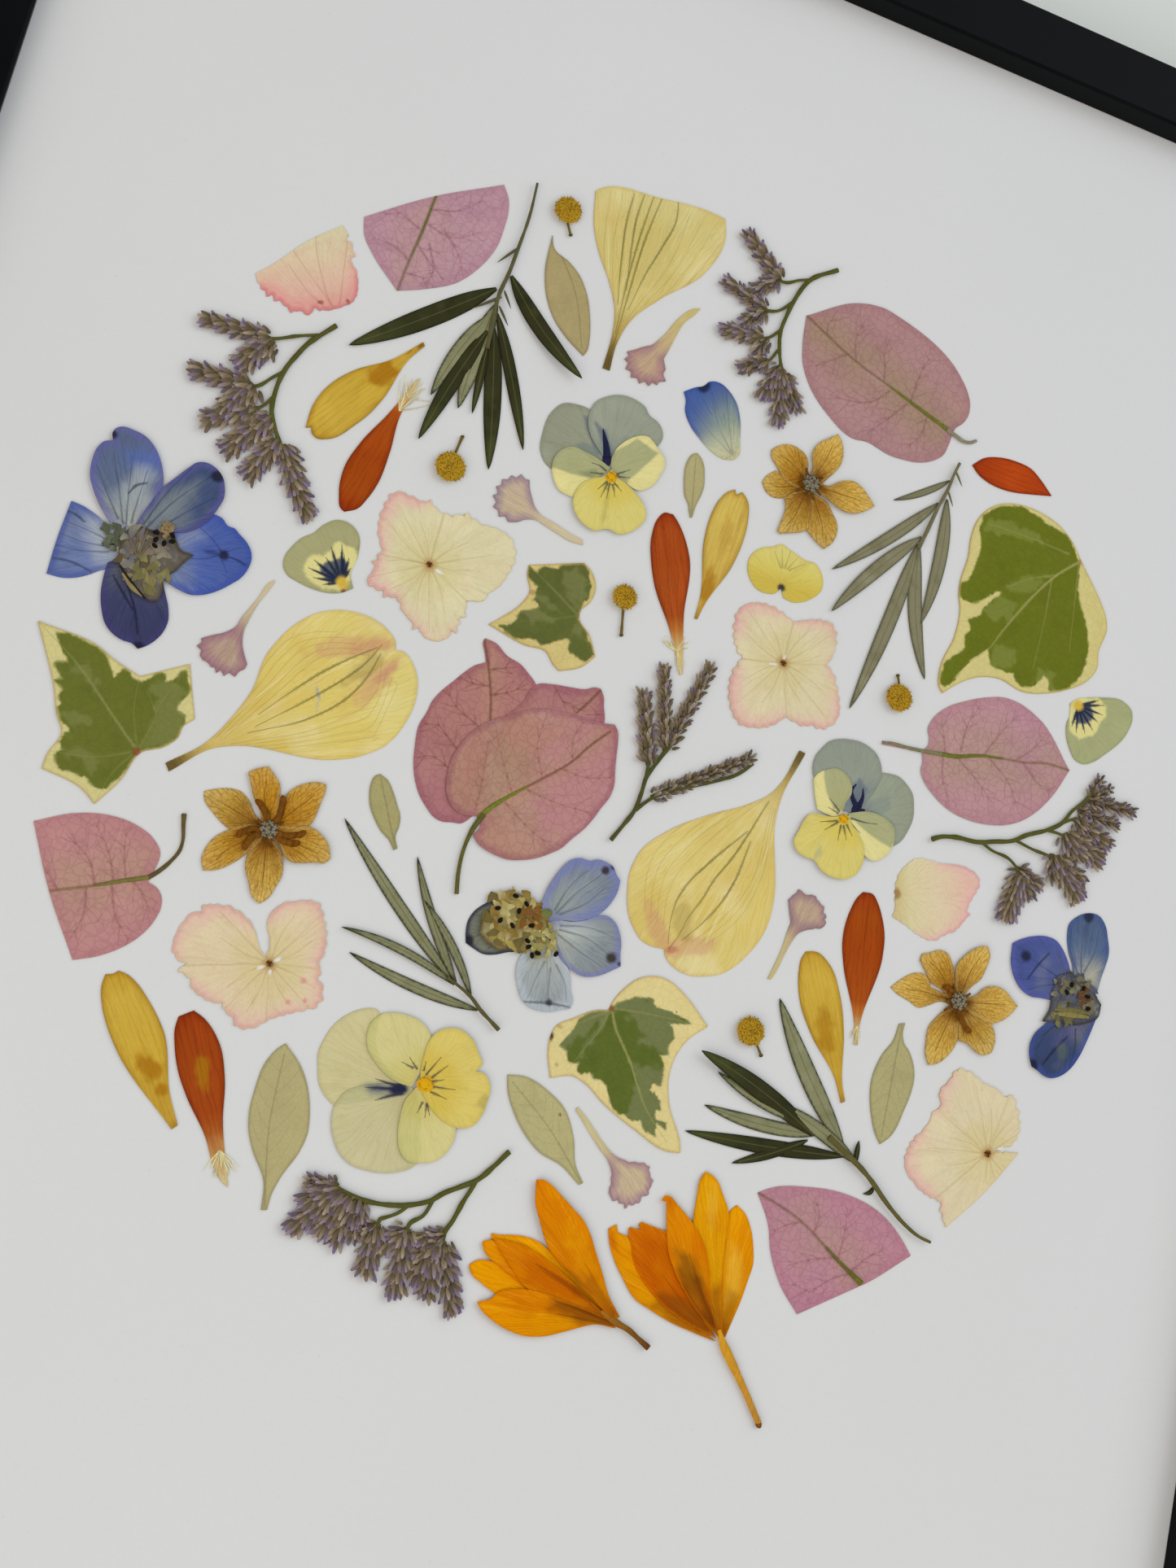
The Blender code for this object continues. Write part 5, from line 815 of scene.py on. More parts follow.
def bract(name, midrib, veins, base, tip, tone, near_rib, stalks=(), green=0.6, bare=()):
    """Mauve towards the edges, tan towards the midrib, with a green-olive midrib and reddish veins."""
    rib = rounded(midrib, 0.4, closed=False)
    small = veinlets(veins)

    def paint(s):
        gap, where = distance(s.xy, rib)
        s.mix(tone, 1.0)
        s.mix(near_rib, 0.85 * (1 - step_up(1.0, 10, gap)))
        s.mottle(tone * 1.15, 0.55, 7.0, 51, -0.1)
        s.mottle(tone * np.array([0.86, 0.78, 0.86]), 0.5, 5.0, 52, 0.0)
        s.mottle(tone * np.array([0.98, 0.88, 1.12]), 0.5, 12.0, 53, 0.0)
        s.margin(2.4, tone * np.array([0.9, 0.8, 0.88]), 0.55)
        s.lines(veins, near_rib, 0.7, 0.25, (1.0, 0.4))
        s.lines(small, tone * np.array([0.66, 0.5, 0.56]), 0.2, 0.5, (1.0, 0.5))
        s.lines(veins, tone * np.array([0.62, 0.46, 0.52]), 0.28, 0.62, (1.0, 0.4))
        s.lines([midrib], tone * np.array([0.5, 0.42, 0.32]), 0.36, 0.7, (1.0, 0.6))
        share = where / max(where.max(), 1)
        s.mix(RIB_GREEN, 0.9 * (1 - step_up(0.1, 0.5, gap)) * (
            0.3 + 0.7 * step_up(1 - green, 1.05 - green * 0.4, share)))

    one_sheet(name, paint, MAT_BRACT, base, tip, veins=[(0.2, midrib)], fine=veins + small,
              relief=dict(curl=0.3, ripple=0.16, rib=0.14), stalks=stalks, bare=bare)


bract("bract_top", pts(-65.7, 72.3, -65, 79, -64, 86, -63.2, 94.2),
      [pts(-64, 86, -69, 88, -72, 86.5), pts(-64.3, 83, -60, 79.5, -57, 77.5), pts(-64, 88, -58, 87, -53, 90),
       pts(-64.8, 79, -69, 81, -73, 81), pts(-63.6, 91, -58, 93, -54, 97),
       pts(-65, 76.5, -61, 76.5, -59, 75.6), pts(-60, 88, -56, 84, -54, 80), pts(-62, 84, -60, 78, -61, 75)],
      (-63.2, 96), (-65.7, 72.3), rgb(184, 144, 154), rgb(182, 144, 144), green=0.9)
bract("bract_upper_right", pts(17.3, 99, 30, 93.3, 40, 90.2, 50, 87, 53.3, 86.2),
      [pts(37, 91.3, 36.4, 95, 35.7, 97.3, 36.5, 101), pts(43.7, 89.3, 44.4, 94, 45, 97.3, 46, 100),
       pts(38.7, 89.7, 35.3, 86, 30, 84.3, 26, 84), pts(30, 93.3, 29, 98, 30, 102),
       pts(28, 94.2, 24, 91, 21.5, 89), pts(43, 88.4, 40, 84.3, 35.3, 78.3), pts(48, 87.4, 47.5, 83, 45, 79),
       pts(22.5, 96.6, 22.5, 99.5, 24, 101)], (55, 85.8), (17.3, 99), rgb(172, 132, 130), rgb(160, 132, 110),
      green=0.55, stalks=[(pts(39, 90.5, 47, 88, 53.3, 86), (0.4, 1.0), rgb(110, 112, 44), 0.2),
                          (pts(53, 86, 55.3, 85.3, 57.3, 84.8, 59, 85.2, 60, 86), (1.0, 0.6),
                           rgb(140, 134, 110), 0.35)], bare=pts(54.8, 85.4, 57.3, 84.8, 59, 85.2, 60, 86))
bract("bract_right", pts(94.8, 23.2, 89.3, 23, 84.3, 21.7, 79.3, 21, 74, 20, 68.7, 18.2, 65.3, 17.7),
      [pts(69, 18.3, 75, 14.3, 78.7, 11.3), pts(69.7, 19.4, 70.3, 26, 72, 30), pts(76, 20.4, 82, 16, 85, 11),
       pts(75, 20.4, 78, 26.5, 81, 31), pts(82, 21.4, 86, 25.5, 88, 29), pts(84, 21.6, 89, 18, 91.5, 17.4),
       pts(66.5, 18, 65, 22.5, 64, 25), pts(66, 17.6, 67, 12.5, 69, 9)], (61, 17), (94.8, 23.2),
      rgb(184, 140, 144), rgb(172, 142, 126), green=0.5,
      stalks=[(pts(65.3, 17.7, 68.7, 18.2, 74, 20, 79.3, 21), (1.0, 0.4), rgb(112, 112, 46), 0.2),
              (pts(52.3, 16.1, 54, 16.5, 57.3, 16.7, 61, 17, 65.5, 17.7), (0.5, 0.9), rgb(126, 122, 88),
               0.35)])
bract("bract_left", pts(-97.2, -58.3, -90, -55.2, -86, -53.3, -81.3, -51.2),
      [pts(-87, -53.7, -89.3, -48.7, -92.7, -44.7), pts(-85, -52.9, -86.7, -47.7, -87.3, -43.7),
       pts(-90, -55, -92, -51.3, -97.3, -47.7), pts(-87.3, -54, -84.7, -60, -81.3, -63.3),
       pts(-91.3, -56, -90.5, -60.7, -91.7, -66), pts(-96, -57.7, -98, -55.7, -100, -53.7),
       pts(-84, -52.4, -81.5, -54.4, -79.5, -57)], (-80.5, -50.6), (-98, -56.5), rgb(186, 134, 132),
      rgb(178, 140, 122), green=0.7,
      stalks=[(pts(-90, -55.2, -86, -53.3, -81.3, -51.2), (0.5, 0.9), rgb(120, 112, 60), 0.2),
              (pts(-81.3, -51.2, -80, -49.8, -78.3, -47.3, -77.3, -45, -77.3, -42.7, -77.8, -40.7,
                   -78.3, -38.4), (0.9, 0.65, 0.6, 0.95), rgb(98, 84, 48), 0.3)],
      bare=pts(-80.4, -50.2, -78.3, -47.3, -77.3, -45, -77.3, -42.7, -77.8, -40.7, -78.3, -38.4))
bract("bract_bottom", pts(45.1, -77.3, 50, -78.6, 54, -80, 57.2, -81.6, 62, -84.6, 66, -87, 69.7, -89),
      [pts(64, -85.6, 64.4, -80.4, 64, -76), pts(63.6, -85.4, 58, -87.2, 54, -89.2),
       pts(67.2, -87.6, 64, -89.2, 59.6, -93, 55.6, -92.2), pts(58, -82.1, 58.5, -78.5, 57, -75.5),
       pts(55, -80.6, 52, -82, 49.8, -83.6), pts(67, -87.4, 70.5, -83.5, 73.5, -81.5)], (70, -89.2),
      (45.1, -77.3), rgb(184, 132, 144), rgb(176, 138, 130), green=0.55,
      stalks=[(pts(61, -84, 64, -85.8, 67, -87.5, 69.7, -89), (0.25, 0.4, 0.7, 1.25), rgb(104, 104, 38),
               0.4)])

# ---- rays
AMBER = rgb(166, 112, 14)
TUFT = rgb(222, 212, 164)


def ray(name, base, tip, stops, dark, spots, material=MAT_RAY_YELLOW, tufts=(), seed=1):
    """A narrow petal; tufts are (x, y, count, length, heading, spread) of its hairs."""
    def paint(s):
        s.gradient(stops)
        s.mottle(stops[-2][1] * 1.15, 0.5, 5.0, 60 + seed, -0.1)
        s.streaks(dark, 0.4, 0.35, 61 + seed, 14.0)
        body = step_up(0.2, 0.45, s.along)
        s.margin(1.1, dark, 0.35 * body, 0.3)
        s.margin(0.35, dark * 0.75, 0.5 * body, 0.3)
        for spot in spots:
            s.spot(*spot, ragged=0.35)

    def extras(piece):
        for x, y, count, length, heading, spread in tufts:
            hairs(piece, x, y, count, length, heading, spread, TUFT, seed)

    one_sheet(name, paint, material, base, tip, straight=True, extras=extras,
              relief=dict(curl=0.5, ripple=0.12, seed=seed, streak=0.06), thickness=0.1)


YELLOW_STOPS = [(0, rgb(150, 112, 40)), (0.06, rgb(186, 146, 50)), (0.4, rgb(196, 160, 54)),
                (0.85, rgb(204, 170, 66)), (1, rgb(192, 152, 48))]
DARK_YELLOW = rgb(158, 112, 22)
ray("ray_yellow_1", (-58.5, 63.7), (-75, 39), YELLOW_STOPS, DARK_YELLOW,
    [(-64.3, 55, 4.0, AMBER, 0.9, 2.6, 50), (-58.6, 63, 0.9, rgb(110, 70, 20), 0.8, 0.35, 55),
     (-60.4, 61, 1.0, rgb(130, 84, 20), 0.6, 0.3, 60)])
ray("ray_yellow_2", (8.1, 28.3), (11, 57),
    [(0, rgb(160, 120, 50)), (0.1, rgb(196, 160, 70)), (0.5, rgb(206, 176, 84)), (0.9, rgb(208, 180, 88)),
     (1, rgb(198, 164, 70))], DARK_YELLOW,
    [(9, 35, 1.8, AMBER, 0.8, 5, 0), (10.5, 47, 1.6, AMBER, 0.3, 6, 0)], seed=2)
ray("ray_yellow_3", (-65.3, -92.4), (-82.5, -69.5), YELLOW_STOPS, DARK_YELLOW,
    [(-69.4, -86.6, 1.6, AMBER, 0.85), (-72.4, -83.4, 3.4, AMBER, 0.85, 2.2, 130)], seed=3)
ray("ray_yellow_4", (58.8, -56.2), (46, -29.5), YELLOW_STOPS, DARK_YELLOW,
    [(52.3, -43.6, 2.4, AMBER, 0.65, 6, 20)], seed=4)
RED_STOPS = [(0, rgb(206, 192, 142)), (0.12, rgb(204, 176, 116)), (0.2, rgb(188, 116, 48)),
             (0.28, rgb(168, 78, 20)), (0.6, rgb(158, 66, 12)), (0.85, rgb(162, 72, 14)),
             (1, rgb(150, 52, 8))]
DARK_RED = rgb(118, 34, 4)
ray("ray_red_1", (-57.1, 56.5), (-65.2, 26.4), RED_STOPS, DARK_RED, (), MAT_RAY_RED,
    [(-59.4, 48.8, 13, 6.6, 74, 24), (-58.4, 52, 9, 4.6, 70, 44)], 5)
ray("ray_red_2", (7.7, 16.4), (-3, 47),
    [(0, rgb(208, 194, 146)), (0.14, rgb(206, 180, 116)), (0.27, rgb(188, 116, 52)), (0.36, rgb(170, 82, 28)),
     (0.7, rgb(164, 72, 22)), (0.9, rgb(168, 74, 24)), (1, rgb(156, 56, 14))], DARK_RED, (), MAT_RAY_RED,
    [(5.5, 20.6, 7, 3.8, 150, 24), (5.7, 20.6, 7, 3.6, 62, 26), (5.8, 20.4, 10, 4.2, -64, 18)], 6)
ray("ray_red_3", (-53.8, -100), (-68.5, -72.4), [(0, rgb(208, 192, 146)), (0.18, rgb(200, 166, 100)),
                                               (0.3, rgb(172, 96, 40)), (0.42, rgb(160, 70, 20)),
                                               (0.85, rgb(156, 66, 16)), (1, rgb(150, 54, 12))],
    DARK_RED, [(-63.2, -82, 1.6, rgb(166, 108, 14), 0.9, 4.2, 20)], MAT_RAY_RED,
    [(-56.6, -94.4, 18, 5.0, -68, 40)], 7)
ray("ray_red_4", (59.1, -44.7), (55.6, -14.6), RED_STOPS, DARK_RED, (), MAT_RAY_RED,
    [(58.8, -41, 12, 3.6, -90, 26)], 8)


def paint_red_petal(s):
    s.gradient([(0, rgb(158, 52, 10)), (0.5, rgb(184, 72, 16)), (1, rgb(168, 58, 14))])
    s.streaks(DARK_RED, 0.4, 0.35, 63)
    s.margin(0.7, DARK_RED, 0.55)


one_sheet("red_petal", paint_red_petal, MAT_RAY_RED, (60.3, 80.5), (79.5, 80.2), straight=True,
          outline=pts(60.2, 80.5, 62.7, 83, 66, 84.3, 70, 84.8, 74, 84.3, 76.1, 83, 79.5, 80.2, 74, 78.7,
                      72, 78.2, 68, 77.7, 64.7, 78, 62, 79), relief=dict(curl=0.5, streak=0.07))

# ---- the large yellow petals
PINK_BLUSH = rgb(200, 142, 108)
OLIVE_VEIN = rgb(112, 104, 44)


def yellow(name, base, tip, veins, minor, blushes, stops, stalk, painted_sheen=0.3):
    """veins are the main dark lines, minor fainter ones; blushes are soft spots; the last argument is how
    much of a pale mottle is painted in as a pearly sheen.
    """
    def paint(s):
        s.gradient(stops)
        s.mottle(rgb(226, 214, 152), 0.55, 9.0, 71, -0.1)
        s.mottle(rgb(204, 170, 78), 0.45, 7.0, 72, 0.0)
        # The pale streaks and the pale mottle below are a painted pearly sheen.
        s.streaks(rgb(234, 222, 172), 0.5, 0.6, 73, 22.0)
        s.mottle(rgb(238, 230, 190), painted_sheen, 6.0, 74, -0.1, 1.1)
        for blush in blushes:
            s.spot(*blush, ragged=0.3)
        s.margin(0.7, rgb(204, 172, 92), 0.4)
        foot = 1 - step_up(stalk * 0.3, stalk, s.along)
        s.mix(rgb(150, 126, 58), 0.55 * foot)
        s.mix(rgb(92, 74, 34), 0.8 * (1 - step_up(stalk * 0.12, stalk * 0.6, s.along)))
        s.streaks(rgb(92, 78, 34), 0.7, 0.3, 75, 12.0, where=foot)
        s.lines(minor, OLIVE_VEIN, 0.17, 0.3, (0.3, 1.0, 0.6, 0.1))
        s.lines(veins, OLIVE_VEIN, 0.27, 0.8, (0.6, 1.0, 0.8, 0.3))

    one_sheet(name, paint, MAT_YELLOW, base, tip, fine=veins + minor,
              relief=dict(curl=0.4, ripple=0.2, streak=0.07, ripple_size=10.0), thickness=0.1)


def between(a, b, shares):
    """Lines in between two lines."""
    a, b = (rounded(line, 1.0, closed=False) for line in (a, b))
    a, b = (line[np.linspace(0, len(line) - 1, 8).astype(int)] for line in (a, b))
    return [a * (1 - t) + b * t for t in shares]


yellow("petal_yellow_top", (-21.4, 72), (-18, 112),
       [pts(-18.5, 112, -20, 101.3, -20.7, 88.7, -21.3, 76),
        pts(-15, 112.7, -14.5, 108.7, -16, 102, -18, 95.3, -20, 86),
        pts(-22.3, 111, -22.7, 105.3, -22.3, 98.7, -21.3, 90),
        pts(-24.4, 110.4, -24.6, 104, -23.8, 96, -22.4, 86),
        pts(-20.3, 111.4, -21, 104, -21.5, 94, -21.5, 80)],
       between(pts(-22.5, 110, -23, 100, -21.5, 84), pts(-31, 109, -29, 96, -22.5, 80), (0.2, 0.5, 0.8))
       + between(pts(-14, 111, -14.5, 102, -20, 84), pts(-1, 106, -7, 95, -19.5, 80),
                 (0.15, 0.35, 0.55, 0.75, 0.95)),
       [(-19, 104, 7, rgb(196, 180, 104), 0.45, 16, 0), (-21.3, 74, 1.6, rgb(92, 78, 22), 0.8, 7, 0)],
       [(0, rgb(96, 80, 26)), (0.08, rgb(140, 116, 48)), (0.2, rgb(190, 166, 92)), (0.45, rgb(208, 188, 112)),
        (0.8, rgb(208, 190, 118)), (1, rgb(210, 196, 130))], 0.34, 0.15)
yellow("petal_yellow_left", (-83.2, -31), (-48, -1),
       [pts(-51.3, 3.0, -53.5, -1.4, -57.6, -6.6, -62, -11.2, -70, -19),
        pts(-51, 1.5, -52.3, -3.4, -55, -8.6, -60.7, -14.4, -71, -20.6),
        pts(-52, 2.4, -56.6, -1.4, -60.7, -5.3, -64.6, -9.8, -70, -16.6)],
       between(pts(-53, 0.5, -60, -1.5, -68, -12, -75, -23), pts(-60, 3, -67, 0, -73, -12, -78, -24),
               (0.0, 0.25, 0.5, 0.75, 1.0))
       + between(pts(-51.2, 0.5, -50.3, -6, -58, -14.5, -73, -23),
                 pts(-46, -4, -48, -15, -60, -20, -76, -26.5), (0.15, 0.4, 0.65, 0.9)),
       [(-57, 1.2, 9, PINK_BLUSH, 0.5, 2.4, 24), (-53, 2.2, 6, PINK_BLUSH, 0.5, 1.6, 24),
        (-50.6, -4, 8.5, PINK_BLUSH, 0.5, 2.6, 62), (-49.4, -2, 5, rgb(196, 132, 108), 0.5, 1.2, 60),
        (-53, -2, 6, rgb(160, 132, 66), 0.5, 2.0, 50),
        (-60.5, -9.5, 1.8, rgb(160, 166, 160), 0.75, 0.35, -60),
        (-60, -12, 1.4, rgb(170, 172, 160), 0.6, 0.3, -80)],
       [(0, rgb(112, 96, 46)), (0.06, rgb(158, 132, 66)), (0.2, rgb(206, 180, 98)), (0.5, rgb(216, 192, 100)),
        (0.8, rgb(220, 200, 112)), (1, rgb(218, 202, 120))], 0.2)
yellow("petal_yellow_centre", (35.8, 9), (17, -38),
       [pts(31, -3, 25.7, -16.7, 23.3, -21.3, 21.7, -25.7, 19.7, -30, 18.5, -34, 17.3, -36.7),
        pts(28, -10, 21.3, -18.7, 18.3, -23.3, 16.7, -27.3, 16.3, -31.3, 16.8, -36),
        pts(29, -12, 27.3, -21, 25.3, -26, 22.7, -30.3, 19.3, -34.7)],
       between(pts(30, -3, 19, -18, 15.5, -25, 15.6, -33), pts(27, -2, 12, -14, 8.6, -22, 10, -31),
               (0.1, 0.35, 0.6, 0.85))
       + between(pts(31.5, -4, 29.5, -22, 25, -29, 20.5, -34.5), pts(33, -4, 33, -20, 31, -27, 25.5, -34),
                 (0.2, 0.5, 0.8)),
       [(14.2, -34, 7.0, PINK_BLUSH, 0.5, 2.2, -52), (21, -35.4, 6.4, PINK_BLUSH, 0.5, 2.2, 20),
        (17.6, -37, 2.0, rgb(180, 100, 84), 0.6, 0.8, 20), (19, -31, 2.6, rgb(160, 132, 64), 0.4, 5, 20)],
       [(0, rgb(120, 98, 46)), (0.08, rgb(172, 146, 78)), (0.3, rgb(212, 190, 108)),
        (0.7, rgb(216, 194, 110)), (1, rgb(212, 190, 108))], 0.24, 0.45)


# ---- olive leaves
def olive(name, base, tip, outline=None, tone=rgb(176, 166, 118), bend=0.0, sides=0.5, dark=()):
    """A leaf with a midrib and six branches on each side; sides is how strongly those are drawn."""
    base, tip = np.array(base), np.array(tip)
    axis = tip - base
    side = np.array([-axis[1], axis[0]]) / np.hypot(*axis)
    line = [base + axis * 0.02, base + axis * 0.5 + side * bend, base + axis * 0.93]
    branches = []
    for i, share in enumerate((0.2, 0.32, 0.44, 0.56, 0.68, 0.8)):
        foot = base + axis * share + side * bend * (1 - abs(share - 0.5) * 2)
        for way in (-1, 1):
            reach = 0.13 * np.hypot(*axis) * way * (1 + 0.2 * math.sin(5 * i + way))
            branches.append([foot + axis * 0.01 * (2 + way), foot + axis * 0.1 + side * reach * 0.6,
                             foot + axis * 0.19 + side * reach])

    def paint(s):
        s.mix(tone, 1.0)
        s.mottle(tone * 1.12, 0.5, 5.0, 81)
        s.mottle(tone * 0.8, 0.4, 3.0, 82, 0.1)
        s.margin(0.5, tone * 0.66, 0.7)
        s.lines(branches, tone * 0.72, 0.16, sides, (1.0, 0.4))
        s.lines([line], tone * 0.62, 0.28, 0.8, (1.0, 0.5))
        for spot in dark:
            s.spot(*spot)

    one_sheet(name, paint, MAT_OLIVE, base, tip, outline=outline, veins=[(0.2, line)],
              fine=branches, relief=dict(curl=0.35, ripple=0.12, rib=0.13), thickness=0.12)


olive("leaf_olive_1", (-38.6, 95.3), (-26.6, 73), bend=1.6, tone=rgb(170, 154, 108), sides=0.2,
      dark=[(-39.6, 84, 0.8, rgb(110, 100, 56), 0.6, 6, 8)])
olive("leaf_olive_2", (-46.3, -102.5), (-50, -73.3), bend=1.0)
olive("leaf_olive_3", (10.4, -84.2), (-8.4, -68.2), bend=-0.8, tone=rgb(180, 172, 122),
      dark=[(3.2, -72.8, 0.35, rgb(60, 50, 30), 0.9)])
olive("leaf_olive_4", (68.1, -38), (68.2, -62.2), tone=rgb(172, 164, 116))
olive("small_olive_1", (2.5, 48.2), (0.6, 61.6),
      pts(2.3, 48.1, 1.8, 49.3, 1.3, 50.7, 0.3, 52, -0.3, 53.7, -0.8, 56, -1, 58, -0.7, 60, 0, 61.3,
          0.8, 61.7, 1.8, 61, 2.7, 59.7, 3.3, 57.7, 3.7, 55.3, 3.5, 53.3, 3, 51.3, 2.8, 49.7, 2.7, 48.3),
      sides=0.2)
olive("small_olive_2", (-39.2, -33.6), (-45.5, -20.8),
      pts(-45.5, -20.7, -44, -21.3, -42.3, -23.2, -41, -25.3, -39.8, -27.5, -39.6, -29.3, -39.8, -31.3,
          -38.9, -33.3, -39.5, -33.8, -40.7, -32.3, -42.7, -31, -44.3, -29.3, -45.7, -27.3, -46.5, -25,
          -46.7, -23, -46.3, -21.3), sides=0.3, tone=rgb(166, 158, 108))


# ---- ivy
def ivy(name, base, tip, veins, green, greys, spots, cream, tone, grey,
        ragged=0.35, vein_tone=rgb(162, 158, 96)):
    """Cream with a ragged green core and grey-green patches over it."""
    def paint(s):
        s.mix(cream, 1.0)
        s.mottle(cream * 1.12, 0.5, 5.0, 91)
        s.mottle(cream * np.array([0.9, 0.82, 0.66]), 0.35, 3.0, 92, 0.1)
        s.patch(green, grey * 1.06, 0.9, ragged * 1.6, 1.6, 0.25, 93)
        s.patch(green, tone, 1.0, ragged * 1.5, 1.3, 0.15, 94)
        before = s.colour.copy()
        s.mottle(tone * 0.78, 0.55, 3.6, 95, 0.0)
        s.mottle(tone * 1.3, 0.35, 2.2, 96, 0.15)
        for line in greys:
            s.patch(line, grey, 0.6, 1.3, 1.5, 0.5, 97)
        on_cream = (before[:, 2:] > 0.5 * (cream[2] + grey[2])).astype(float)
        s.colour = s.colour * (1 - on_cream) + before * on_cream
        s.margin(0.4, cream * np.array([0.8, 0.66, 0.5]), 0.75)
        s.lines(veins[:1], vein_tone, 0.3, 0.6, (1.2, 0.8, 0.2))
        s.lines(veins[1:], vein_tone, 0.24, 0.35, (1.0, 0.6, 0.1))
        for spot in spots:
            s.spot(*spot)

    one_sheet(name, paint, MAT_IVY, base, tip, fine=veins,
              relief=dict(curl=0.45, ripple=0.22, rib=0.1), thickness=0.12)


RED_BROWN = rgb(130, 70, 40)
ivy("ivy_right", (89, 68.2), (63.5, 33.5),
    [pts(88.8, 68.3, 84, 63.5, 80, 58, 77, 53, 74, 47.5, 71.5, 42.5, 68, 38.5, 65, 34),
     pts(86, 69, 78, 69.4, 66, 69.2), pts(84, 63.5, 78, 60.6, 73, 57), pts(88.6, 67.6, 89.3, 58, 90, 48),
     pts(83, 62, 83, 52, 82.4, 42)],
    pts(88.3, 68.4, 87, 70, 85.5, 72.2, 83, 73.3, 80, 73.8, 77, 74.8, 73.5, 75.3, 70, 74.5, 67, 72.8,
        65.3, 70.8, 64.6, 68, 65.2, 65.5, 65.6, 63, 65.3, 60, 64.8, 57.5, 64.5, 55.5, 62.5, 54.5, 62.3, 52.8,
        63.5, 51.3, 65.5, 51, 67.5, 52, 69.3, 53.5, 71, 55.5, 72.5, 55.8, 70.5, 53.5, 69, 51, 68.3, 49,
        66, 47.5, 66.7, 45.5, 65.8, 43.5, 66.5, 41.5, 65, 39.5, 62.8, 37.3, 62, 34.5, 62.5, 32, 63.5, 31.6,
        65, 33.5, 66.8, 37, 69.3, 40.5, 71.5, 43.2, 72, 41.5, 72.8, 39.5, 76, 39.2, 78.2, 39.5, 79, 38,
        80.7, 37.4, 82.3, 37.6, 84, 39.5, 85, 41.7, 86.5, 40.5, 87, 38.5, 89, 39, 91.5, 40.8, 93.3, 43.5,
        94.2, 47, 94.2, 50, 93.3, 53.5, 92, 56.5, 90.5, 59, 89.7, 61.5, 89, 65),
    [pts(82, 62.5, 77, 60.8, 73, 57.5, 74, 56.4, 77.5, 57.6, 79.5, 58.5),
     pts(71.5, 54.8, 76, 53.6, 75, 50.5, 71, 49, 69, 50.5),
     pts(66, 70.6, 72, 71, 80, 70.4, 80, 68.6, 72, 68.4, 65.4, 67), pts(73, 44, 78, 44.5, 77.6, 40.4, 73, 40),
     pts(83.5, 42.4, 87.5, 42.4, 87.6, 38.8, 83.5, 39)], [(88.9, 68.2, 0.9, rgb(160, 130, 80), 0.8)],
    cream=rgb(206, 194, 128), tone=rgb(102, 110, 28), grey=rgb(128, 136, 64), vein_tone=rgb(168, 164, 100))
ivy("ivy_left", (-89.3, -29.8), (-92.5, -16.5),
    [pts(-89.3, -29.8, -95, -25, -99, -21.5, -103.5, -17.8, -112, -12.5),
     pts(-89.3, -29.8, -92, -22, -92.5, -17), pts(-89.3, -29.8, -88, -24, -87.6, -20, -86, -16, -84.8, -12.5),
     pts(-88, -22, -90.5, -18.6), pts(-89.3, -29.8, -92.5, -35, -93.9, -40.8),
     pts(-89.3, -29.8, -96, -33, -104, -34.4)],
    pts(-109, -13.2, -106, -13, -103, -13.2, -100.5, -14, -98.8, -15.2, -97.5, -17, -96.8, -18, -95.6, -16.2,
        -94.5, -16.3, -93.5, -17.2, -91.8, -17.5, -90.5, -16, -89.8, -15, -88.2, -14.8, -87.8, -16,
        -86.5, -15.5, -85.8, -13.3, -84.8, -13, -84.3, -14.5, -83.2, -16, -83.3, -17.3, -84.4, -19,
        -84.6, -20.5, -83, -21, -82.6, -22.5, -82.9, -25, -85, -27.5, -88, -29.2, -89.4, -29.8, -89.6, -32,
        -91, -35, -92.5, -37.5, -94, -38.6, -95.5, -38, -97, -36.6, -97.5, -37.2, -99, -36.8, -101, -37,
        -102.3, -36, -103, -34.8, -102, -33.5, -102.8, -32, -102.5, -30.5, -101.5, -30, -102.3, -29,
        -103.5, -28.5, -105, -26.5, -104.5, -25.7, -105.3, -24, -105, -23, -106.5, -21.8, -105.5, -21,
        -107.5, -19, -107, -18.2, -105, -18, -105.8, -17, -107.7, -15),
    [pts(-88.8, -16, -86, -16, -83.5, -17.5, -84.5, -20, -83, -21.5, -83, -25, -85, -27.3, -89.2, -29.7,
         -88.3, -25, -88, -21, -90, -18), pts(-104, -17.2, -101, -18, -98.4, -22, -101, -20.6, -104.5, -19),
     pts(-103.4, -27.4, -101, -26, -98.4, -27.2, -100.5, -29),
     pts(-102.6, -33, -97, -32.6, -94.6, -33.4, -96, -36.4, -97.6, -34.4, -101.4, -34)],
    [(-89.4, -30, 1.0, RED_BROWN, 0.85)], cream=rgb(206, 196, 134), tone=rgb(102, 108, 42),
    grey=rgb(124, 128, 72), vein_tone=rgb(140, 142, 84))
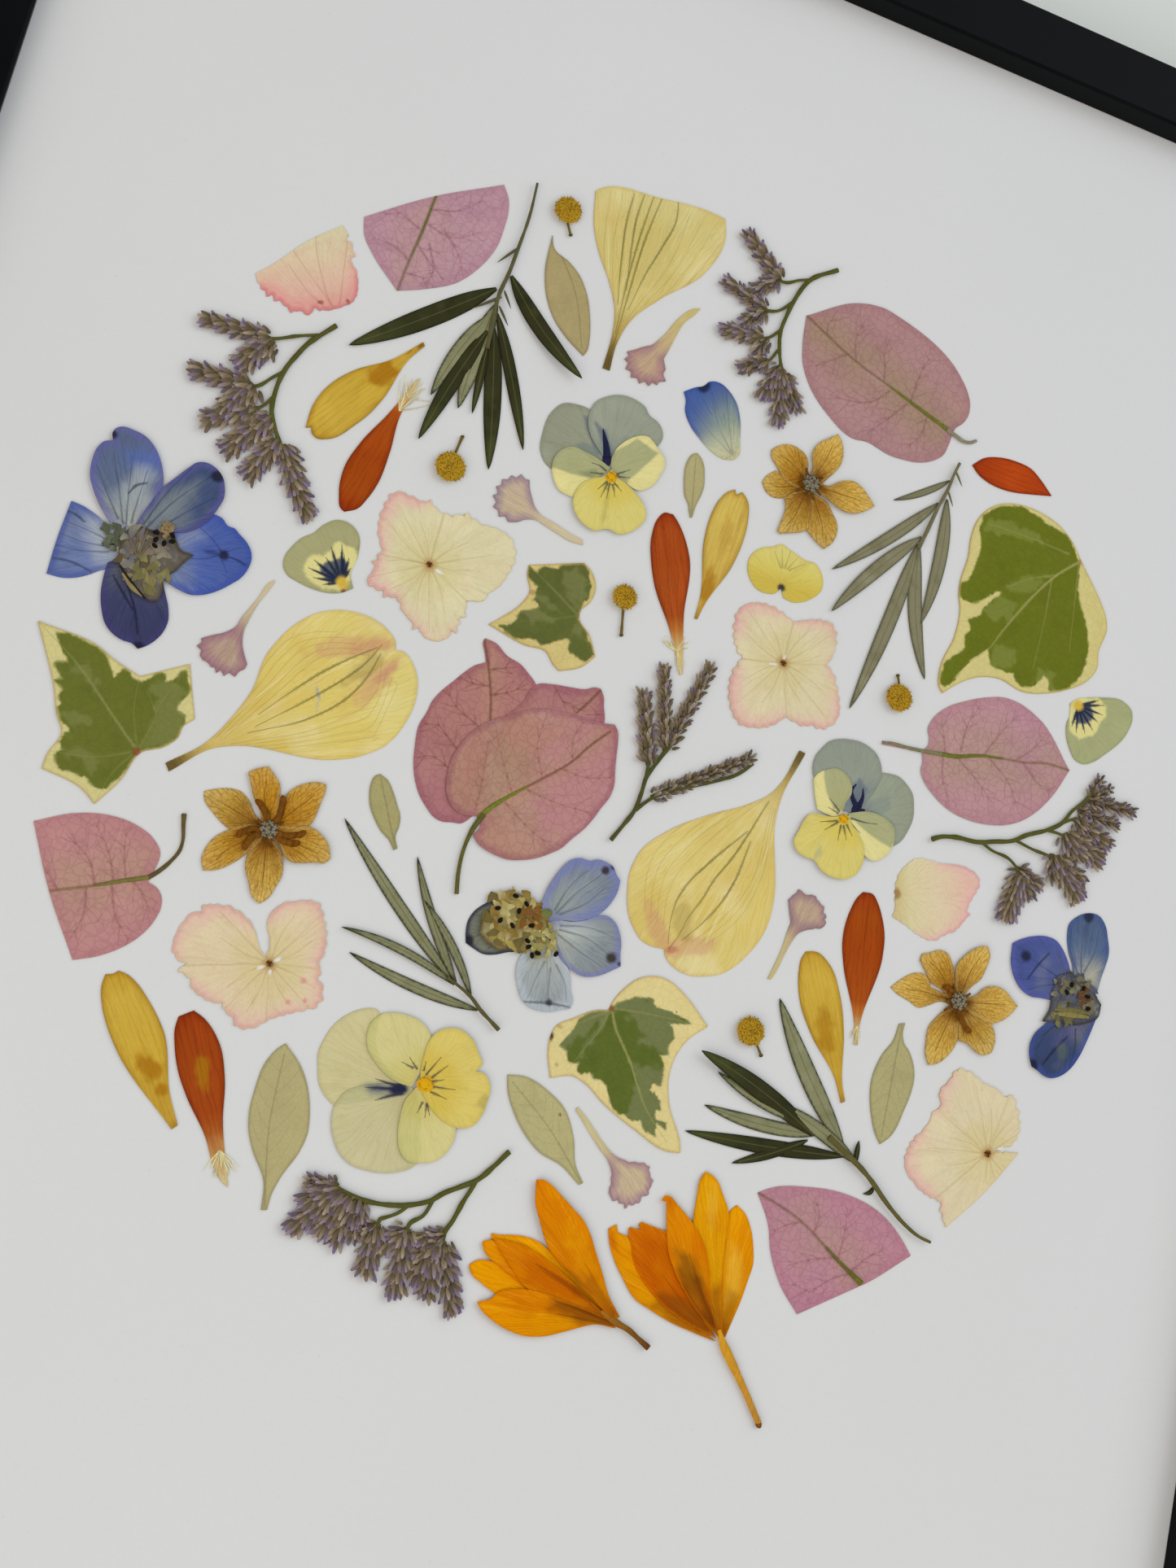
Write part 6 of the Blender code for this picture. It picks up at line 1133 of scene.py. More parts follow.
ivy("ivy_small", (-15.3, 21), (-31.5, 13.8),
    [pts(-15.4, 21, -20.5, 24, -27, 27.5), pts(-15.4, 21, -21, 18.5, -31, 14.3),
     pts(-15.4, 21, -16, 15.4, -16.6, 11), pts(-15.4, 21, -12.8, 17, -11, 14),
     pts(-15.4, 21.2, -16, 27, -17, 31)],
    pts(-27.3, 27.3, -25.5, 26.8, -24.8, 27.8, -23.5, 28.3, -21.5, 28.5, -20.5, 30, -19, 31, -17.5, 31.5,
        -16, 31, -15, 29, -14.3, 27.5, -14.2, 26, -15, 24, -15.3, 22, -15.2, 20.5, -13.5, 18.5, -12, 16.5,
        -11, 14.5, -11.8, 13, -12.8, 12.3, -14.5, 13, -15.8, 14, -16, 15.5, -16.5, 16, -18, 15, -20, 14,
        -21.5, 13, -23, 13.8, -26.8, 12.6, -28.5, 13.4, -30.3, 14, -28, 15.3, -27.3, 17, -26.5, 18.5,
        -24, 19.6, -23.5, 20.5, -25, 21, -24.8, 22.5, -24.5, 24, -26, 24.7, -27, 25.5),
    [pts(-20.5, 28, -18, 30.5, -14.8, 28, -15, 24, -16, 22.5, -19, 25),
     pts(-25, 22.5, -22, 22, -19, 20.5, -23, 20.6), pts(-27, 18.5, -22, 19.6, -19, 19, -24, 16.8),
     pts(-15, 19.8, -12.4, 16.6, -14, 16.6, -16, 18)],
    [(-25.4, 22.6, 0.8, rgb(160, 110, 60), 0.6), (-15.5, 21, 0.6, rgb(130, 110, 60), 0.7)],
    cream=rgb(206, 188, 122), tone=rgb(94, 100, 48), grey=rgb(124, 126, 76), ragged=0.45,
    vein_tone=rgb(126, 128, 80))
ivy("ivy_centre", (8.5, -50.4), (27.5, -73),
    [pts(8.8, -51.5, 10.2, -54.5, 12, -56.8, 14.5, -60, 17, -64, 19, -67, 24.8, -72.5),
     pts(8.5, -51, 14, -50.3, 20, -49.8, 27.5, -49.4), pts(8.4, -51.6, 7, -56, 4.6, -60.5, 3, -64),
     pts(8.2, -51.6, 4, -54.6, 0, -58)],
    pts(8.3, -51.3, 9.5, -49.8, 11.5, -48.3, 14, -47.5, 16.3, -47.4, 17, -48, 20, -48.5, 23.5, -49.3,
        24.5, -49.7, 22, -50.3, 20, -50.5, 21.5, -52, 22.2, -53.2, 21.2, -55, 21.5, -56.5, 19.6, -57,
        21, -58.7, 21.5, -61, 21.3, -62.5, 19.8, -62.5, 19.5, -64, 22, -65.7, 22.5, -67.3, 21.5, -67.3,
        21.5, -69, 24, -69, 24.3, -70.5, 22, -69.5, 22.3, -72, 20, -71.8, 18.8, -70, 17.3, -70.3, 15.5, -69.8,
        14.5, -69.8, 13, -69, 11.8, -67.5, 10.8, -65.5, 9.5, -64.5, 8, -64.8, 7, -63.5, 5.5, -64.6,
        4.7, -64.2, 4.6, -62.4, 3.8, -62.8, 2.3, -62.8, 1.9, -61, 0.2, -60.5, 0.8, -59, 1.8, -57.5,
        2.3, -55.5, 4, -53.3, 6, -52),
    [pts(8.5, -51.2, 9.5, -49.4, 12, -47.8, 16.3, -47, 24.5, -49.4, 22.4, -53.2, 21.5, -56.9, 18.8, -56,
         15.6, -55.6, 15.8, -54, 14.5, -52.6, 12, -51.6),
     pts(8.1, -51.5, 5.6, -51.8, 1.8, -55, 0, -60.8, 1.6, -61, 3.2, -58.6, 5.6, -55.6, 7.6, -53),
     pts(8.0, -52.6, 7.6, -55, 6.2, -58, 5.0, -61.6, 4.4, -62.4, 4.3, -60, 5.6, -57, 7, -54.2),
     pts(14.4, -59.6, 17, -60.8, 18.6, -60, 21.4, -59.6, 22, -63, 24.6, -70.4, 22.3, -72.6, 18, -70.8,
         16.3, -69.6, 16.8, -65.4, 16.6, -63.4)],
    [(-1.75, -59.2, 0.5, rgb(58, 40, 20), 0.95, 1.1, 0, 0.1), (8.5, -51.0, 0.8, RED_BROWN, 0.9),
     (-0.8, -57, 0.9, rgb(150, 110, 60), 0.5, 0.5), (0.4, -64, 0.5, rgb(150, 110, 60), 0.5),
     (21.4, -48.2, 0.25, rgb(70, 50, 30), 0.9)], cream=rgb(216, 200, 138), tone=rgb(90, 102, 40),
    grey=rgb(124, 128, 86))


# ---- petals of violas, the blue petal and the fringed petals
BLUE_LINES = [pts(8.2, 64, 4, 69, 0.8, 75), pts(8, 64.4, 6, 70, 4, 76), pts(7.8, 64, 2, 67.4, -3, 71)]


def paint_blue(s):
    s.gradient([(0, rgb(206, 198, 150)), (0.18, rgb(192, 192, 158)), (0.46, rgb(146, 158, 140)),
                (0.75, rgb(104, 122, 142)), (1, rgb(70, 90, 146))])
    s.mottle(rgb(140, 150, 152), 0.4, 4.0, 103)
    s.streaks(rgb(52, 66, 112), 0.45, 0.4, 101)
    left = step_up(5.5, -3.0, s.xy[:, 0] + 0.6 * noise(s.xy, 3.0, 104))
    s.mix(rgb(62, 88, 158), 0.8 * left * step_up(0.1, 0.45, s.along))
    s.margin(0.9, rgb(58, 80, 146), 0.5 * step_up(0.25, 0.5, s.along))
    s.spot(-1, 76, 1.8, rgb(26, 34, 58), 0.9)
    s.lines(BLUE_LINES, rgb(60, 72, 102), 0.18, 0.4)


one_sheet("petal_blue", paint_blue, MAT_PETAL, (8.6, 63.4), (0, 77), fine=BLUE_LINES,
          relief=dict(curl=0.5, streak=0.05))

VIOLA_NAVY = rgb(34, 42, 66)


def viola_petal(name, base, tip, outer, zone, navy, rays, throat, throat_radius, more=()):
    """An olive petal with a yellow zone, a dark blue fan with pointed rays, and a golden throat."""
    centre = np.array(throat)
    drawn = [[centre + unit(np.array(r) - centre) * throat_radius * 0.8, r] for r in rays]

    def paint(s):
        s.mix(outer, 1.0)
        s.mottle(outer * 1.16, 0.6, 4.0, 111)
        s.mottle(outer * 0.84, 0.45, 3.0, 112)
        s.margin(0.6, outer * 0.78, 0.5)
        s.patch(zone, rgb(220, 210, 140), 0.95, 0.5, 1.2, 0.35, 114)
        s.patch(navy, rgb(74, 80, 96), 0.95, 0.3, 1.0, 0.3, 115)
        s.lines(drawn, VIOLA_NAVY, 0.5, 0.97, (0.7, 1.0, 0.7, 0.15))
        s.spot(*throat, throat_radius, rgb(212, 176, 66), 1.0, ragged=0.15)
        for spot in more:
            s.spot(*spot)

    one_sheet(name, paint, MAT_VIOLA, base, tip, fine=drawn, relief=dict(curl=0.3))


viola_petal("petal_viola_left", (-60.6, 11.4), (-68, 20), rgb(166, 163, 118),
            pts(-60.2, 14, -60.2, 18.6, -61.2, 19.6, -62.6, 19.6, -64, 19.9, -65, 18.5, -65.8, 17,
                -66.2, 16.3, -67.8, 15.8, -68.8, 14.3, -69, 12.8, -68.4, 11.4, -67, 10.6, -65.2, 10.2,
                -63, 10.4, -61, 11),
            pts(-61.4, 13.4, -61.2, 15, -61.6, 16.4, -63, 17.4, -64, 16.2, -65.3, 15.2, -66.2, 13.8,
                -66, 12.9, -64.4, 12.1, -63, 11.9),
            [(-60.7, 15.4), (-61.4, 17.3), (-63.3, 19.3), (-65.2, 18.4), (-65.6, 16.1), (-67.6, 14.9),
             (-68.2, 13.1), (-66.7, 11.6), (-64.6, 11.0), (-62.4, 17.6), (-66.6, 14.2)], (-61.5, 12.4), 1.5,
            [(-60.9, 10.8, 0.6, rgb(120, 60, 20), 0.9), (-60.2, 20, 0.7, rgb(140, 140, 100), 0.5)])
viola_petal("petal_viola_right", (92.6, 37.6), (103, 32), rgb(164, 166, 120),
            pts(93, 39.4, 96, 39.8, 99, 40.2, 100.6, 39, 101, 37, 100, 35, 99.4, 33, 97.6, 31.6, 95.6, 30.6,
                93.6, 31.4, 92.6, 34),
            pts(95, 37.6, 97, 38.2, 98, 37, 97.8, 35.4, 96.6, 34, 94.8, 33.6, 94, 35.2),
            [(99.8, 39.2), (100, 37.2), (99.4, 35.4), (98.4, 33.4), (96.8, 32.2), (94.8, 31.8), (93.6, 32.6),
             (98.6, 39.9)], (94.2, 37.4), 1.4)

VIOLET_ENDS = ((21.2, 47.4), (22.8, 48.2), (24.6, 48.4), (26.4, 47.8), (28, 46.8))
VIOLET_LINES = [pts(24 + 0.3 * (x - 24), 44.6, x, y) for x, y in VIOLET_ENDS]


def paint_yellow_viola(s):
    s.gradient([(0, rgb(204, 180, 76)), (0.4, rgb(212, 196, 100)), (1, rgb(214, 202, 124))])
    s.streaks(rgb(190, 168, 84), 0.4, 0.5, 118)
    s.margin(0.7, rgb(196, 176, 92), 0.5)
    s.spot(24.2, 40.5, 1.0, rgb(40, 42, 56), 0.95, 1.0, 0)
    s.lines(VIOLET_LINES, rgb(134, 128, 84), 0.24, 0.6)


one_sheet("viola_petal", paint_yellow_viola, MAT_VIOLA, (24.2, 41), (24, 49),
          fine=VIOLET_LINES,
          outline=pts(22.5, 49.3, 20.7, 48.2, 18.7, 47.3, 17.2, 46, 16.3, 44, 16.5, 41.7, 17.7, 39.7,
                      19.3, 38.5, 21.7, 38.3, 23.3, 38.9, 24.2, 40.3, 25.2, 38.5, 27.3, 38.3, 29.3, 39,
                      31.3, 40.5, 32.8, 42.7, 32.7, 45, 31.7, 46.7, 30.2, 47.8, 28.3, 47.7, 26.3, 48.2,
                      24.3, 48.8), relief=dict(curl=0.3))


def fringed(name, base, tip, outline, claw, body, rim, rim_width=2.6, teeth=None):
    """A petal with a narrow claw, a broad body and a toothed rim."""
    def paint(s):
        s.gradient([(0, claw), (0.45, claw * 0.5 + body * 0.5), (0.7, body), (1, body)])
        outer = step_up(0.5, 0.75, s.along)
        s.streaks(claw, 0.5, 0.4, 122)
        s.margin(rim_width * 0.8, rim, 0.7 * outer, 0.6)
        s.margin(rim_width * 0.25, rim * 0.75, 0.6 * outer, 0.6)
        s.streaks(rim, 0.45, 0.35, 121, where=outer)

    one_sheet(name, paint, MAT_FRINGED, base, tip, outline=outline,
              relief=dict(curl=0.4, streak=0.05, ripple=0.12), thickness=0.12, corner=math.radians(30),
              teeth=teeth)


fringed("fringed_petal_1", (-5.7, 91.8), (-16.2, 74.2),
        pts(-5.3, 91.8, -6.4, 89.8, -7.6, 88.2, -8.6, 85.8, -9.3, 83, -9.9, 80.6, -10.5, 78.4, -9.6, 76.4,
            -9.9, 75.2, -9, 74, -10.3, 73.5, -10.6, 72.6, -11.6, 72.9, -12.2, 71.8, -13.2, 72.5, -14.2, 71.6,
            -14.9, 72.6, -16.2, 72.2, -16.4, 73.4, -17.7, 73.6, -17.4, 75, -18.4, 75.5, -17.6, 76.5,
            -18.2, 77.2, -17.1, 77.9, -15.4, 79.2, -13.2, 80.8, -12.3, 82.2, -11.2, 84, -10, 86.8, -8.6, 89.2,
            -6.4, 91.4), rgb(206, 192, 122), rgb(190, 162, 134), rgb(164, 122, 128))
fringed("fringed_petal_2", (-18, 35.6), (-35, 41),
        pts(-17.8, 35.2, -20.6, 35.1, -23.2, 35.7, -26, 36.4, -28.2, 36.9, -30, 36.4, -31.8, 35.2,
            -33.4, 34.7, -34.2, 35.6, -35.4, 35.1, -35.9, 36.3, -37, 36.6, -36.6, 37.8, -37.6, 38.8,
            -36.7, 39.6, -37.4, 40.8, -36.4, 41.4, -36.6, 42.6, -35.4, 42.9, -35, 44, -33.9, 43.8,
            -33.2, 44.9, -32.2, 44.2, -31.3, 44.3, -30.9, 42.8, -30, 41, -29, 39.4, -27.6, 38.3, -24.6, 37.6,
            -21, 36.6, -18.2, 36.1), rgb(212, 200, 164), rgb(196, 176, 146), rgb(156, 130, 146), 2.2)
fringed("fringed_petal_3", (-73.8, 8.6), (-79.5, -8.5),
        pts(-73.8, 8.7, -74.5, 8, -75.7, 4.7, -76.8, 2, -77.7, 0, -78.3, -2, -80, -3.8, -82, -5, -83.8, -6.2,
            -83.5, -6.8, -84.2, -7.8, -83.2, -8.3, -83.2, -9.3, -82.5, -10, -81.5, -10.2, -80.7, -10.8,
            -80, -10.7, -79.5, -11.6, -78.8, -10.8, -78, -11.7, -77.3, -10.8, -76, -11.2, -75.5, -10,
            -74.7, -9.3, -74.5, -8.3, -75.3, -7, -76.3, -5, -76.7, -2.7, -76.3, 0, -75.5, 3.3, -74.3, 6.3,
            -73.6, 8.3), rgb(212, 200, 160), rgb(176, 150, 130), rgb(160, 116, 130), 3.0)
fringed("fringed_petal_4", (38.4, -36.8), (44.2, -21),
        pts(38.3, -37, 39, -37, 39.7, -35.3, 40.7, -31.7, 41.7, -28.7, 42.7, -26.7, 44, -25.7, 46, -24.8,
            47.3, -24.3, 47.8, -23.7, 48, -22.2, 47.3, -21.3, 46.8, -20, 45.8, -19.5, 45, -18.8, 44.2, -18.3,
            43.3, -18.7, 42, -18.5, 40.8, -18.2, 40.3, -19.3, 39.2, -20.7, 40.2, -23.7, 40.7, -25,
            40.3, -27.3, 40, -30, 39.3, -33.3), rgb(204, 192, 134), rgb(186, 160, 136), rgb(156, 122, 130),
        2.8, (1.3, 1.6, 44.2, -20.4, 5.0))
fringed("fringed_petal_5", (6.2, -70.8), (20, -82),
        pts(6.2, -70.6, 8, -71.8, 10.4, -73.8, 12.8, -75.8, 15.2, -77.4, 18, -77.9, 20.4, -77.6, 21.6, -77.5,
            22.6, -77.9, 23, -79.2, 24, -80.4, 23.6, -81.6, 23.6, -82.8, 22.4, -83.8, 22, -85, 20.6, -85.6,
            19.6, -86.4, 18.4, -85.6, 16.8, -85.6, 15.8, -84.4, 15.8, -82.8, 15.4, -80.4, 14.4, -78.8,
            12, -76.8, 9.6, -74.6, 7.6, -72.6, 6, -71.2), rgb(206, 196, 142), rgb(196, 178, 144),
        rgb(166, 128, 140), 2.6, (1.3, 1.6, 20.6, -81.8, 5.5))


# ---------------------------------------------------------------- outlines of the layered specimens
# A specimen's layers are listed from the card upwards.
LAYERS = {
    "bougainvillea": [
        pts(-32.3, 10.8, -30, 10.5, -27.3, 8.8, -24.3, 8, -22.3, 6.7, -20.5, 5.2, -19.5, 2, -22, -2,
            -25, -12, -26.6, -23.4, -28.3, -25.2, -30, -25.5, -31.8, -25.9, -33.7, -25.5, -35.3, -24.3,
            -37.3, -22.3, -38.7, -20, -39.8, -17, -40.4, -13.5, -40.6, -9.3, -39.8, -6.7, -39.2, -4,
            -38, -1.7, -36.3, 0.7, -34.7, 3, -33, 5, -31, 6.3, -31.8, 8.3, -32.5, 10),
        pts(-20.3, 5.2, -17.3, 6.2, -14, 6.7, -10.7, 7.3, -8.7, 8.3, -7.7, 8.3, -6.8, 7, -6.3, 5,
            -5.7, 3.3, -5.4, 0, -6, -5, -10, -14, -18, -20, -25.6, -22.6, -27.2, -16, -27.5, -9,
            -26, -4, -23.4, -0.7, -22, 1.6, -21.4, 3.7),
        pts(-3.4, 2.3, -5.5, 1.9, -7.3, 1.8, -11.7, 1.7, -15.7, 1.4, -19.3, 0.5, -22, -0.8,
            -24, -2.2, -27.5, -4.5, -30, -7, -31.7, -9.7, -32.8, -12.7, -33.2, -15.7, -33, -18.3,
            -32.3, -20.7, -30.7, -22.7, -28.7, -23.5, -26.3, -23.2, -25.2, -22.9, -24.6, -25,
            -25.6, -26.7, -24.3, -28, -22.3, -28.8, -20, -29.2, -18.3, -29.3, -15, -28.5,
            -12.3, -27.3, -10, -25.7, -8.3, -24.3, -6.7, -22, -4.7, -19.3, -3.3, -16.7, -2.3, -14.3,
            -1.2, -12, -0.8, -9.3, -1.3, -6.3, -1.7, -3.3, -2, -0.7, -2.5, 1.2)],
    "star_1": [
        pts(24.5, 62.5, 17.7, 64, 16, 62, 15.5, 60.7, 16.7, 59, 18.7, 58.3, 20.3, 58.7, 25, 61.5),
        pts(24.5, 64.5, 24.3, 68, 23.5, 69.3, 21.7, 70.2, 19.3, 70.3, 17.3, 69.3, 16, 68, 16.2, 66.7,
            17.7, 65, 20, 62.7, 24.8, 61.7),
        pts(26.8, 62, 30.3, 61, 31.7, 59.3, 33.2, 57.3, 33.5, 55.7, 33, 53.3, 31.5, 51.3, 28.7, 52.7,
            26.9, 54.1, 26, 57, 25.4, 61),
        pts(24.5, 62, 20.8, 59, 21.5, 56.7, 21.2, 54, 20.8, 51.7, 21.5, 51.2, 23.3, 52, 25.7, 53,
            27.3, 54.3, 27.6, 58, 26.5, 62),
        pts(25.2, 64.5, 25.3, 67.7, 24.7, 69.7, 25, 71.7, 26, 73.3, 28, 75, 29.2, 76.2, 30.3, 75,
            31.2, 72.7, 31.2, 70, 30.3, 68, 29.2, 66.3, 27.5, 63.5),
        pts(26.5, 62.5, 30.3, 61.6, 32.3, 60.8, 34.8, 60.5, 36.3, 60.8, 38.3, 62, 40.3, 63.8,
            38.7, 65.3, 36.7, 66.8, 34.7, 67.4, 33, 67, 31.3, 66, 29.8, 64.7, 26.8, 64.5)],
    "star_2": [
        pts(-64.3, -36, -66, -34.7, -68, -32.3, -69.3, -31.5, -71.7, -31.5, -74, -32.3, -75.9, -33.3,
            -75.5, -34.7, -73.3, -36.7, -71.7, -37.8, -69.7, -38.7, -66, -38.4, -63.5, -38),
        pts(-63.8, -38, -65.2, -41.2, -66, -42.7, -67.7, -44.7, -70, -46.5, -72.3, -47.3, -73.2, -45.3,
            -73, -43.3, -72, -41, -70, -39, -67, -37, -64, -36.4),
        pts(-62, -38.3, -60, -39.7, -58.8, -42, -58.4, -44.3, -59, -46.7, -59.8, -49, -61, -50.3,
            -62.3, -49.7, -64, -47, -65.2, -44.7, -65.5, -42.3, -64.8, -40, -63.8, -38),
        pts(-62.6, -35.8, -61.6, -32, -61.2, -29.3, -60, -27.7, -58.3, -26.5, -56.3, -25.7,
            -54.8, -25.7, -54.6, -27, -54.9, -29.3, -55.2, -32, -55.7, -33.7, -58, -35, -61.6, -37),
        pts(-64, -36.2, -65.3, -34, -67, -32, -68, -30, -69.2, -27.7, -68, -26.7, -66, -25.6,
            -65, -26.3, -63, -28.3, -62.4, -31, -62.4, -35.5, -63, -36.6),
        pts(-61.8, -35.8, -58.3, -34.9, -55.7, -34.2, -53.3, -35, -51.7, -36.3, -50.6, -38.8,
            -51.3, -39.8, -53.3, -40.3, -55.3, -41, -57.3, -41.4, -59, -40.7, -60, -39.3, -62, -38)],
    "star_3": [
        pts(77.6, -30, 72.7, -29.3, 72, -28, 70.7, -27.2, 68.7, -27.5, 66.3, -29.3, 64.2, -31.6,
            65.3, -32.3, 68.7, -33.3, 71, -34, 73, -33, 75.3, -31.6, 78, -31.6),
        pts(78.6, -29.5, 77.6, -26.5, 76.3, -23.3, 75, -21.8, 73.5, -21.5, 71, -22.7, 69.5, -23.3,
            69.3, -24.7, 71, -26.7, 72.7, -28.5, 75.3, -29.3, 77.6, -31),
        pts(78.6, -32, 77, -32.7, 75, -35, 73.8, -37.3, 73.8, -40, 74.2, -42.7, 75.2, -44.5, 76.7, -44,
            79, -41.7, 80.2, -39.3, 80.5, -36, 79.8, -32),
        pts(79.3, -31.9, 80, -35, 80.7, -38.2, 82.7, -38.3, 84.7, -39.3, 86.7, -39.6, 88.3, -38.7,
            88.6, -36.3, 88, -34.3, 87, -33, 84.7, -32.3, 80.3, -30.6),
        pts(79.8, -31.4, 84.4, -32.8, 87.3, -32.9, 89.3, -31.8, 91, -30, 92.2, -28, 90.7, -27,
            89, -25.8, 86.7, -25.4, 84.3, -26.3, 82.7, -28.3, 79.6, -29.6),
        pts(78.2, -29.6, 77.4, -26, 77.2, -23.7, 78.3, -21.7, 80, -19.7, 82, -18.3, 83.2, -18,
            84, -19.3, 83.7, -22.7, 83, -25, 81.3, -27, 80, -29, 79, -30.5)],
    "viola_1": [
        pts(-17, 53.3, -22, 53.4, -26, 51, -27.7, 48, -29.3, 49, -30.5, 50.7, -31, 54.7, -30.3, 59.3,
            -28.3, 62, -25.7, 62.7, -22.7, 62.6, -20, 61, -17, 56),
        pts(-16.5, 53, -19, 55, -21.5, 57.5, -22.7, 60.3, -22.7, 62.7, -22, 64.7, -20.3, 66.3,
            -18.3, 67.5, -16, 68, -13.7, 67.8, -12, 67.2, -10.7, 65.8, -8.7, 65, -7.5, 63.8, -7, 62.3,
            -7.3, 60.7, -10, 58, -15.5, 53),
        pts(-16, 52.2, -18, 53, -21.7, 53.7, -24.7, 53.8, -26.7, 52.3, -27.7, 49.7, -27, 46.7,
            -25, 44.3, -22.3, 43.8, -20.6, 46, -18, 49.5),
        pts(-16, 52.5, -16, 56, -14.7, 58.3, -13, 60, -11.3, 61, -10, 61.2, -8.7, 60.5, -7.3, 59.3,
            -5.8, 58, -5.3, 56.7, -5.7, 54.7, -6.2, 53, -7, 51.5, -8, 50.5, -9.3, 49.8, -10.7, 49.8,
            -12.6, 50.4, -14.5, 50.8),
        pts(-17.3, 49.9, -19.3, 48.8, -21, 47.2, -21.9, 45, -22, 43.2, -21.2, 41.2, -19.7, 39.7,
            -17.7, 38.8, -16, 38.7, -14.7, 39.5, -13.3, 39.9, -11.7, 39.6, -10, 40.2, -8.7, 41.3,
            -7.5, 42.8, -6.8, 44.5, -7.2, 46.2, -8.3, 47.7, -9.7, 48.8, -11.3, 49.7, -12.7, 50.3,
            -14.3, 50.7, -15.8, 52)],
    "viola_2": [
        pts(50, 1, 51.5, 5, 53.3, 10, 55.3, 10.3, 57.3, 10.3, 59.3, 9.3, 61, 7.7, 61.8, 5.3, 62.1, 2.7,
            61.5, 0, 60.3, -2.7, 58.3, -4.5, 55.5, -3, 51, -1),
        pts(39.3, 4.7, 38.6, 7, 38.8, 9, 39.8, 11, 41.3, 13, 43, 13.9, 45.3, 14.5, 47.7, 14.7,
            49.7, 14.3, 51.7, 13.2, 53, 11.3, 53.5, 9.3, 53, 6.7, 51.7, 3.7, 50, 0.5, 47.5, 0,
            43, 2.5),
        pts(46.3, -1, 47, 1.7, 47.8, 3.7, 47.2, 6, 45.7, 7.3, 43.7, 7.8, 41.7, 7, 40, 5.7, 39.3, 4.3,
            39.7, 2.7, 40.5, 0.3, 41.3, -1.5, 43.3, -1.8, 45, -1.9),
        pts(48.2, -0.2, 52, 1.2, 54.3, 1.3, 56.7, 0.7, 58.2, -0.3, 58.8, -2, 58.7, -4, 57.7, -6.3,
            56.3, -7.7, 54.7, -8.2, 53.3, -7.7, 51.5, -5.5, 50, -4, 47.6, -2.6),
        pts(47.4, -0.6, 45, -2, 43.3, -2.3, 41.3, -2.5, 40, -2.8, 39, -4.3, 38.3, -6.7, 37.7, -9.3,
            38.7, -10.8, 40.7, -11.6, 42.7, -11.7, 44.3, -13, 46, -13.7, 48, -13.9, 50, -13.5,
            51.7, -12.3, 52.7, -10.5, 53, -8.3, 52.5, -6, 51, -4, 49.3, -2.6)],
    "viola_3": [
        pts(-26.4, -74.6, -30.8, -73, -34, -69, -34.5, -63.6, -35.3, -63.1, -37, -63.3, -39, -64.3,
            -41, -66, -42.4, -68, -43.4, -70.8, -43.8, -73.2, -43.2, -76, -42.4, -78.4, -40.8, -80.4,
            -38.6, -81.8, -34, -80, -26.5, -76.5),
        pts(-25.8, -75, -28.4, -75.2, -31.6, -76, -34.8, -77.2, -37.2, -78.8, -38.6, -81.8,
            -38.4, -84.8, -37.2, -87.6, -35.2, -90, -32.8, -91.2, -30, -91.4, -27.2, -91.2, -24, -90.2,
            -22, -89, -21.2, -87.8, -22, -83, -24.5, -76),
        pts(-25, -73, -25.6, -75, -28, -74.9, -30.8, -74, -33.2, -72.4, -35.2, -70.4, -36, -68,
            -35.7, -65.5, -34, -63.5, -32, -62.8, -29.3, -62.6, -27, -63, -25.3, -64, -24.3, -65.3,
            -24, -70),
        pts(-24.8, -74.8, -26.2, -77.6, -26.4, -80.8, -26, -84, -24.8, -86.8, -23.2, -88, -20.8, -87.8,
            -17.6, -86.4, -16.2, -84.4, -15.6, -82, -16, -79.6, -19, -77, -23, -74.4),
        pts(-24.6, -72.6, -24.8, -69, -24.3, -65.5, -23.3, -64, -21.7, -63, -19.3, -62.6, -18, -63,
            -16.3, -64, -15, -65.7, -13.6, -67.6, -14.6, -69.3, -13.2, -69.2, -12, -70, -11.2, -71.6,
            -11.2, -74.4, -11.6, -76.8, -12.8, -79, -15.2, -80, -18, -79.7, -21, -78, -23.5, -75.4)],
    "delphinium_1": [
        pts(-112.8, 11, -110.7, 10.8, -108, 10, -105.3, 8.8, -103, 7.6, -100.5, 5, -102, 1.6,
            -104.3, 0.3, -106.3, -1.3, -108.3, -2.5, -110.3, -3.2, -113.3, -3.4, -113.3, 3.3),
        pts(-101, 4, -103.6, 2, -103.6, -0.7, -103.2, -4, -102.3, -6.7, -101, -9, -99, -10.5,
            -97.3, -11, -95.3, -11.1, -94.2, -11.7, -93, -10.8, -91.7, -9.3, -90.7, -7.3, -90.4, -5,
            -91, -2.7, -92.2, -0.3, -93.7, 2.4, -97, 5),
        pts(-95.5, 10, -93.3, 11.5, -90.5, 14, -88.3, 17.1, -86, 16.8, -84.7, 15.8, -83.3, 15.7,
            -82.3, 15, -80.7, 14, -79.5, 12.7, -78.9, 11, -79, 9.3, -79.7, 7.3, -81.3, 5.3, -83.3, 3.3,
            -85.7, 1.7, -88, 1, -90, 1.2, -92, 1.7, -93.7, 2.3, -96, 4, -97, 7),
        pts(-109.3, 26, -108.8, 27, -108, 27.5, -105.7, 27.6, -103.3, 27.1, -101.3, 25.7,
            -99.7, 23.7, -98.7, 21.7, -98, 19, -98.3, 16.5, -99.5, 13, -100.2, 8.5, -101.5, 7.5,
            -102.9, 8.6, -104.3, 8.8, -106, 10, -108, 12, -109.7, 14.3, -111, 16.7, -111.4, 19.7,
            -111.2, 22, -110.2, 23.8, -108.8, 24.4),
        pts(-93, 25.7, -91.5, 26.1, -89.7, 25.7, -88.1, 24.5, -87.2, 22.7, -86.8, 20.7, -87.3, 18.3,
